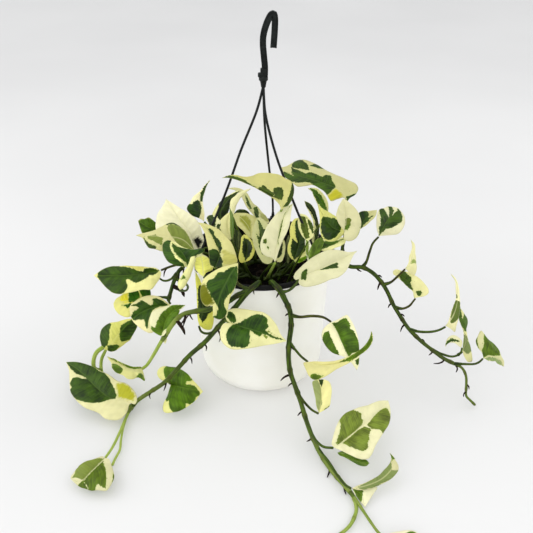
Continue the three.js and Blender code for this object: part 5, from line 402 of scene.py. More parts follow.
     [[[0.088,-0.42],[0.206,-0.6],[0.3,-0.8],[0.344,-1.04],[0.444,-1.08],[0.531,-1.06],[0.569,-0.75],[0.588,-0.57],[0.544,-0.32],[0.55,-0.17],[0.506,-0.05],[0.381,-0.02],[0.231,-0.07],[0.081,-0.05]],[[0.144,0],[0.281,0.03],[0.419,0.03],[0.519,0.12],[0.537,0.45],[0.481,0.53],[0.456,0.65],[0.413,0.68],[0.381,0.78],[0.325,0.75],[0.269,0.62],[0.213,0.43]],[[0.544,0.15],[0.681,0.03],[0.819,0],[0.888,0.4],[0.869,0.8],[0.8,1.09],[0.7,1.11],[0.613,1.04],[0.619,0.78],[0.556,0.45]]],
     [[[0.194,-0.07],[0.312,0.05],[0.338,0.25],[0.244,0.38]],[[0.506,0.15],[0.537,0.45],[0.475,0.5],[0.463,0.12]],[[0.231,-0.52],[0.394,-0.45],[0.381,-0.1],[0.225,-0.12]]],
     [],
     '#647127', '#dad6ab', '#b6b76e', '#c8c65c', 0),
    ('leaf_right_07', 'leaf_cream',
     [[92.5,-218,10],[105.5,-217.7,13.1],[121.2,-212.2,15.5],[134,-200.3,17],[138.6,-190.1,17.7],[136.3,-177.8,17.9]],
     [[92.5,-218,10],[96.7,-216.2,10.9],[105.1,-213.2,12.3],[113.6,-209.4,13.9],[121.2,-205,14.8],[128.3,-197.7,15.7],[134.7,-189.6,16.5],[136.6,-184.3,17.4],[136.3,-177.8,17.9]],
     [[92.5,-218,10],[98.4,-220.1,9.9],[106.3,-220.4,10.9],[115.6,-218.1,12],[125.2,-213.8,13],[133.1,-208.5,12.9],[139.1,-202.5,13.6],[142.9,-196.3,14.1],[143.3,-191.8,15.1],[141.1,-188.1,17.1],[139.8,-182.8,17.3],[136.3,-177.8,17.9]],
     [[[1,-1.09],[0.9,1.1],[0.85,-0.6]]],
     [[[0.075,0.1],[0.35,-0.8],[0.663,-1.07],[0.844,-0.9],[0.7,0.12],[0.725,1.07],[0.644,1.11],[0.537,1.08],[0.294,1.09],[0.163,1.06]]],
     [],
     '#3e580a', '#c7c291', '#717f44', '#c8c65c', 0),
    ('leaf_right_08', 'leaf_cream',
     [[118.5,-276.8,8],[128.2,-285,10.2],[137.8,-293.8,10.6],[149.8,-299.6,8.4]],
     [[118.5,-276.8,8],[119,-272.7,8.5],[125.9,-270.4,9.9],[134.2,-270.4,11.7],[142.6,-270.4,12.8],[148.5,-274,13.1],[152.9,-281.8,11.7],[154.1,-291,9.6],[149.8,-299.6,8.4]],
     [[118.5,-276.8,8],[114.9,-281.6,8.6],[114.1,-292.8,10.5],[117.9,-302.9,12.9],[125.1,-308.2,13.2],[135.1,-308.4,12],[144.1,-304.8,9.9],[149.8,-299.6,8.4]],
     [[[0.025,-0.7],[0.319,-0.3],[0.394,-0.72],[0.469,-0.95],[0.569,-0.97],[0.688,-0.88],[0.8,-0.45],[0.7,-0.1],[0.488,0.03]]],
     [],
     [],
     '#3e580a', '#e3dbbc', '#8c9b50', '#c8c65c', 0),
    ('leaf_right_09', 'leaf_cream',
     [[162.7,-34,158.2],[168.6,-29.4,162.7],[171.7,-20.9,169.6],[173.8,-13.5,174.5],[171.7,-5.6,179.2]],
     [[162.7,-34,158.2],[166.9,-27.7,163.1],[167.7,-22.8,166.7],[169.7,-19.1,169.8],[172,-13.5,173.8],[171.7,-5.6,179.2]],
     [[162.7,-34,158.2],[166.9,-35,153.6],[173.1,-34.7,149.7],[176,-31.1,154.5],[176.2,-26.9,159.9],[175.6,-21.7,166.1],[175.5,-15.6,171.7],[175.2,-8.7,176.3],[171.7,-5.6,179.2]],
     [],
     [[[0.25,0.05],[0.475,0.2],[0.537,1.06],[0.481,0.9],[0.312,0.18]]],
     [],
     '#3e580a', '#ddd8a1', '#8c9b50', '#c8c65c', 0),
    ('leaf_right_10', 'leaf_cream',
     [[174.2,-48,127.7],[172.1,-38.7,136.5],[164.2,-31.1,142.5],[151.6,-21.3,147.2]],
     [[174.2,-48,127.7],[172,-43,133.2],[166.5,-40.9,137.3],[160.2,-35.4,141.5],[155.2,-29.7,144.2],[151.4,-25.7,145.8],[151.6,-21.3,147.2]],
     [[174.2,-48,127.7],[178.6,-48,128.7],[185.2,-47.8,130.3],[189.2,-46,133.1],[189.2,-42.8,136.4],[185,-36.8,140.7],[179.9,-31.8,144.2],[174.5,-28.8,146.4],[168,-25.4,148.3],[161.5,-23.3,148.7],[155,-20.5,148.9],[151.6,-21.3,147.2]],
     [[[0.856,0.62],[0.788,0.95],[0.663,0.58],[0.625,0.6],[0.519,0.3],[0.481,0.07],[0.219,-0.45],[0.344,-1.06],[0.581,-1.09],[0.788,-0.55]],[[0.225,0.12],[0.263,0.3],[0.244,0.5],[0.194,0.62],[0.106,0.78],[0.113,0.35]]],
     [],
     [],
     '#2d430b', '#ded99c', '#8c9b50', '#c8c65c', 0),
    ('leaf_right_11', 'leaf_cream',
     [[210.1,-62,98.8],[218.6,-54.2,107.2],[224.2,-44,116.8],[226.2,-33.1,126],[226.2,-24.4,132.8],[220.7,-15.4,139.4]],
     [[210.1,-62,98.8],[214,-56.4,103.9],[217.5,-48.6,110.2],[221.2,-42.7,115.9],[223.8,-38.1,121.1],[224.4,-30.4,127],[224.8,-23.1,133.3],[223.1,-18.2,137.1],[220.7,-15.4,139.4]],
     [[210.1,-62,98.8],[216.9,-60,93.1],[222.6,-58.6,87.9],[224.1,-55.7,94.3],[226.6,-51,102.1],[228.7,-44,111.2],[228.8,-38.2,118.4],[228.4,-30,126.7],[227.6,-23.5,132.2],[224.7,-17.5,136.6],[220.7,-15.4,139.4]],
     [],
     [[[0.119,0.15],[0.244,-0.82],[0.444,-1.06],[0.525,-0.52],[0.575,0.93],[0.475,1.05],[0.363,0.93],[0.231,0.4],[0.15,0.3]],[[0.537,-1.07],[0.644,-0.68],[0.569,-0.07]]],
     [],
     '#3e580a', '#e8e2ae', '#576826', '#c8c65c', 0),
    ('leaf_right_12', 'leaf_cream',
     [[229,-76,74],[233.4,-69.6,81.8],[233,-61.8,90.2],[232.8,-52.9,97.8],[231.4,-46.1,102.9],[230.8,-38.8,107.6]],
     [[229,-76,74],[230.3,-70,79.3],[231.4,-65,85.5],[231.3,-60.1,90.4],[229.6,-54.1,94.5],[228.1,-48.1,98.6],[229,-42.5,103.9],[230.8,-38.8,107.6]],
     [[229,-76,74],[231.3,-77.3,67.8],[236.8,-78.3,59.9],[241.9,-76.3,59.7],[241.4,-73.5,65.5],[239,-71.6,71.9],[236.8,-68.7,79.8],[235.5,-64.7,85.3],[235.2,-59,91],[237.7,-51.6,95.5],[237.7,-46.6,99],[234.8,-43,102.8],[230.8,-38.8,107.6]],
     [[[0.763,-1.06],[0.594,-1.04],[0.475,-0.5],[0.663,1.06],[0.775,1.09],[0.856,1.08],[0.919,0.95],[0.731,-0.35],[1,-1.04],[0.9,-1.06]]],
     [[[0.019,-1.07],[0.338,-1.07],[0.45,-0.1],[0.469,0.73],[0.363,0.83],[0.194,0.55]]],
     [],
     '#39511a', '#d5d196', '#6e7c45', '#c8c65c', 0),
    ('leaf_right_13', 'leaf_cream',
     [[226.5,-78,80.5],[221.5,-74.1,86],[213.6,-73,88],[207.4,-79,82]],
     [[226.5,-78,80.5],[227.8,-72.7,84.2],[223.7,-68.5,88.2],[218,-67.5,89.8],[213.6,-69.3,89.5],[209.8,-72.8,87.2],[207.4,-79,82]],
     [[226.5,-78,80.5],[223.1,-77.2,82],[218.6,-75.3,84.8],[213.5,-75.3,85.2],[209.8,-77.1,84.1],[207.4,-79,82]],
     [[[0.944,-1.11],[0.788,-0.55],[0.6,-0.25],[0.406,-0.27],[0.2,-0.7],[0.381,0.28],[0.65,0.78],[0.931,1.05]]],
     [],
     [],
     '#1a3404', '#d6d2a8', '#8c9b50', '#c8c65c', 0),
    ('leaf_right_14', 'leaf_cream',
     [[252.2,-82,68.6],[259.5,-80.3,71.6],[266.5,-85,69.6],[273.9,-90.4,63.2]],
     [[252.2,-82,68.6],[250.5,-75.8,73.8],[247.2,-72.9,75.8],[245.5,-66.2,80.7],[247.9,-62.8,84.5],[252.7,-57,88.8],[256.3,-60.5,85.7],[260.3,-65,82],[266,-68.9,78.9],[270.3,-76,75.4],[271.8,-82.1,71.6],[274.3,-86.3,67.8],[273.9,-90.4,63.2]],
     [[252.2,-82,68.6],[256.8,-87.8,69],[263.2,-89,69.2],[267.6,-90.9,66.5],[273.9,-90.4,63.2]],
     [[[0.4,-0.72],[0.475,-0.97],[0.562,-1.06],[0.656,-1.09],[0.775,-1.08],[0.825,-0.75],[0.575,-0.1],[0.263,-0.02],[0,-1.06],[0.2,-0.52],[0.294,-0.47],[0.375,-0.6]],[[0.288,-1.12],[0.338,-1.09],[0.256,-0.85],[0.144,-0.88],[0.2,-1.09]]],
     [[[0.044,1.07],[0.288,0.4],[0.544,0.03],[0.844,-0.27],[0.963,1.08],[0.656,1.08],[0.444,1.06],[0.169,1.1]]],
     [],
     '#4c6212', '#c8c595', '#7d8e57', '#c8c65c', 0),
    ('leaf_right_06_lobe', 'leaf_cream',
     [[80.9,-178.1,19],[89.5,-181.4,18.8],[99.4,-188.2,17.1],[113.3,-189.7,15.8]],
     [[80.9,-178.1,19],[84.6,-177,19.6],[89.3,-177.8,19.7],[94.7,-181.5,18.9],[103.7,-186.2,17.5],[110,-186.4,17.1],[113.3,-189.7,15.8]],
     [[80.9,-178.1,19],[82.2,-181,18.4],[88.7,-184.5,18],[97.1,-189.9,16.7],[104.1,-193.5,15.5],[109.8,-193.2,15.2],[113.3,-189.7,15.8]],
     [[[0,-1.25],[0.1,1.25],[0.938,1.25],[0.881,-1.25]]],
     [],
     [],
     '#455f0f', '#3c5c16', '#8c9b50', '#c8c65c', 0),
    ('leaf_right_07_lobe', 'leaf_cream',
     [[93.8,-216.9,8],[101.2,-223,7.4],[104,-235.8,3.4]],
     [[93.8,-216.9,8],[99.8,-217.1,8],[109.1,-216.1,7.4],[119.2,-213.4,6.3],[114.8,-220.2,5.6],[108.8,-228.8,4.6],[104,-235.8,3.4]],
     [[93.8,-216.9,8],[94,-220.1,7],[97,-225.8,5.8],[100.9,-231.8,4.6],[104,-235.8,3.4]],
     [[[0,-1.25],[0.163,-1.09],[0.488,-0.1],[0.719,0.93],[0.488,1.2]]],
     [],
     [],
     '#476008', '#e2deb7', '#8c9b50', '#c8c65c', 0),
    ('leaf_left_04_bud', 'leaf_cream',
     [[-107.6,-85,103.8],[-106.2,-89.1,100.8],[-105.6,-92.7,97]],
     [[-107.6,-85,103.8],[-109.7,-86.8,102.5],[-108.1,-90.3,99.7],[-105.6,-92.7,97]],
     [[-107.6,-85,103.8],[-104.6,-86.4,103],[-103.6,-89.9,100.1],[-105.6,-92.7,97]],
     [],
     [],
     [],
     '#3e580a', '#e1dea0', '#8c9b50', '#c8c65c', 0),
    # painted shade: the inner leaves sit deep in the crown, and several have near-black greens or dark pale-slot
    # colours that stand for their shade
    ('leaf_inner_01', 'leaf_cream',
     [[-33.8,-3,177.8],[-33.3,8.8,189.7],[-34.7,19.9,199.6],[-37,26.2,204.9]],
     [[-33.8,-3,177.8],[-35.5,1.9,182.9],[-36,12.4,193.1],[-36.5,19.9,199.6],[-37,26.2,204.9]],
     [[-33.8,-3,177.8],[-31.6,2.2,182.8],[-31.6,12.8,192.8],[-33.1,20.1,199.5],[-37,26.2,204.9]],
     [[[1,-1.25],[1,-1.25],[0,-1.25],[0,-1.25]]],
     [],
     [],
     '#4c660b', '#466816', '#8c9b50', '#c8c65c', 0),
    ('leaf_inner_02', 'leaf_cream',
     [[17.9,-32,165.6],[21.3,-21.2,174.9],[24.9,-8.1,183.8]],
     [[17.9,-32,165.6],[15.1,-27.5,170.8],[17.9,-19.9,176.8],[22,-12.3,181.6],[24.9,-8.1,183.8]],
     [[17.9,-32,165.6],[22.3,-32.9,166.1],[25.7,-28.9,170.3],[27.3,-22.2,175.5],[27.1,-14.7,180.3],[24.9,-8.1,183.8]],
     [[[0.175,-0.93],[0.494,-1.04],[0.888,-0.75],[0.713,0.5],[0.388,0.53],[0.213,0.2]]],
     [],
     [],
     '#071004', '#dad896', '#8c9b50', '#c8c65c', 0),
    ('leaf_inner_03', 'leaf_cream',
     [[36.8,-24,161.5],[44.3,-18.7,164.3],[55,-9.1,167.3]],
     [[36.8,-24,161.5],[38,-19.4,164.1],[43.9,-14.2,166.6],[50.9,-8.8,168.1],[55,-9.1,167.3]],
     [[36.8,-24,161.5],[41.9,-24.4,159.8],[48.3,-21.3,160.6],[54.2,-14.8,163.4],[55,-9.1,167.3]],
     [[[0,-1.08],[0.388,0.25],[0.806,1.05],[0.613,1.14],[0.256,1.1]]],
     [],
     [[[0.144,-1.15],[0.537,-0.97],[0.225,0.18]]],
     '#7baa04', '#f7f79d', '#8c9b50', '#c8c65c', 0),
    ('leaf_inner_04', 'leaf_cream',
     [[-46.7,-14,197.9],[-53.1,-6.9,203.1],[-60.3,1.6,207]],
     [[-46.7,-14,197.9],[-54.1,-12.4,197.7],[-59.6,-6.2,201.4],[-62.1,-0.9,204.4],[-60.3,1.6,207]],
     [[-46.7,-14,197.9],[-45.1,-8.1,203.1],[-49.8,-2.6,206.6],[-55.4,1.3,208],[-60.3,1.6,207]],
     [[[0.95,-1.25],[0.838,1.08],[0.525,0.53],[0.256,-0.42],[0.444,-1.12]],[[0.294,0.1],[0.219,1.04],[0,-1.1],[0.125,-1.04]]],
     [],
     [],
     '#0c1f04', '#d5d3a1', '#8c9b50', '#c8c65c', 0),
    ('leaf_inner_05', 'leaf_cream',
     [[-28.1,-6,160.9],[-28.9,4.9,172.1],[-31.4,17.1,182]],
     [[-28.1,-6,160.9],[-32.8,-1.7,165.1],[-34.4,6.2,172.6],[-34,12.8,178.3],[-31.4,17.1,182]],
     [[-28.1,-6,160.9],[-23.5,-1.6,165.1],[-23.1,6.3,172.6],[-26.1,13.8,179.1],[-31.4,17.1,182]],
     [[[1,-1.25],[0.881,1.25],[0.031,1.25],[0.125,-1.25]]],
     [],
     [],
     '#060f04', '#162408', '#8c9b50', '#c8c65c', 0),
    ('leaf_inner_06', 'leaf_cream',
     [[31.3,-4,146.2],[30.9,7.9,158.3],[32.3,22.6,170.4]],
     [[31.3,-4,146.2],[27.3,1.2,151.3],[26.9,8.2,158.1],[29.1,16.7,165.5],[32.3,22.6,170.4]],
     [[31.3,-4,146.2],[35.6,1.3,151.2],[35.6,8.3,158.1],[35.5,16.8,165.5],[32.3,22.6,170.4]],
     [[[1,-1.25],[1,-1.25],[0,-1.25],[0,-1.25]]],
     [],
     [],
     '#0d1304', '#162408', '#8c9b50', '#c8c65c', 0),
    ('leaf_inner_07', 'leaf_cream',
     [[50.7,-50,202.6],[48.7,-40.1,213.1],[43,-27.5,224.2]],
     [[50.7,-50,202.6],[45.3,-47.2,205.9],[40.6,-40.2,213.1],[40,-32.5,220.1],[43,-27.5,224.2]],
     [[50.7,-50,202.6],[56.7,-45.1,206],[56.4,-36.2,214.7],[49.5,-28.6,222.3],[43,-27.5,224.2]],
     [[[0.094,-1.09],[0.5,-0.68],[0.913,-0.42],[0.819,0.58],[0.506,0.3],[0.131,0.45]]],
     [[[0.806,0.73],[0.544,1.06],[0.213,1.06],[0.463,0.38]]],
     [],
     '#3f4b0c', '#dad896', '#324604', '#c8c65c', 0),
    ('leaf_inner_09', 'leaf_cream',
     [[53.7,-57,180.5],[59.9,-47.2,189.8],[65.8,-35.3,198.8]],
     [[53.7,-57,180.5],[51,-53.1,185.7],[54.5,-45.3,193.1],[60.7,-38.2,197.9],[65.8,-35.3,198.8]],
     [[53.7,-57,180.5],[59.1,-54.4,183.3],[65.3,-47.2,189.8],[68.7,-38.7,196.3],[65.8,-35.3,198.8]],
     [[[0.081,-1.25],[0.7,-1.22],[0.988,-1.13],[0.863,1.16],[0.481,1.13],[0.075,1.18]]],
     [],
     [],
     '#445a13', '#567622', '#8c9b50', '#c8c65c', 0),
    ('leaf_inner_08', 'leaf_cream',
     [[-13,62,175.5],[-22.9,65,179.5],[-34,64.3,177.7]],
     [[-13,62,175.5],[-17.4,66.2,180.4],[-24.1,67.7,182],[-30.3,67.2,181.1],[-34,64.3,177.7]],
     [[-13,62,175.5],[-17.9,62.7,177.1],[-24.1,62.2,176.9],[-30.2,62.9,177],[-34,64.3,177.7]],
     [[[0.838,-1.25],[0.25,-1.25],[0,-1.25],[1,-1.25]]],
     [],
     [],
     '#091504', '#1a2a0a', '#8c9b50', '#c8c65c', 0),
]

TUBES = [
    ('stems_left', 'V1', 2.6, 2.1, [[-8,-44,134.2],[-6,-58,143],[-2,-70.9,163],[-5.6,-82.9,167.5],[-11.3,-89.9,166],[-19.8,-93.8,157],[-29.6,-94,143],[-44.3,-92.1,122],[-61.4,-93.4,100],[-79.2,-90.9,80],[-91.8,-88.1,62],[-110.7,-87.5,38],[-129.9,-84.2,20],[-145.7,-87.4,9],[-153.2,-94.8,3.4]]),
    ('stems_left', 'V2', 2.2, 1.9, [[-11.3,-89.9,166],[-23.9,-92.2,161],[-37.8,-94.9,152],[-53.9,-95,145],[-68.1,-92.9,141],[-81.5,-90.4,136],[-89.6,-88.9,129],[-96.9,-88,119],[-104.1,-89.5,108]]),
    ('stems_left', 'P_L7', 1.6, 1.3, [[-104.1,-89.5,108],[-111.3,-91.8,96],[-120.3,-92.3,79.6],[-128,-92.3,66.8],[-134.2,-88.1,58.5]]),
    ('stems_left', 'P_L4', 1.3, 1.0, [[-103.5,-89,109],[-105.9,-94.8,108.5]]),
    ('stems_left', 'P_L9', 1.7, 1.4, [[-153.2,-94.8,3.4],[-155.1,-115.8,6],[-157.4,-139.9,8],[-160.6,-162.9,10],[-164.2,-177.9,11.9]]),
    ('stems_left', 'bud1', 1.1, 1.4, [[-154.1,-96.3,3.2],[-155.8,-120.3,2.6],[-155.4,-140.6,2.6],[-153.8,-158.6,2.6],[-156,-168.7,2.6],[-158,-180.1,2.6]]),
    ('stems_left', 'P_L6', 1.4, 1.2, [[-149.1,-92.8,7],[-149.7,-94,12.4]]),
    ('stems_left', 'P_L8', 1.5, 1.2, [[-107,-87,42],[-107.5,-77.9,28.5],[-107.8,-69.9,20.2]]),
    ('stems_left', 'V3', 2.3, 2.0, [[-8,-44,134.2],[-30,-38,134.2],[-48,-24,134.5],[-62,-14,150],[-74,-13,166],[-81,-14,169],[-87,-15,162],[-89.2,-16,150.7],[-94.5,-22,147.6],[-99.2,-30,140.4],[-102.7,-40,131.9],[-104.7,-50,126.3]]),
    ('stems_left', 'P_L1', 1.6, 1.3, [[-89.2,-15,152.1],[-98.2,-17,152.6],[-107.1,-20,151.1],[-115.1,-21.5,148.3]]),
    ('stems_left', 'tendril', 1.5, 1.1, [[-96.4,-26,147.4],[-103.5,-28,140.5],[-110.8,-30,139.3],[-118,-32,145.7]]),
    ('stems_right', 'V4', 2.7, 2.2, [[12,-44,134.2],[15,-58,145],[11.4,-71.4,164],[15.1,-82.9,167.5],[20.3,-91.1,165.5],[25.1,-90.8,155],[31.5,-84.8,134],[32.8,-87,117],[30.9,-90.8,98],[30.4,-96.2,80],[32.8,-101.5,63],[37.9,-108.3,50],[43.5,-115.7,36],[50,-130.5,20],[56,-146,11],[63.7,-166.2,6],[75,-188.8,3],[86.7,-208.9,3],[91.1,-216.6,3]]),
    ('stems_right', 'g', 1.9, 1.6, [[91.1,-216.6,3],[94.6,-226.8,3],[95.2,-237.9,3],[92.3,-247.5,3],[86.4,-258.1,3],[78.4,-266.1,3],[68.1,-275.1,3],[59.8,-285,3]]),
    ('stems_right', 'P_f', 1.6, 1.4, [[91.1,-216.6,3],[95.8,-228.5,5],[100.5,-239.6,5],[106.4,-254.7,6],[112.2,-268.1,7],[117.6,-275.9,7.8]]),
    ('stems_right', 'P_a', 1.7, 1.4, [[32.1,-84.7,130],[41.3,-86.7,129],[56,-80.6,125.9],[68.8,-73.1,118.9],[78,-66.4,108.4]]),
    ('stems_right', 'P_b', 1.6, 1.3, [[30.9,-90.8,98],[36.4,-93.8,92],[43.3,-106.3,90.8],[50.3,-115.8,90.6]]),
    ('stems_right', 'P_c', 1.5, 1.3, [[38.4,-108.8,49],[43.3,-115.8,42],[48.9,-120.6,36],[56.6,-125.3,30],[63.7,-128.4,27.5]]),
    ('stems_right', 'P_d', 1.7, 1.4, [[47.9,-124.7,25],[51.9,-137.3,19],[57.6,-154,16],[66.4,-167.5,17],[76.3,-173.9,21.6]]),
    ('stems_right', 'P_e', 1.6, 1.3, [[61.8,-161.4,7],[71.4,-178.6,7],[80.2,-199.2,7],[86.2,-211.3,8],[91.4,-217.7,9.7]]),
    ('stems_right', 'P_C', 1.6, 1.4, [[21.3,-91.1,164],[26.8,-86,161.3],[33.2,-82,162.9],[38.2,-76,165.6],[40,-72.5,167.2]]),
    ('stems_right', 'V5', 2.5, 2.0, [[12,-44,134.2],[34,-34,134.2],[50,-18,135],[64,-12,152],[75,-12,166.5],[82,-12,168.5],[90,-13,163],[101.3,-16,150.7],[117.1,-19,150.5],[128.3,-24,146.1],[137.5,-29,137.7],[144.5,-34,128],[151.8,-40,114],[162.4,-48,98.6],[170.5,-54,88.7],[183.3,-60,77.4],[195.8,-66,69],[209.8,-71,59.9],[223.8,-74,53.5]]),
    ('stems_right', 'P_O', 1.6, 1.3, [[116.1,-18,150.1],[120.4,-17,156],[123.9,-14,168.2],[127.3,-12,178.8],[133.1,-10.7,186]]),
    ('stems_right', 'P_h1', 1.5, 1.2, [[140.3,-31,134.9],[147.6,-31,137.5],[155.6,-32,147.1],[161.9,-34.4,157.4]]),
    ('stems_right', 'P_h2', 1.5, 1.2, [[153.7,-41,110.5],[162.1,-43,109.7],[169.3,-45,114.7],[172.7,-47,122.2],[174.2,-48.5,126.7]]),
    ('stems_right', 'P_i', 1.7, 1.3, [[170.5,-54,88],[182.8,-57,87.1],[196,-59,88.7],[204.2,-61,93],[209.2,-62.4,98]]),
    ('stems_right', 'P_j', 1.6, 1.2, [[195.9,-66,68.3],[208.5,-69,64.1],[219.5,-72,62.8],[226.1,-75,68.1],[228.5,-76.4,73]]),
    ('stems_right', 'P_l', 1.5, 1.2, [[222.6,-74,53.9],[233.1,-77,55.9],[244.6,-80,58.6],[249.5,-82,64.3],[251.2,-82.2,67.9]]),
    ('stems_right', 'V5tip', 1.6, 1.4, [[223.8,-74,53.5],[232.1,-76,49.2],[237.7,-78,38.9],[239.2,-81,26.4],[240.7,-83,12.8],[245,-85.5,8.9],[251.1,-88,3.4]]),
    ('stems_left', 'P_L5', 1.6, 1.3, [[-151,-94,3.4],[-165.2,-80.3,2.6],[-186.3,-57.1,2.6],[-197.9,-34.1,10],[-199.4,-22,17.6],[-192.7,-22.4,32.4]]),
    ('stems_left', 'P_A', 1.3, 1.2, [[-38.6,-92.6,129],[-34.5,-102.5,133.4],[-32,-109.8,137.1]]),
    ('stems_left', 'P_B2', 1.6, 1.2, [[-46.6,-92.1,118],[-52.2,-92.6,113],[-58.6,-92.9,111.2],[-65.3,-88.8,110.7],[-68.2,-83.9,114.6]]),
    ('stems_left', 'P_B', 1.7, 1.3, [[-11.3,-90.3,166],[-18.7,-86.8,167.5],[-25.1,-83.4,171],[-27.1,-81.6,180.3],[-23.2,-83.2,195.2]]),
    ('stems_left', 'P_J', 1.5, 1.2, [[-88,-15.5,158],[-81.2,-38.4,168.4],[-79.2,-60,175.1]]),
    ('stems_left', 'P_K', 1.4, 1.1, [[-98,-28,141],[-85.3,-38,140.1],[-80.9,-70.2,152.6],[-85,-92.2,166.3]]),
    ('stems_left', 'P_L3', 1.5, 1.2, [[-104.7,-50,126.3],[-104,-50,123.6],[-102.5,-51.1,121.8]]),
    ('stems_left', 'P_L2', 1.5, 1.2, [[-104.2,-49,128.3],[-115.1,-44,126.4],[-127.7,-43.6,125]]),
    ('stems_left', 'P_H', 1.5, 1.2, [[-88,-15,160],[-94.5,-4,158.4],[-105.1,9.6,164.4],[-112,18.1,167.9]]),
    ('crown_stems', 'rhizome', 2.6, 2.6, [[-26,6,133.6],[-14,-12,133.6],[2,-18,133.6],[18,-10,133.6],[24,6,133.6],[10,20,133.6],[-8,22,133.6],[-20,14,133.6]]),
    ('crown_stems', 'P_G', 1.8, 1.3, [[-26,6,134],[-44,6,150],[-61.4,1.1,164.8],[-72.5,-3.3,165.2]]),
    ('crown_stems', 'P_I', 1.8, 1.3, [[-22,-2,134],[-40,-6,150],[-60.5,-19.5,168.7],[-73.6,-28.9,178]]),
    ('crown_stems', 'P_L', 1.8, 1.3, [[-20,-6,134],[-34,-24,142],[-44,-43,158],[-51,-54,165.8],[-57,-61.5,166.4],[-61.6,-67.1,166.8]]),
    ('crown_stems', 'P_F', 1.8, 1.3, [[-16,-10,134],[-26,-30,144],[-38,-52,166],[-48.7,-72.2,181.8]]),
    ('crown_stems', 'P_V', 1.8, 1.3, [[-24,10,134],[-36,12,152],[-54.8,22.4,170.6],[-67.5,28.8,184.6]]),
    ('crown_stems', 'P_W', 1.8, 1.3, [[-16,18,134],[-24,20,150],[-38.8,32.2,165.7],[-48.6,42.2,176.3]]),
    ('crown_stems', 'P_X', 1.8, 1.3, [[-6,20,134],[-14,16,155],[-26.6,19.3,176.2],[-33.4,24.5,193.3]]),
    ('crown_stems', 'P_Y', 1.8, 1.3, [[8,20,134],[10,24,150],[8.1,32.3,166.8],[6.1,35.5,177.2]]),
    ('crown_stems', 'P_AA', 1.8, 1.3, [[-18,0,134],[-24,-6,148],[-32.1,-3.7,163],[-35.3,1.6,173.8]]),
    ('crown_stems', 'P_AB', 1.8, 1.3, [[4,20,134],[0,14,148],[-8.1,19.9,155.6],[-11.1,27.6,161.1]]),
    ('crown_stems', 'P_D', 1.8, 1.3, [[4,-18,134],[6.1,-44,150.6],[11.1,-66.3,176],[14.8,-81.7,194.1]]),
    ('crown_stems', 'P_D2', 1.8, 1.3, [[0,-18,134],[2,-26,146],[7,-38,160],[11.8,-46.3,172.4]]),
    ('crown_stems', 'P_E', 1.8, 1.3, [[-8,-15,134],[-10.6,-26,142],[-15.8,-36,158.8],[-17.9,-40.5,169.4]]),
    ('crown_stems', 'P_M', 2.0, 1.3, [[22,2,134],[24,-4,155],[24,-12,186],[22,-27,219.1],[22.9,-41.5,236.4],[21.1,-58.2,242.8]]),
    ('crown_stems', 'P_S', 1.8, 1.3, [[20,0,134],[36,4,150],[61.2,21.4,172.3],[79.1,34.7,193.6]]),
    ('crown_stems', 'P_T', 1.8, 1.3, [[18,-10,134],[24,-22,142],[32,-32,157],[36.3,-36.4,169.6]]),
    ('crown_stems', 'P_U', 1.8, 1.3, [[22,-4,134],[36,-4,144],[52.3,5.1,152],[59.9,11,159.4]]),
    ('crown_stems', 'P_U2', 1.5, 1.1, [[20,-7,134],[34,-22,142],[45.8,-39,159.9],[51.7,-47.5,173.7]]),
    ('stems_right', 'S6', 2.2, 1.8, [[96,-14,157],[92.6,-16,172],[92.8,-19,184.1],[93.8,-21,192.8]]),
    ('stems_right', 'P_Q', 1.5, 1.2, [[93.8,-21,192.8],[93,-27.1,199.2],[92.1,-31.6,202.6]]),
    ('stems_right', 'P_N', 1.8, 1.3, [[93.8,-21,192.8],[99.9,-8,196],[100.5,1.4,209.4],[96.5,-1.1,224]]),
    ('stems_right', 'P_P', 1.3, 1.1, [[93.8,-21,191.6],[102.4,-14,190.9],[110.5,-12.6,196.1]]),
    ('stems_right', 'P_R2', 1.4, 1.1, [[92.6,-19.5,185.6],[94.1,-24.8,190.2],[94.8,-28.4,193]]),
    ('stems_right', 'P_R', 1.4, 1.1, [[93,-20,188.5],[96.9,-17,193.2],[96.4,-14.4,195]]),
    ('stems_right', 'P_k', 1.3, 1.1, [[225.2,-74.6,67.1],[227.4,-76.5,72.9],[227,-78.3,79.5]]),
    ('crown_stems', 'XSTALK', 1.3, 0.85, [[-18.6,-5.8,133],[-24.4,-5,153.8],[-30.1,-4.2,168.1],[-33.9,-3.6,177.1]]),
    ('crown_stems', 'XSTALK', 1.3, 0.85, [[9.8,-23.2,133],[12.8,-26.8,149.2],[15.7,-30.3,159],[17.7,-32.7,165]]),
    ('crown_stems', 'XSTALK', 1.3, 0.85, [[20.2,-18.4,133],[26.2,-20.7,147.7],[32.1,-23,156.2],[36.1,-24.5,161.2]]),
    ('crown_stems', 'XSTALK', 1.3, 0.85, [[-25.7,-12.4,133],[-33.4,-13.2,161.5],[-41,-14,183.4],[-46.1,-14.6,197.5]]),
    ('crown_stems', 'XSTALK', 1.3, 0.85, [[-15.5,-7.6,133],[-20.3,-7.2,147.4],[-24.9,-6.9,155.4],[-28.1,-6.6,160.2]]),
    ('crown_stems', 'XSTALK', 1.3, 0.85, [[17.2,-6.4,133],[22.6,-5.7,141.8],[27.8,-5.1,144.4],[31.3,-4.6,145.5]]),
    ('crown_stems', 'XSTALK', 1.3, 0.85, [[27.9,-34,133],[36.6,-40.3,163.2],[45.1,-46.5,186.7],[50.8,-50.6,201.9]]),
    ('crown_stems', 'XSTALK', 1.3, 0.85, [[29.5,-38.2,133],[38.6,-45.6,154.8],[47.4,-52.7,170.2],[53.3,-57.6,179.9]]),
    ('crown_stems', 'XSTALK', 1.3, 0.85, [[-7.2,33.2,133],[-9.1,44.1,153],[-11,54.6,166.7],[-12.2,61.8,175.2]]),
    ('stems_left', 'sheath', 2.3, 3.0, [[-197.9,-34,10],[-205.4,-35,14.7],[-206.2,-31,24.8],[-201.9,-27,34.1],[-194.6,-24,38.7]]),
]

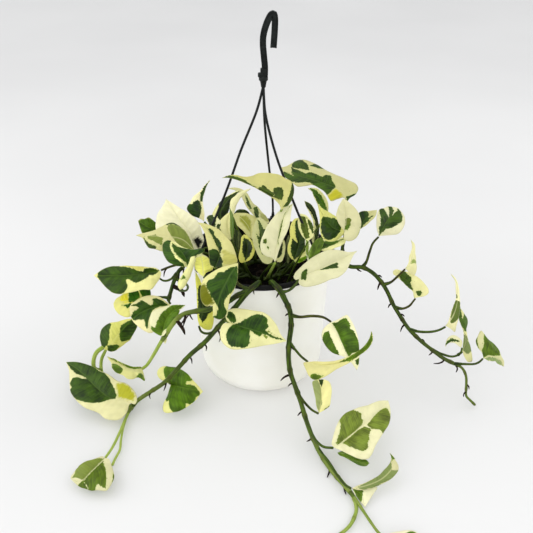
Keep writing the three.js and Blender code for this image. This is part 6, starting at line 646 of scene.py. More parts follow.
ROOTS = [
    ('stems_left', 1.9, 1.5, [[-91.4,-88.7,126.5],[-87.5,-91.9,122.5],[-84.2,-95,118.8],[-82,-98.7,114.1]]),
    ('stems_left', 1.3, 0.6, [[-80.9,-90.5,136.2],[-81.4,-94.8,130.6],[-82.4,-97.3,127.8],[-82.8,-99.3,125.9]]),
    ('stems_left', 1.0, 0.4, [[-80.4,-90.6,136.4],[-82.4,-95,130.7],[-85.5,-97.8,127.4],[-86.5,-100,125.1]]),
    ('stems_left', 0.9, 0.4, [[-77,-91.3,137.7],[-74.8,-94.3,134.1],[-72.6,-96.5,131.8]]),
    ('stems_left', 0.7, 0.3, [[-75.9,-91.5,138.1],[-79,-94.6,134.3],[-83.2,-97.9,130.2],[-85.8,-100.2,127.9]]),
    ('stems_left', 1.0, 0.4, [[-47.8,-92.4,117.4],[-44.9,-95.4,113.7],[-43.8,-98.8,109.5],[-45.3,-101.6,106.3]]),
    ('stems_left', 0.9, 0.4, [[-7.3,-84.9,167.1],[-7.9,-87.5,164.2],[-6.9,-90.6,160.5]]),
    ('stems_right', 1.1, 0.5, [[20.7,-91,164.6],[18.7,-92.7,163.2],[16.4,-95.5,160]]),
    ('stems_right', 1.0, 0.4, [[31.6,-85,132.6],[28.8,-86,132.2],[26.1,-87.7,130.8]]),
    ('stems_right', 1.2, 0.5, [[33.5,-102.4,61.4],[28.3,-103.7,60.5],[24.7,-105.4,59.1],[21.6,-107.7,56.7]]),
    ('stems_right', 0.9, 0.4, [[36.6,-106.6,53.2],[32.3,-108,52.3],[30,-109.9,50.6]]),
    ('stems_right', 1.0, 0.5, [[30.8,-92.1,93.5],[34,-93.6,92.5],[35.9,-95.6,90.6]]),
    ('stems_right', 1.0, 0.4, [[47,-123.7,27.3],[43.3,-125.5,25.7],[40.5,-127.8,23.4]]),
    ('stems_right', 1.0, 0.4, [[60.2,-157,8.3],[62.5,-159.7,5.2],[62,-162.4,2]]),
    ('stems_right', 1.0, 0.4, [[56.7,-147.7,10.6],[53.2,-149.7,8.7],[49.9,-151.1,7.8]]),
    ('stems_right', 1.0, 0.4, [[65.1,-169.1,5.6],[68.3,-170,5.4],[70.9,-172.2,3.2]]),
    ('stems_right', 1.0, 0.4, [[73.1,-185,3.5],[71.9,-189.5,0.8],[69.3,-196.3,0.8]]),
    ('stems_right', 1.0, 0.4, [[86.3,-208,3],[86,-212.1,0.8],[86.9,-218.6,0.8]]),
    ('stems_right', 0.9, 0.4, [[78.4,-194.6,3],[82.3,-196,2],[85.2,-199,0.8]]),
    ('stems_left', 1.1, 0.5, [[-89.2,-16,150.7],[-89.7,-19,147.1],[-89.6,-22.3,143]]),
    ('stems_left', 1.2, 0.5, [[-94.7,-22.3,147.3],[-95,-26.9,141.2],[-94.5,-31.1,135.6],[-93.1,-33.7,132.6]]),
    ('stems_left', 2.1, 1.9, [[-101.1,-35.4,135.8],[-90.3,-39,131.3],[-88.7,-41.4,128.7],[-87.6,-43.4,126.7]]),
    ('stems_left', 0.9, 0.4, [[-108.5,-20.3,150.6],[-111,-23.3,147],[-111.7,-26.8,142.5]]),
    ('stems_left', 1.0, 0.4, [[-109.1,-87.5,40],[-109.8,-91.2,35.3],[-111.8,-94.8,30.8]]),
    ('stems_left', 0.9, 0.4, [[-80.3,-90.7,78.5],[-77.6,-93.3,75.5],[-76.9,-96.5,71.7]]),
    ('stems_left', 0.9, 0.4, [[-62.9,-93.2,98.3],[-59.8,-96,95.1],[-60.3,-98.8,91.8]]),
    ('stems_left', 0.9, 0.4, [[-128.3,-84.4,21.5],[-130.2,-87.9,17.2],[-129,-90.2,14.7]]),
    ('stems_right', 1.1, 0.5, [[109.2,-17.5,150.6],[112,-20.1,147.7],[115.4,-21.6,146.6]]),
    ('stems_right', 1.2, 0.5, [[137.8,-29.2,137.3],[135.1,-31.7,134.7],[133.3,-35.2,130.2]]),
    ('stems_right', 1.0, 0.4, [[131.8,-25.9,143],[135.7,-26.1,144],[138.4,-27.9,142.5]]),
    ('stems_right', 1.0, 0.4, [[151.2,-39.5,115.2],[147.6,-41.3,113.6],[145.8,-43.7,111]]),
    ('stems_right', 1.0, 0.4, [[166.1,-50.8,94.1],[162.2,-53.7,90.6],[160.2,-56.9,86.6]]),
    ('stems_right', 1.0, 0.4, [[159.3,-45.7,103.1],[162.5,-46.2,103.6],[164.9,-48,102.1]]),
    ('stems_right', 1.0, 0.4, [[198.1,-66.8,67.5],[195.7,-69.2,65],[192.7,-70.8,63.7]]),
    ('stems_right', 1.0, 0.35, [[212.1,-71.5,58.8],[208.5,-73.9,56.3],[203.7,-75.3,55.4],[198.3,-75.9,55.7]]),
    ('stems_right', 1.0, 0.4, [[223.8,-74,53.5],[226.3,-77.3,49.5],[224.6,-80.2,46]]),
    ('stems_right', 0.9, 0.4, [[182.8,-59.8,77.9],[186.8,-60.6,77.9],[188.7,-62.7,75.9]]),
    ('stems_right', 0.9, 0.4, [[238.9,-80.4,29],[241.5,-82.5,26.9],[241.7,-84.8,24.4]]),
    ('stems_right', 0.9, 0.4, [[239.9,-82,19.6],[236.8,-84.4,17.1],[236.2,-86.7,14.6]]),
]

HOOK_PATH = [[4.1,0,363.1],[4.5,0,374.3],[3.5,0,386.2],[2.6,0,397],[2.9,0,405.7],[5,0,414.3],[8.1,0,421.9],[10.8,0,426],[13.2,0,426.6],[14.2,0,422.8],[14.1,0,411.5],[13,0,394.5]]
STRANDS = [
  [[2.9,0,356],[-3.8,-4,332],[-20.8,-13,291.6],[-37.6,-21,246.8],[-72.4,-38.5,168.5]],
  [[2.9,0,356],[3.9,14,315],[7.8,37,262.1],[13.4,65,198.5],[14.2,80.8,168.5]],
  [[2.9,0,356],[5,-5,328.1],[16.1,-14,286.4],[29.1,-24,252.9],[43.3,-35,220.1],[68,-45.9,168.5]],
]


# ---------------------------------------------------------------- helpers
def srgb(h):
    h = h.lstrip("#")
    out = []
    for i in (0, 2, 4):
        c = int(h[i:i + 2], 16) / 255
        out.append(c / 12.92 if c <= 0.04045 else ((c + 0.055) / 1.055) ** 2.4)
    return (*out, 1.0)


def curve(pts, n=16):
    """Centripetal Catmull-Rom through pts, read by arc fraction."""
    p = np.array(pts, float)
    l = len(p)
    out = []
    for i in range(l - 1):
        p1, p2 = p[i], p[i + 1]
        p0 = p[i - 1] if i > 0 else 2 * p[0] - p[1]
        p3 = p[i + 2] if i + 2 < l else 2 * p[-1] - p[-2]
        d0, d1, d2 = [max(1e-9, ((a - b) ** 2).sum()) ** 0.25 for a, b in ((p0, p1), (p1, p2), (p2, p3))]
        d1 = d1 if d1 > 1e-4 else 1.0
        d0 = d0 if d0 > 1e-4 else d1
        d2 = d2 if d2 > 1e-4 else d1
        t1 = ((p1 - p0) / d0 - (p2 - p0) / (d0 + d1) + (p2 - p1) / d1) * d1
        t2 = ((p2 - p1) / d1 - (p3 - p1) / (d1 + d2) + (p3 - p2) / d2) * d1
        for k in range(n):
            t = k / n
            out.append(p1 + t1 * t + (-3 * p1 + 3 * p2 - 2 * t1 - t2) * t * t + (2 * p1 - 2 * p2 + t1 + t2) * t ** 3)
    out.append(p[-1])
    out = np.array(out)
    s = np.r_[0, np.cumsum(np.linalg.norm(np.diff(out, axis=0), axis=1))]
    length = s[-1]
    s = s / length
    f = lambda t: np.stack([np.interp(t, s, out[:, k]) for k in range(3)], -1)
    f.length = length
    return f


def make_object(name, verts, faces, mats, smooth=True, attrs=None, uvs=None, mat_index=None):
    me = bpy.data.meshes.new(name)
    me.from_pydata([tuple(v) for v in verts], [], faces)
    me.validate(clean_customdata=False)
    for k, vals in (attrs or {}).items():
        a = me.attributes.new(k, "FLOAT", "POINT")
        a.data.foreach_set("value", np.asarray(vals, np.float32))
    if uvs is not None:
        uv = me.uv_layers.new(name="OFBake")
        li = np.zeros(len(me.loops), np.int32)
        me.loops.foreach_get("vertex_index", li)
        uv.data.foreach_set("uv", np.asarray(uvs, np.float32)[li].ravel())
    for m in mats:
        me.materials.append(m)
    if mat_index is not None:
        me.polygons.foreach_set("material_index", np.asarray(mat_index, np.int32))
    me.polygons.foreach_set("use_smooth", np.full(len(me.polygons), smooth))
    me.update()
    o = bpy.data.objects.new(name, me)
    bpy.context.scene.collection.objects.link(o)
    return o


def sd_polys(P, polys):
    """Signed distance from each point to the union of outlines, positive inside."""
    best = np.full(len(P), -50.0)
    for poly in polys:
        q = np.asarray(poly, float)
        if len(q) < 3:
            continue
        a, b = q, np.roll(q, -1, axis=0)
        d = b - a
        L2 = np.maximum((d ** 2).sum(1), 1e-12)
        w = P[:, None, :] - a[None]
        t = np.clip((w * d[None]).sum(2) / L2[None], 0, 1)
        dist = np.linalg.norm(w - t[..., None] * d[None], axis=2).min(1)
        cond = (a[None, :, 1] > P[:, None, 1]) != (b[None, :, 1] > P[:, None, 1])
        dy = np.where(np.abs(d[:, 1]) < 1e-12, 1e-12, d[:, 1])
        xi = a[None, :, 0] + (P[:, None, 1] - a[None, :, 1]) * d[None, :, 0] / dy[None]
        inside = (cond & (P[:, None, 0] < xi)).sum(1) % 2 == 1
        best = np.maximum(best, np.where(inside, dist, -dist))
    return best


class Net:
    """Small builder for shader nodes."""

    def __init__(self, name):
        self.m = bpy.data.materials.new(name)
        self.m.use_nodes = True
        self.t = self.m.node_tree
        self.t.nodes.clear()
        self.out = self.t.nodes.new("ShaderNodeOutputMaterial")
        self.b = self.t.nodes.new("ShaderNodeBsdfPrincipled")
        self.t.links.new(self.b.outputs[0], self.out.inputs[0])

    def n(self, kind, **kw):
        x = self.t.nodes.new(kind)
        for k, v in kw.items():
            setattr(x, k, v)
        return x

    def put(self, sock, v):
        if hasattr(v, "is_linked") or isinstance(v, bpy.types.NodeSocket):
            self.t.links.new(v, sock)
        else:
            sock.default_value = v

    def attr(self, name):
        x = self.n("ShaderNodeAttribute", attribute_name=name)
        return x.outputs["Fac"]

    def math(self, op, a, b=0.0, c=None, clamp=False):
        x = self.n("ShaderNodeMath", operation=op, use_clamp=clamp)
        self.put(x.inputs[0], a)
        self.put(x.inputs[1], b)
        if c is not None:
            self.put(x.inputs[2], c)
        return x.outputs[0]

    def ramp(self, v, lo, hi, a=0.0, b=1.0, smooth=True):
        x = self.n("ShaderNodeMapRange", interpolation_type="SMOOTHSTEP" if smooth else "LINEAR")
        self.put(x.inputs[0], v)
        x.inputs[1].default_value, x.inputs[2].default_value = lo, hi
        x.inputs[3].default_value, x.inputs[4].default_value = a, b
        return x.outputs[0]

    def xyz(self, a, b, c):
        x = self.n("ShaderNodeCombineXYZ")
        for i, v in enumerate((a, b, c)):
            self.put(x.inputs[i], v)
        return x.outputs[0]

    def noise(self, vec, scale=1.0, detail=2.0, rough=0.5, color=False):
        x = self.n("ShaderNodeTexNoise")
        if vec is not None:
            self.put(x.inputs["Vector"], vec)
        x.inputs["Scale"].default_value = scale
        x.inputs["Detail"].default_value = detail
        x.inputs["Roughness"].default_value = rough
        return x.outputs["Color" if color else "Fac"]

    def voronoi(self, vec, scale, feature="F1"):
        x = self.n("ShaderNodeTexVoronoi", feature=feature)
        self.put(x.inputs["Vector"], vec)
        x.inputs["Scale"].default_value = scale
        return x.outputs["Distance"]

    def mix(self, f, a, b, kind="MIX"):
        x = self.n("ShaderNodeMix", data_type="RGBA", blend_type=kind)
        self.put(x.inputs[0], f)
        self.put(x.inputs[6], a)
        self.put(x.inputs[7], b)
        return x.outputs[2]

    def coords(self):
        return self.n("ShaderNodeTexCoord").outputs["Object"]

    def bump(self, h, dist, strength=1.0):
        x = self.n("ShaderNodeBump")
        x.inputs["Strength"].default_value = strength
        x.inputs["Distance"].default_value = dist
        self.put(x.inputs["Height"], h)
        self.t.links.new(x.outputs[0], self.b.inputs["Normal"])

    def set(self, **kw):
        for k, v in kw.items():
            self.put(self.b.inputs[k.replace("_", " ")], v)
        return self


def shade(c, k):
    return (min(1, c[0] * k), min(1, c[1] * k), min(1, c[2] * k), 1.0)


def lerp(a, b, f):
    return tuple(a[i] * (1 - f) + b[i] * f for i in range(3)) + (1.0,)


# ---------------------------------------------------------------- materials
def leaf_material(name, cg, cc, cr, cy, seed):
    n = Net(name)
    G, C, R, Y = srgb(cg), srgb(cc), srgb(cr), srgb(cy)
    sg, sr, sy = n.attr("sg"), n.attr("sr"), n.attr("sy")
    vx, vd, ed, side, vein = n.attr("vx"), n.attr("vd"), n.attr("edge"), n.attr("side"), n.attr("vein")
    ad = n.math("ABSOLUTE", vd)
    # noise drawn out along the side veins, so patch edges are feathered along them
    jag = n.noise(n.xyz(n.math("MULTIPLY", vx, 0.62), n.math("MULTIPLY", vd, 0.13), seed * 1.7), 1.0, 3.0, 0.55)
    fine = n.noise(n.xyz(n.math("MULTIPLY", vx, 1.5), n.math("MULTIPLY", vd, 0.35), seed * 2.3), 1.0, 2.0, 0.5)
    jg = n.math("MULTIPLY_ADD", n.math("SUBTRACT", jag, 0.5), 3.4, n.math("MULTIPLY", n.math("SUBTRACT", fine, 0.5), 1.5))
    mg = n.ramp(n.math("ADD", sg, jg), -0.14, 0.16)
    mr = n.ramp(n.math("ADD", sr, jg), -0.2, 0.3)
    my = n.ramp(n.math("ADD", sy, n.math("MULTIPLY", jg, 1.6)), -1.4, 1.6)
    # flecks of green in the pale part, close to the green
    fleck = n.noise(n.xyz(n.math("MULTIPLY", vx, 0.9), n.math("MULTIPLY", vd, 0.45), seed * 3.1 + 5), 1.0, 1.0, 0.4)
    near = n.ramp(sg, -9.0, -1.0)
    mf = n.math("MULTIPLY", n.ramp(fleck, 0.71, 0.76), near)
    # tones inside each colour
    big = n.noise(n.xyz(n.math("MULTIPLY", vx, 0.09), n.math("MULTIPLY", vd, 0.09), seed), 1.0, 2.0, 0.5)
    streak = n.noise(n.xyz(n.math("MULTIPLY", vx, 1.1), n.math("MULTIPLY", vd, 0.06), seed + 9), 1.0, 3.0, 0.6)
    rib = n.ramp(ad, 1.15, 0.35)
    # pale part
    pale = n.mix(n.ramp(big, 0.3, 0.72), shade(C, 1.06), lerp(shade(C, 0.93), (0.6, 0.62, 0.22, 1), 0.07))
    pale = n.mix(n.math("MULTIPLY", n.ramp(streak, 0.46, 0.72), 0.3), pale, lerp(C, (0.55, 0.6, 0.2, 1), 0.22))
    halo = n.math("MULTIPLY", n.ramp(sg, -2.6, 0.0), 0.3)
    pale = n.mix(halo, pale, lerp(C, (0.42, 0.52, 0.1, 1), 0.6))
    pale = n.mix(n.math("MULTIPLY", vein, 0.12), pale, lerp(C, (0.5, 0.56, 0.18, 1), 0.4))
    # yellow green part
    yel = n.mix(n.ramp(streak, 0.35, 0.7), Y, shade(Y, 0.8))
    # grey green part
    grey = n.mix(n.ramp(n.math("ADD", streak, n.math("MULTIPLY", big, 0.4)), 0.5, 0.9), shade(R, 0.92), shade(R, 1.25))
    # green part: noise swings the green between half and about 1.65 times its colour, partly real mottling and partly
    # painted highlights and fold shade
    bright = lerp(shade(G, 1.65), (0.16, 0.3, 0.01, 1), 0.16)
    grn = n.mix(n.ramp(n.math("ADD", n.math("MULTIPLY", streak, 0.55), n.math("MULTIPLY", big, 0.6)), 0.38, 0.8), shade(G, 0.5), bright)
    grn = n.mix(n.math("MULTIPLY", vein, 0.2), grn, lerp(shade(G, 1.7), (0.2, 0.34, 0.04, 1), 0.2))
    inner = n.math("MULTIPLY", n.ramp(sg, 2.0, 0.2), 0.25)
    grn = n.mix(inner, grn, bright)
    col = n.mix(my, pale, yel)
    col = n.mix(mr, col, grey)
    col = n.mix(n.math("MULTIPLY", mf, 0.5), col, shade(G, 1.5))
    col = n.mix(mg, col, grn)
    # midrib, paler and a little yellow
    ribcol = n.mix(mg, lerp(C, (0.6, 0.62, 0.3, 1), 0.35), lerp(shade(G, 1.7), (0.24, 0.36, 0.06, 1), 0.25))
    col = n.mix(n.math("MULTIPLY", rib, 0.5), col, ribcol)
    # thin dry line at the margin, and a duller, paler underside
    col = n.mix(n.math("MULTIPLY", n.ramp(ed, 0.55, 0.1), 0.35), col, lerp(C, (0.45, 0.38, 0.16, 1), 0.25))
    under = n.mix(0.3, col, (0.3, 0.4, 0.16, 1))
    col = n.mix(n.attr("dull"), col, under)
    pores = n.voronoi(n.coords(), 1500.0)
    h = n.math("MULTIPLY_ADD", vein, 0.6, n.math("MULTIPLY_ADD", pores, 0.14, n.math("MULTIPLY", streak, 0.5)))
    n.bump(h, 0.00035, 0.55)
    rough = n.math("MULTIPLY_ADD", big, 0.14, n.math("MULTIPLY_ADD", side, -0.16, 0.47))
    rough = n.math("ADD", rough, n.math("MULTIPLY", pores, 0.05))
    n.set(Base_Color=col, Roughness=rough)
    n.b.inputs["Specular IOR Level"].default_value = 0.16
    n.b.inputs["Subsurface Weight"].default_value = 0.06
    n.b.inputs["Subsurface Radius"].default_value = (0.9, 1.0, 0.5)
    n.b.inputs["Subsurface Scale"].default_value = 0.0012
    return n.m


def stem_material(name, young):
    n = Net(name)
    along, ang, tone, node = n.attr("along"), n.attr("ang"), n.attr("tone"), n.attr("node")
    c = n.coords()
    streak = n.noise(n.xyz(n.math("MULTIPLY", n.math("COSINE", ang), 1.6), n.math("MULTIPLY", n.math("SINE", ang), 1.6), n.math("MULTIPLY", along, 0.05)), 1.3, 3.0, 0.55)
    mott = n.noise(c, 130.0, 3.0, 0.6)
    spot = n.noise(c, 700.0, 2.0, 0.5)
    green = srgb("#46600c") if not young else srgb("#566f16")
    dark = srgb("#18240a") if not young else srgb("#26360a")
    palec = srgb("#aab95c")
    brown = srgb("#2a1a0c")
    col = n.mix(n.ramp(streak, 0.4, 0.66), dark, green)
    col = n.mix(n.ramp(tone, 0.0, 1.0), col, n.mix(n.ramp(streak, 0.3, 0.7), palec, srgb("#7f9a35")))
    bm = n.math("ADD", n.math("MULTIPLY", n.ramp(mott, 0.58, 0.72), 0.14), n.math("MULTIPLY", node, 0.35), clamp=True)
    bm = n.math("ADD", bm, n.math("MULTIPLY", n.ramp(tone, 0.0, -1.0), 0.75), clamp=True)
    col = n.mix(bm, col, n.mix(n.ramp(streak, 0.35, 0.7), brown, srgb("#5a4022")))
    col = n.mix(n.math("MULTIPLY", n.ramp(spot, 0.66, 0.74), 0.25), col, srgb("#86982f"))
    if young:
        # painted shade: young stalks are darkened towards near-black below 0.176 m height, fully at 0.15 m, where the
        # leaves shade the crown
        sep = n.n("ShaderNodeSeparateXYZ")
        n.put(sep.inputs[0], c)
        painted_shade_low = n.math("MULTIPLY", n.ramp(sep.outputs[2], 0.176, 0.15), 0.72)
        col = n.mix(painted_shade_low, col, n.mix(n.ramp(streak, 0.3, 0.7), srgb("#0b1203"), srgb("#1f2c07")))
    n.bump(n.math("MULTIPLY_ADD", streak, 0.8, n.math("MULTIPLY", spot, 0.35)), 0.0004, 0.7)
    n.set(Base_Color=col, Roughness=n.math("MULTIPLY_ADD", mott, 0.25, 0.4))
    n.b.inputs["Specular IOR Level"].default_value = 0.16
    n.b.inputs["Subsurface Weight"].default_value = 0.08
    n.b.inputs["Subsurface Radius"].default_value = (0.8, 1.0, 0.3)
    n.b.inputs["Subsurface Scale"].default_value = 0.0015
    return n.m


def root_material():
    n = Net("aerial_root")
    c = n.coords()
    a = n.noise(c, 420.0, 4.0, 0.6)
    col = n.mix(n.ramp(a, 0.35, 0.68), srgb("#0b0705"), srgb("#2c1d11"))
    col = n.mix(n.math("MULTIPLY", n.ramp(n.noise(c, 900.0, 2.0), 0.6, 0.75), 0.35), col, srgb("#6b4f30"))
    n.bump(n.noise(c, 1500.0, 3.0), 0.0004, 0.8)
    n.set(Base_Color=col, Roughness=n.ramp(a, 0.2, 0.8, 0.55, 0.85))
    n.b.inputs["Specular IOR Level"].default_value = 0.12
    return n.m


def pot_material():
    n = Net("white_matte_pot")
    c = n.coords()
    a = n.noise(c, 18.0, 3.0, 0.5)
    b = n.noise(c, 900.0, 3.0, 0.6)
    sp = n.noise(c, 260.0, 2.0, 0.5)
    col = n.mix(n.ramp(a, 0.3, 0.7), srgb("#faf9f2"), srgb("#f5f3e9"))
    col = n.mix(n.math("MULTIPLY", n.ramp(sp, 0.7, 0.78), 0.25), col, srgb("#e8e5d8"))
    n.bump(n.math("MULTIPLY_ADD", a, 0.6, n.math("MULTIPLY", b, 0.35)), 0.00025, 0.5)
    n.set(Base_Color=col, Roughness=n.ramp(n.math("ADD", a, n.math("MULTIPLY", b, 0.3)), 0.3, 0.9, 0.42, 0.58))
    n.b.inputs["Specular IOR Level"].default_value = 0.4
    return n.m


def plastic_material(name, base, hi, r0, r1, scale):
    n = Net(name)
    c = n.coords()
    a = n.noise(c, scale, 4.0, 0.6)
    b = n.noise(c, 60.0, 2.0, 0.5)
    col = n.mix(n.ramp(n.math("ADD", n.math("MULTIPLY", a, 0.6), n.math("MULTIPLY", b, 0.5)), 0.4, 0.8), srgb(base), srgb(hi))
    n.bump(n.math("MULTIPLY_ADD", a, 0.7, n.math("MULTIPLY", n.voronoi(c, 1100.0), 0.3)), 0.0002, 0.6)
    n.set(Base_Color=col, Roughness=n.ramp(b, 0.25, 0.75, r0, r1))
    n.b.inputs["Specular IOR Level"].default_value = 0.14
    return n.m


def soil_material():
    n = Net("potting_mix")
    c = n.coords()
    a = n.noise(c, 120.0, 6.0, 0.7)
    v = n.voronoi(c, 320.0)
    col = n.mix(n.ramp(a, 0.35, 0.7), srgb("#050403"), srgb("#110c08"))
    col = n.mix(n.math("MULTIPLY", n.ramp(v, 0.25, 0.05), 0.4), col, srgb("#1c1510"))
    n.bump(n.math("ADD", a, v), 0.0012, 1.0)
    n.set(Base_Color=col, Roughness=n.ramp(a, 0.3, 0.8, 0.8, 0.98))
    n.b.inputs["Specular IOR Level"].default_value = 0.05
    return n.m


def chip_material():
    n = Net("bark_chip")
    c = n.coords()
    a = n.noise(c, 300.0, 5.0, 0.65)
    col = n.mix(n.ramp(a, 0.3, 0.7), srgb("#0a0705"), srgb("#20170f"))
    n.bump(a, 0.0008, 1.0)
    n.set(Base_Color=col, Roughness=n.ramp(a, 0.3, 0.8, 0.7, 0.95))
    n.b.inputs["Specular IOR Level"].default_value = 0.08
    return n.m


STEM = stem_material("vine_skin", False)
YOUNG = stem_material("young_stalk_skin", True)
ROOT = root_material()
POT = pot_material()
LINER = plastic_material("black_moulded_pot", "#050505", "#0e0f0f", 0.5, 0.66, 500.0)
HANGER = plastic_material("hanger_moulded_black", "#0e1110", "#262b29", 0.36, 0.5, 380.0)
SOIL = soil_material()
CHIP = chip_material()

CAM_LOC = Vector((0.00607, -0.7078, 0.5680))
CAM_AIM = Vector((0.00607, 0.0, 0.14034))


# ---------------------------------------------------------------- leaves
def build_leaf(row, index):
    name, slot, mid, A, B, green, grey, yel, cg, cc, cr, cy, flip = row
    seed = index * 3.37 + 1.0
    cm, ca, cb = curve(mid), curve(A), curve(B)
    margin = max(ca.length, cb.length)
    rows = int(min(64, max(26, round(margin / 1.5))))
    cols = 14
    # rows are evenly spaced; the midrib is read at t**1.12, a little closer together towards the base
    t = np.linspace(0, 1, rows + 1)
    M, PA, PB = cm(t ** 1.12), ca(t), cb(t)
    s = np.linspace(-1, 1, 2 * cols + 1)
    a = np.abs(s)
    sidep = np.where((s < 0)[None, :, None], PA[:, None, :], PB[:, None, :])
    P = M[:, None, :] + (sidep - M[:, None, :]) * a[None, :, None]
    base = P.copy()
    L = cm.length
    # flat map of the blade, for the patches
    ctr = base.reshape(-1, 3).mean(0)
    U = np.linalg.svd(base.reshape(-1, 3) - ctr, full_matrices=False)[2][:2]

    def surf(q):
        tt, ss = q
        side = ca if ss < 0 else cb
        m = cm(min(1.0, tt) ** 1.12)
        return m + (side(tt) - m) * abs(ss)

    def flat(polys):
        return [np.array([(surf(q) - ctr) @ U.T for q in poly]) for poly in polys]

    flatP = (base.reshape(-1, 3) - ctr) @ U.T
    sg, sr, sy = [sd_polys(flatP, flat(p)).reshape(P.shape[:2]) for p in (green, grey, yel)]

    def normals(Q):
        du = np.gradient(Q, axis=0)
        dv = np.gradient(Q, axis=1)
        n = np.cross(du, dv)
        ln = np.linalg.norm(n, axis=2, keepdims=True)
        n = n / np.maximum(ln, 1e-9)
        n[0] = n[1]
        n[-1] = n[-2]
        return n

    N = normals(P)
    view = np.array(CAM_LOC) * 1000 - P.reshape(-1, 3).mean(0)
    if (N.reshape(-1, 3).mean(0) @ view) < 0:
        N = -N
    if flip:
        N = -N
    width = np.linalg.norm(sidep - M[:, None, :], axis=2)
    d = width * a[None, :]
    env = np.sin(np.pi * np.clip(t, 0, 1))[:, None] ** 0.6
    tl = (t * L)[:, None]
    # side veins sweep forward from the midrib
    ph = (tl - 0.42 * d + 0.004 * d ** 2) / 7.0 + 0.13 * np.sin(seed)
    sgn = np.where(s < 0, 0.5, 0.0)[None, :]
    cosv = np.cos(2 * np.pi * (ph + sgn * 0.7))
    vein = np.clip((cosv - 0.72) / 0.28, 0, 1) ** 1.5 * np.clip(d / 2.0, 0, 1) * (1 - a[None, :] ** 5) * env
    low = np.array([[noise.noise(Vector((tt * 3.1 + seed, ss * 1.6, seed * 0.7))) for ss in s] for tt in t])
    edge_n = np.array([[noise.noise(Vector((tt * 9.0 + seed * 2, 3.0 * np.sign(ss), seed))) for ss in s] for tt in t])
    wmax = width.max()
    disp = (0.085 * width * 4 * a[None, :] * (1 - a[None, :])) * env
    disp += -0.55 * np.exp(-(d / 1.0) ** 2) * env
    disp += (0.2 * cosv * np.clip(d / 3.0, 0, 1) * (1 - a[None, :] ** 3)) * env
    disp += low * 0.028 * wmax * env * (1 - a[None, :] ** 4 * 0.5)
    disp += edge_n * 0.9 * (a[None, :] ** 4) * env
    P = P + N * disp[..., None]
    N2 = normals(P)
    if (N2.reshape(-1, 3).mean(0) @ N.reshape(-1, 3).mean(0)) < 0:
        N2 = -N2
    th = 0.26 * (1 - 0.6 * a[None, :] ** 2) * np.ones_like(d)
    ribh = 0.75 * np.exp(-(d / 0.9) ** 2) * (1 - 0.75 * t[:, None])
    ribh[0], ribh[-1] = 0.5, 0.1
    top = P + N2 * th[..., None]
    bot = P - N2 * (th + ribh + 0.18 * vein)[..., None]
    for Q, floor_z in ((top, 0.9), (bot, 0.3)):
        Q[..., 2] = np.maximum(Q[..., 2], floor_z)
    nr, nc = rows + 1, 2 * cols + 1
    verts, ids = [], np.zeros((2, nr, nc), int)
    at = {k: [] for k in ("sg", "sr", "sy", "vx", "vd", "edge", "side", "vein", "dull")}
    uvs = []
    edge = np.minimum(width * (1 - a[None, :]), np.minimum(tl, (1 - t[:, None]) * L) + 0.4)
    for k, Q in enumerate((top, bot)):
        for i in range(nr):
            for j in range(nc):
                if i in (0, nr - 1) and j > 0:
                    ids[k, i, j] = ids[k, i, 0]
                    continue
                ids[k, i, j] = len(verts)
                jj = cols if i in (0, nr - 1) else j
                verts.append(Q[i, jj] * MM)
                at["sg"].append(sg[i, jj])
                at["sr"].append(sr[i, jj])
                at["sy"].append(sy[i, jj])
                at["vx"].append(t[i] * L - 0.42 * d[i, jj] + 40 * (s[jj] < 0))
                at["vd"].append(d[i, jj] * (1 if s[jj] >= 0 else -1))
                at["edge"].append(edge[i, jj])
                at["side"].append(1.0 - k)
                at["dull"].append(float(k != flip))
                at["vein"].append(vein[i, jj])
                uvs.append((0.01 + 0.48 * (s[jj] + 1) / 2 + 0.5 * k, 0.01 + 0.98 * t[i]))
    faces = []

    def quad(*q):
        u = []
        for x in q:
            if x not in u:
                u.append(int(x))
        if len(u) >= 3:
            faces.append(u)

    for i in range(nr - 1):
        for j in range(nc - 1):
            q, r = ids[0], ids[1]
            quad(q[i, j], q[i, j + 1], q[i + 1, j + 1], q[i + 1, j])
            quad(r[i, j], r[i + 1, j], r[i + 1, j + 1], r[i, j + 1])
        quad(ids[0, i, 0], ids[0, i + 1, 0], ids[1, i + 1, 0], ids[1, i, 0])
        quad(ids[0, i, nc - 1], ids[1, i, nc - 1], ids[1, i + 1, nc - 1], ids[0, i + 1, nc - 1])
    mat = leaf_material("skin_" + name, cg, cc, cr, cy, seed)
    o = make_object(name.replace("leaf_", "blade_"), verts, faces, [mat], attrs=at, uvs=uvs)
    bm = bmesh.new()
    bm.from_mesh(o.data)
    bmesh.ops.recalc_face_normals(bm, faces=bm.faces)
    bm.to_mesh(o.data)
    bm.free()
    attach(o, "root")
    if name in NODES:
        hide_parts(name)
    return o


for i, row in enumerate(LEAVES):
    build_leaf(row, i)


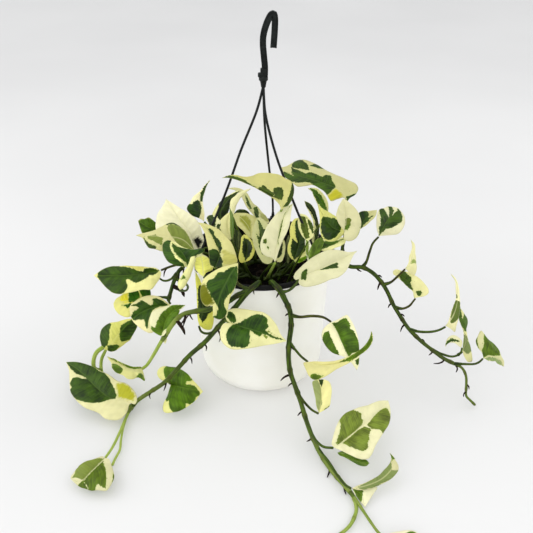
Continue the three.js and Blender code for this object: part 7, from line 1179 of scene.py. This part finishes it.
# ---------------------------------------------------------------- stems and aerial roots
class Tubes:
    def __init__(self):
        self.v, self.f, self.mi = [], [], []
        self.at = {k: [] for k in ("along", "ang", "tone", "node")}

    def add(self, pts, r0, r1, tone=0.0, nodes=0.0, sides=12, step=2.2, mat=0, point=False, seed=0.0, squash=0.0, fade=0.0):
        c = curve(pts)
        n = int(max(6, min(160, round(c.length / step))))
        t = np.linspace(0, 1, n + 1)
        P = c(t)
        # nothing dips into the floor
        P[:, 2] = np.maximum(P[:, 2], 0.9 * max(r0, r1) + 0.4)
        T = np.gradient(P, axis=0)
        T /= np.maximum(np.linalg.norm(T, axis=1, keepdims=True), 1e-6)
        u = np.array((0, 0, 1.0)) if abs(T[0][2]) < 0.8 else np.array((1.0, 0, 0))
        base = len(self.v)
        for i in range(n + 1):
            u = u - T[i] * (u @ T[i])
            u /= np.linalg.norm(u)
            w = np.cross(T[i], u)
            s = t[i] * c.length
            r = r0 + (r1 - r0) * t[i]
            nd = 0.0
            if nodes:
                x = (s + seed * 7) % nodes
                x = min(x, nodes - x)
                nd = math.exp(-(x / 2.2) ** 2)
                r *= 1 + 0.22 * nd
            if point:
                r *= max(0.3, (1 - t[i] ** 5) ** 0.5) * (1 + 0.16 * noise.noise(Vector((s * 0.9, seed, 4.0))))
            if i == 0 and not point:
                r *= 0.85
            r *= 1 + 0.06 * noise.noise(Vector((s * 0.13, seed, 1.7)))
            for k in range(sides):
                an = 2 * math.pi * k / sides
                rr = r * (1 + 0.035 * math.cos(3 * an + seed) - squash * max(0.0, math.cos(an)) ** 2)
                q = P[i] + u * rr * math.cos(an) + w * rr * math.sin(an)
                q[2] = max(q[2], 0.15)
                self.v.append(q * MM)
                self.at["along"].append(s + seed * 31)
                self.at["ang"].append(an)
                self.at["tone"].append(tone + fade * t[i] ** 2.2)
                self.at["node"].append(nd)
        for i in range(n):
            for k in range(sides):
                a, b = base + i * sides + k, base + i * sides + (k + 1) % sides
                self.f.append((a, b, b + sides, a + sides))
                self.mi.append(mat)
        for e, dirn in ((0, -1), (n, 1)):
            ci = len(self.v)
            bulge = 0.5 * (r0 if e == 0 else r1)
            self.v.append((P[e] + T[e] * dirn * bulge * 0.6) * MM)
            self.at["along"].append(t[e] * c.length + seed * 31)
            self.at["ang"].append(0.0)
            self.at["tone"].append(tone + fade * t[e] ** 2.2)
            self.at["node"].append(0.0)
            for k in range(sides):
                a, b = base + e * sides + k, base + e * sides + (k + 1) % sides
                self.f.append((ci, b, a) if e == 0 else (ci, a, b))
                self.mi.append(mat)

    def make(self, name, mats):
        return make_object(name, self.v, self.f, mats, attrs=self.at, mat_index=self.mi)


PALE = {"P_L9": 0.8, "bud1": 0.9, "P_L5": 0.8, "g": 0.7, "P_f": 0.55, "P_M": 0.5, "P_D": 0.6, "V5tip": 0.35, "P_N": 0.3, "tendril": 0.2, "P_L8": 0.4, "P_A": 0.4, "sheath": 0.95, "P_L7": 0.8}
FADE = {"V2": 0.85, "V4": 0.6, "V1": 0.45, "V5": 0.25}
BROWN = {"P_a": -0.55, "P_h1": -0.6, "P_h2": -0.6, "P_O": -0.45, "P_B": -0.5, "P_c": -0.35, "P_L1": -0.5, "P_B2": -0.2}
VINES = {"V1": 31.0, "V2": 24.0, "V3": 26.0, "V4": 27.0, "V5": 25.0, "V5tip": 22.0, "g": 24.0, "rhizome": 14.0, "S6": 16.0}
STOUT = {"V1": 1.14, "V2": 1.3, "V3": 1.12, "V4": 1.14, "V5": 1.06, "P_L5": 1.5, "sheath": 1.0, "P_L7": 1.4}
for grp, first in (("stems_left", STEM), ("stems_right", STEM), ("crown_stems", YOUNG)):
    T = Tubes()
    for i, (g, nm, r0, r1, pts) in enumerate(TUBES):
        if g != grp:
            continue
        vine = nm in VINES
        tone = PALE.get(nm, BROWN.get(nm, 0.0 if vine else 0.15))
        k = STOUT.get(nm, 1.0)
        r0, r1 = r0 * k, r1 * k
        T.add(pts, r0 * (1.0 if vine else 1.05), r1, tone=tone, nodes=VINES.get(nm, 0.0), sides=14 if vine else 12, seed=i * 1.31, squash=0.0 if vine else 0.12, fade=FADE.get(nm, 0.0))
        if not vine:
            # small sheath where the stalk leaves the stem
            p = np.array(pts[0], float)
            q = curve(pts)(np.linspace(0, min(0.3, 9.0 / max(9.0, curve(pts).length)), 4))
            T.add(q.tolist(), r0 * 1.55, r0 * 1.02, tone=tone * 0.5, nodes=0.0, seed=i * 2.1, sides=12, step=1.2)
    for i, (g, r0, r1, pts) in enumerate(ROOTS):
        if g == grp:
            T.add(pts, r0 * 1.2, max(r1 * 1.2, r0 * 0.75), tone=0, mat=1, point=True, seed=i * 1.9, sides=8, step=1.0)
    o = T.make(grp + "_skin", [first, ROOT])
    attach(o, "root")
    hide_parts(grp)


# ---------------------------------------------------------------- pots and soil
def lathe(name, prof, seg, mat, wob=0.0):
    verts, faces = [], []
    ring = []
    for r, z in prof:
        if r < 1e-6:
            ring.append([len(verts)] * seg)
            verts.append((0, 0, z * MM))
        else:
            ids = []
            for k in range(seg):
                a = 2 * math.pi * k / seg
                rr = r * (1 + wob * noise.noise(Vector((math.cos(a) * 1.3, math.sin(a) * 1.3, z * 0.02))))
                ids.append(len(verts))
                verts.append((rr * math.cos(a) * MM, rr * math.sin(a) * MM, z * MM))
            ring.append(ids)
    for i in range(len(prof) - 1):
        for k in range(seg):
            q = [ring[i][k], ring[i][(k + 1) % seg], ring[i + 1][(k + 1) % seg], ring[i + 1][k]]
            u = []
            for x in q:
                if x not in u:
                    u.append(x)
            if len(u) > 2:
                faces.append(u)
    o = make_object(name, verts, faces, [mat])
    bm = bmesh.new()
    bm.from_mesh(o.data)
    bmesh.ops.recalc_face_normals(bm, faces=bm.faces)
    bm.to_mesh(o.data)
    bm.free()
    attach(o, "root")
    return o


slope = (POT_RIM_R - POT_BASE_R) / POT_H
wall = lambda z: POT_BASE_R + slope * z


def arc(cx, cz, r, a0, a1, n):
    return [(cx + r * math.cos(math.radians(a0 + (a1 - a0) * i / n)), cz + r * math.sin(math.radians(a0 + (a1 - a0) * i / n))) for i in range(n + 1)]


prof = [(0, 0.9), (40, 0.9), (43, 0.7), (44.5, 0.0), (POT_BASE_R - POT_FILLET, 0.0)]
n = 16
for i in range(1, n + 1):
    a = (math.pi / 2) * i / n
    prof.append((POT_BASE_R - POT_FILLET + (POT_FILLET + slope * POT_FILLET) * math.sin(a), POT_FILLET * (1 - math.cos(a))))
for z in np.linspace(POT_FILLET + 8, POT_H - 2.2, 14):
    prof.append((wall(z), z))
rc = POT_RIM_R - POT_WALL / 2
prof += arc(rc, POT_H - 1.7, 1.7, 0, 180, 10)
for z in np.linspace(POT_H - 6, POT_FILLET + 6, 8):
    prof.append((wall(z) - POT_WALL, z))
for i in range(n, -1, -1):
    a = (math.pi / 2) * i / n
    R = POT_FILLET - POT_WALL
    prof.append((POT_BASE_R - POT_FILLET + (R + slope * POT_FILLET) * math.sin(a), POT_FLOOR + R - R * math.cos(a)))
prof.append((0, POT_FLOOR))
pot = lathe("cover_pot_shell", prof, 192, POT, wob=0.0012)
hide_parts("cover_pot")

z0 = POT_FLOOR + GAP
lz0, lz1 = POT_H + GAP, POT_H + GAP + LIP_T
lr = lambda z: LINER_BASE_R + (LINER_TOP_R - LINER_BASE_R) * min(1.0, (z - z0) / 120)
prof = [(0, z0), (LINER_BASE_R - 3, z0)] + arc(LINER_BASE_R - 2, z0 + 2, 2, -90, 0, 5)
for z in np.linspace(z0 + 12, z0 + 112, 9):
    prof.append((lr(z), z))
prof += [(lr(z0 + 120), z0 + 120), (LINER_TOP_R, lz0 - 4), (LINER_TOP_R + 0.4, lz0 - 1.2), (LINER_TOP_R + 1, lz0)]
prof += [(LIP_R - 0.9, lz0)] + arc(LIP_R - 0.5, lz0 + 0.5, 0.5, -90, 0, 4) + [(LIP_R, lz1 - 2.0)] + arc(LIP_R - 1.0, lz1 - 1.0, 1.0, 0, 90, 6)
prof += [(LIP_R - 3.0, lz1)] + arc(LIP_R - 3.4, lz1 - 0.8, 0.8, 90, 170, 5) + [(LIP_R - 4.6, lz1 - 1.8), (LINER_TOP_R - LINER_WALL, lz0 - 3)]
prof += [(lr(z) - LINER_WALL, z) for z in np.linspace(z0 + 120, z0 + 4, 14)] + [(0, z0 + 2.6)]
liner = lathe("nursery_pot_shell", prof, 160, LINER)
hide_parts("nursery_pot")

# soil: lumpy top over a plain body, with bark chips
seg, rings = 120, 34
R = lr(SOIL_Z) - LINER_WALL - GAP - 0.4
verts, faces = [], []
verts.append((0, 0, SOIL_Z * MM))
idx = []
for i in range(1, rings + 1):
    r = R * i / rings
    row = []
    for k in range(seg):
        a = 2 * math.pi * k / seg
        p = Vector((r * math.cos(a), r * math.sin(a), 0))
        h = 2.2 * noise.noise(p * 0.05) + 1.3 * noise.noise(p * 0.19 + Vector((5, 1, 2))) + 0.9 * noise.noise(p * 0.5)
        h *= min(1.0, (rings - i) / 3 + 0.15)
        row.append(len(verts))
        verts.append((p.x * MM, p.y * MM, (SOIL_Z - 1.6 + h * 0.75) * MM))
    idx.append(row)
for k in range(seg):
    faces.append((0, idx[0][k], idx[0][(k + 1) % seg]))
for i in range(rings - 1):
    for k in range(seg):
        faces.append((idx[i][k], idx[i + 1][k], idx[i + 1][(k + 1) % seg], idx[i][(k + 1) % seg]))
prev = idx[-1]
for z in (SOIL_Z - 6, 70.0, z0 + 3.2):
    rr = lr(z) - LINER_WALL - GAP - 0.5
    row = []
    for k in range(seg):
        a = 2 * math.pi * k / seg
        row.append(len(verts))
        verts.append((rr * math.cos(a) * MM, rr * math.sin(a) * MM, z * MM))
    for k in range(seg):
        faces.append((prev[k], row[k], row[(k + 1) % seg], prev[(k + 1) % seg]))
    prev = row
verts.append((0, 0, (z0 + 3.2) * MM))
for k in range(seg):
    faces.append((prev[k], len(verts) - 1, prev[(k + 1) % seg]))
mi = [0] * len(faces)
ico = bmesh.new()
bmesh.ops.create_icosphere(ico, subdivisions=2, radius=1.0)
iv = [v.co.copy() for v in ico.verts]
ifc = [[v.index for v in f.verts] for f in ico.faces]
ico.free()
for c in range(210):
    rr, a = R * 0.97 * math.sqrt(rng.random()), 2 * math.pi * rng.random()
    size = rng.uniform(1.2, 4.2)
    sc = Vector((size, size * rng.uniform(0.4, 0.8), size * rng.uniform(0.2, 0.45)))
    rot = Matrix.Rotation(rng.uniform(0, 6.28), 3, "Z") @ Matrix.Rotation(rng.uniform(-0.5, 0.5), 3, "X")
    b = len(verts)
    off = Vector((rr * math.cos(a), rr * math.sin(a), SOIL_Z - 1.0 + rng.uniform(-0.6, 0.7)))
    if off.xy.length > R - 4.5:
        off.x *= 0.9
        off.y *= 0.9
    for v in iv:
        w = rot @ Vector((v.x * sc.x, v.y * sc.y, v.z * sc.z))
        w *= 1 + 0.25 * noise.noise(w * 0.9 + Vector((c, 0, 0)))
        verts.append(tuple((w + off) * MM))
    for f in ifc:
        faces.append([b + q for q in f])
        mi.append(1 if c % 3 else 0)
soil = make_object("potting_mix_top", verts, faces, [SOIL, CHIP], mat_index=mi)
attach(soil, "root")
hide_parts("soil")

# ---------------------------------------------------------------- hanger
H = bmesh.new()


def sweep(bm, pts, section, n, up=(0, 1, 0), scale=None, cap=True):
    c = curve(pts)
    t = np.linspace(0, 1, n + 1)
    P = c(t)
    T = np.gradient(P, axis=0)
    T /= np.linalg.norm(T, axis=1, keepdims=True)
    d = np.array(up, float)
    rings = []
    for i in range(n + 1):
        s = np.cross(T[i], d)
        s /= np.linalg.norm(s)
        e = np.cross(s, T[i])
        k = scale(t[i]) if scale else 1.0
        rings.append([bm.verts.new(tuple((P[i] + s * x * k + e * y * k) * MM)) for x, y in section])
    m = len(section)
    for i in range(n):
        for k in range(m):
            bm.faces.new((rings[i][k], rings[i][(k + 1) % m], rings[i + 1][(k + 1) % m], rings[i + 1][k]))
    if cap:
        bm.faces.new(rings[0][::-1])
        bm.faces.new(rings[-1])


def round_tube(bm, pts, r0, r1, n, sides=14):
    c = curve(pts)
    t = np.linspace(0, 1, n + 1)
    P = c(t)
    T = np.gradient(P, axis=0)
    T /= np.linalg.norm(T, axis=1, keepdims=True)
    u = np.array((0, 1.0, 0))
    rings = []
    for i in range(n + 1):
        u = u - T[i] * (u @ T[i])
        u /= np.linalg.norm(u)
        w = np.cross(T[i], u)
        r = r0 + (r1 - r0) * t[i]
        rings.append([bm.verts.new(tuple((P[i] + (u * math.cos(2 * math.pi * k / sides) + w * math.sin(2 * math.pi * k / sides)) * r) * MM)) for k in range(sides)])
    for i in range(n):
        for k in range(sides):
            bm.faces.new((rings[i][k], rings[i][(k + 1) % sides], rings[i + 1][(k + 1) % sides], rings[i + 1][k]))
    bm.faces.new(rings[0][::-1])
    bm.faces.new(rings[-1])


def rounded_box(bm, size, center, rotz, bev=0.5):
    tmp = bmesh.new()
    bmesh.ops.create_cube(tmp, size=1.0)
    for v in tmp.verts:
        v.co = Vector((v.co.x * size[0], v.co.y * size[1], v.co.z * size[2]))
    bmesh.ops.bevel(tmp, geom=list(tmp.edges), offset=bev, segments=3, profile=0.5, affect="EDGES")
    rot = Matrix.Rotation(rotz, 3, "Z")
    mp = {}
    for v in tmp.verts:
        mp[v] = bm.verts.new((rot @ v.co + Vector(center)) * MM)
    for f in tmp.faces:
        bm.faces.new([mp[v] for v in f.verts])
    tmp.free()


# moulded hook: two edge ribs with a sunk web between them
w2, t2 = HOOK_W / 2, HOOK_T / 2
rib, sunk, ch = 1.35, 0.85, 0.35
half = [(w2, t2 - ch), (w2 - ch, t2), (w2 - rib + 0.2, t2), (w2 - rib - 0.15, t2 - sunk), (-w2 + rib + 0.15, t2 - sunk), (-w2 + rib - 0.2, t2), (-w2 + ch, t2), (-w2, t2 - ch)]
section = half + [(-x, -y) for x, y in half]
sweep(H, HOOK_PATH, section, 72)
hx, hy, hz = HUB


def turned(bm, prof, cx, cy, seg=28):
    rings = []
    for r, z in prof:
        rings.append([bm.verts.new(((cx + r * math.cos(2 * math.pi * k / seg)) * MM, (cy + r * math.sin(2 * math.pi * k / seg)) * MM, z * MM)) for k in range(seg)])
    for i in range(len(rings) - 1):
        for k in range(seg):
            bm.faces.new((rings[i][k], rings[i][(k + 1) % seg], rings[i + 1][(k + 1) % seg], rings[i + 1][k]))
    bm.faces.new(rings[0][::-1])
    bm.faces.new(rings[-1])


turned(H, [(1.9, hz + 2.2), (2.5, hz + 3.2), (2.9, hz + 6), (3.5, hz + 9), (4.7, hz + 10.2), (4.7, hz + 12.6), (4.2, hz + 13.4), (3.4, hz + 13.8), (3.2, hz + 16.6)], hx, hy)
rounded_box(H, (8.8, 5.6, 4.4), (hx - 1.2, hy, hz + 15.3), 0.0, 1.2)
rounded_box(H, (6.6, 4.9, 6.5), (hx + 0.2, hy, hz + 19.0), 0.0, 0.9)
for k in range(3):
    rounded_box(H, (0.9, 6.3, 3.6), (hx - 3.4 + 2.2 * k, hy, hz + 15.3), 0.0, 0.3)
for st in STRANDS:
    round_tube(H, st, STRAND_R, STRAND_R, 60)
    x, y, z = st[-1]
    a = math.atan2(y, x)
    ca_, sa_ = math.cos(a), math.sin(a)
    zc = lz1 + GAP + 0.9
    rounded_box(H, (2.0, 7.0, zc - lz0 + 1.8), ((LIP_R + GAP + 1) * ca_, (LIP_R + GAP + 1) * sa_, (lz0 + zc) / 2), a, 0.5)
    rounded_box(H, (9.6, 7.0, 1.8), ((LIP_R + GAP - 2.8) * ca_, (LIP_R + GAP - 2.8) * sa_, zc), a, 0.5)
    rounded_box(H, (2.0, 7.0, 5.0), ((LIP_R - 7) * ca_, (LIP_R - 7) * sa_, zc - 1.6), a, 0.5)
    round_tube(H, [(x, y, z + 2.5), (x, y, z), ((LIP_R + 1) * ca_, (LIP_R + 1) * sa_, zc)], STRAND_R + 0.3, STRAND_R + 1.1, 8)
bmesh.ops.recalc_face_normals(H, faces=H.faces)
me = bpy.data.meshes.new("moulded_hanger")
H.to_mesh(me)
H.free()
me.materials.append(HANGER)
me.polygons.foreach_set("use_smooth", np.full(len(me.polygons), True))
me.set_sharp_from_angle(angle=math.radians(38))
hanger = bpy.data.objects.new("moulded_hanger", me)
bpy.context.scene.collection.objects.link(hanger)
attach(hanger, "root")
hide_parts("hanger")

# ---------------------------------------------------------------- floor, light, camera
def floor_material():
    n = Net("pale_floor")
    c = n.coords()
    a = n.noise(c, 1.2, 3.0, 0.5)
    n.set(Base_Color=n.mix(n.ramp(a, 0.3, 0.7), (0.655, 0.652, 0.646, 1), (0.69, 0.687, 0.68, 1)), Roughness=n.ramp(a, 0.3, 0.7, 0.6, 0.75))
    n.b.inputs["Specular IOR Level"].default_value = 0.2
    return n.m


bm = bmesh.new()
bmesh.ops.create_grid(bm, x_segments=24, y_segments=24, size=9.0)
fm_ = bpy.data.meshes.new("floor")
bm.to_mesh(fm_)
bm.free()
fm_.materials.append(floor_material())
floor = bpy.data.objects.new("floor", fm_)
floor.location = (0, 0, -0.0002)
bpy.context.scene.collection.objects.link(floor)

world = bpy.data.worlds.new("studio")
world.use_nodes = True
bg = world.node_tree.nodes["Background"]
bg.inputs[0].default_value = (0.97, 0.98, 1.0, 1)
bg.inputs[1].default_value = 0.8
bpy.context.scene.world = world


def area(name, loc, aim, size, power, color=(1, 1, 1)):
    l = bpy.data.lights.new(name, "AREA")
    l.shape = "RECTANGLE"
    l.size, l.size_y = size
    l.energy = power
    l.color = color
    o = bpy.data.objects.new(name, l)
    o.location = loc
    o.rotation_euler = (Vector(aim) - Vector(loc)).to_track_quat("-Z", "Y").to_euler()
    bpy.context.scene.collection.objects.link(o)
    return o


sun = bpy.data.lights.new("sky_window", "SUN")
sun.energy = 0.9
sun.angle = math.radians(55)
sun.use_shadow = False
so = bpy.data.objects.new("sky_window", sun)
so.rotation_euler = (Vector((0, 0, 0)) - Vector((-0.35, 0.1, 1.0))).to_track_quat("-Z", "Y").to_euler()
bpy.context.scene.collection.objects.link(so)
area("left_softbox", (-1.5, -0.2, 0.9), (0, 0, 0.1), (1.5, 1.5), 9.0)
area("right_softbox", (1.5, 0.1, 0.9), (0, 0, 0.1), (1.5, 1.5), 8.0)
area("front_softbox", (0.0, -1.9, 1.35), (0, 0, 0.05), (2.6, 1.4), 10.5)

cam = bpy.data.cameras.new("photo_camera")
cam.sensor_width = 36.0
cam.lens = 47.28
cam.clip_end = 50
co = bpy.data.objects.new("photo_camera", cam)
co.location = CAM_LOC
co.rotation_euler = (CAM_AIM - CAM_LOC).to_track_quat("-Z", "Y").to_euler()
bpy.context.scene.collection.objects.link(co)
bpy.context.scene.camera = co
bpy.context.scene.view_settings.view_transform = "Standard"
bpy.context.scene.view_settings.look = "None"
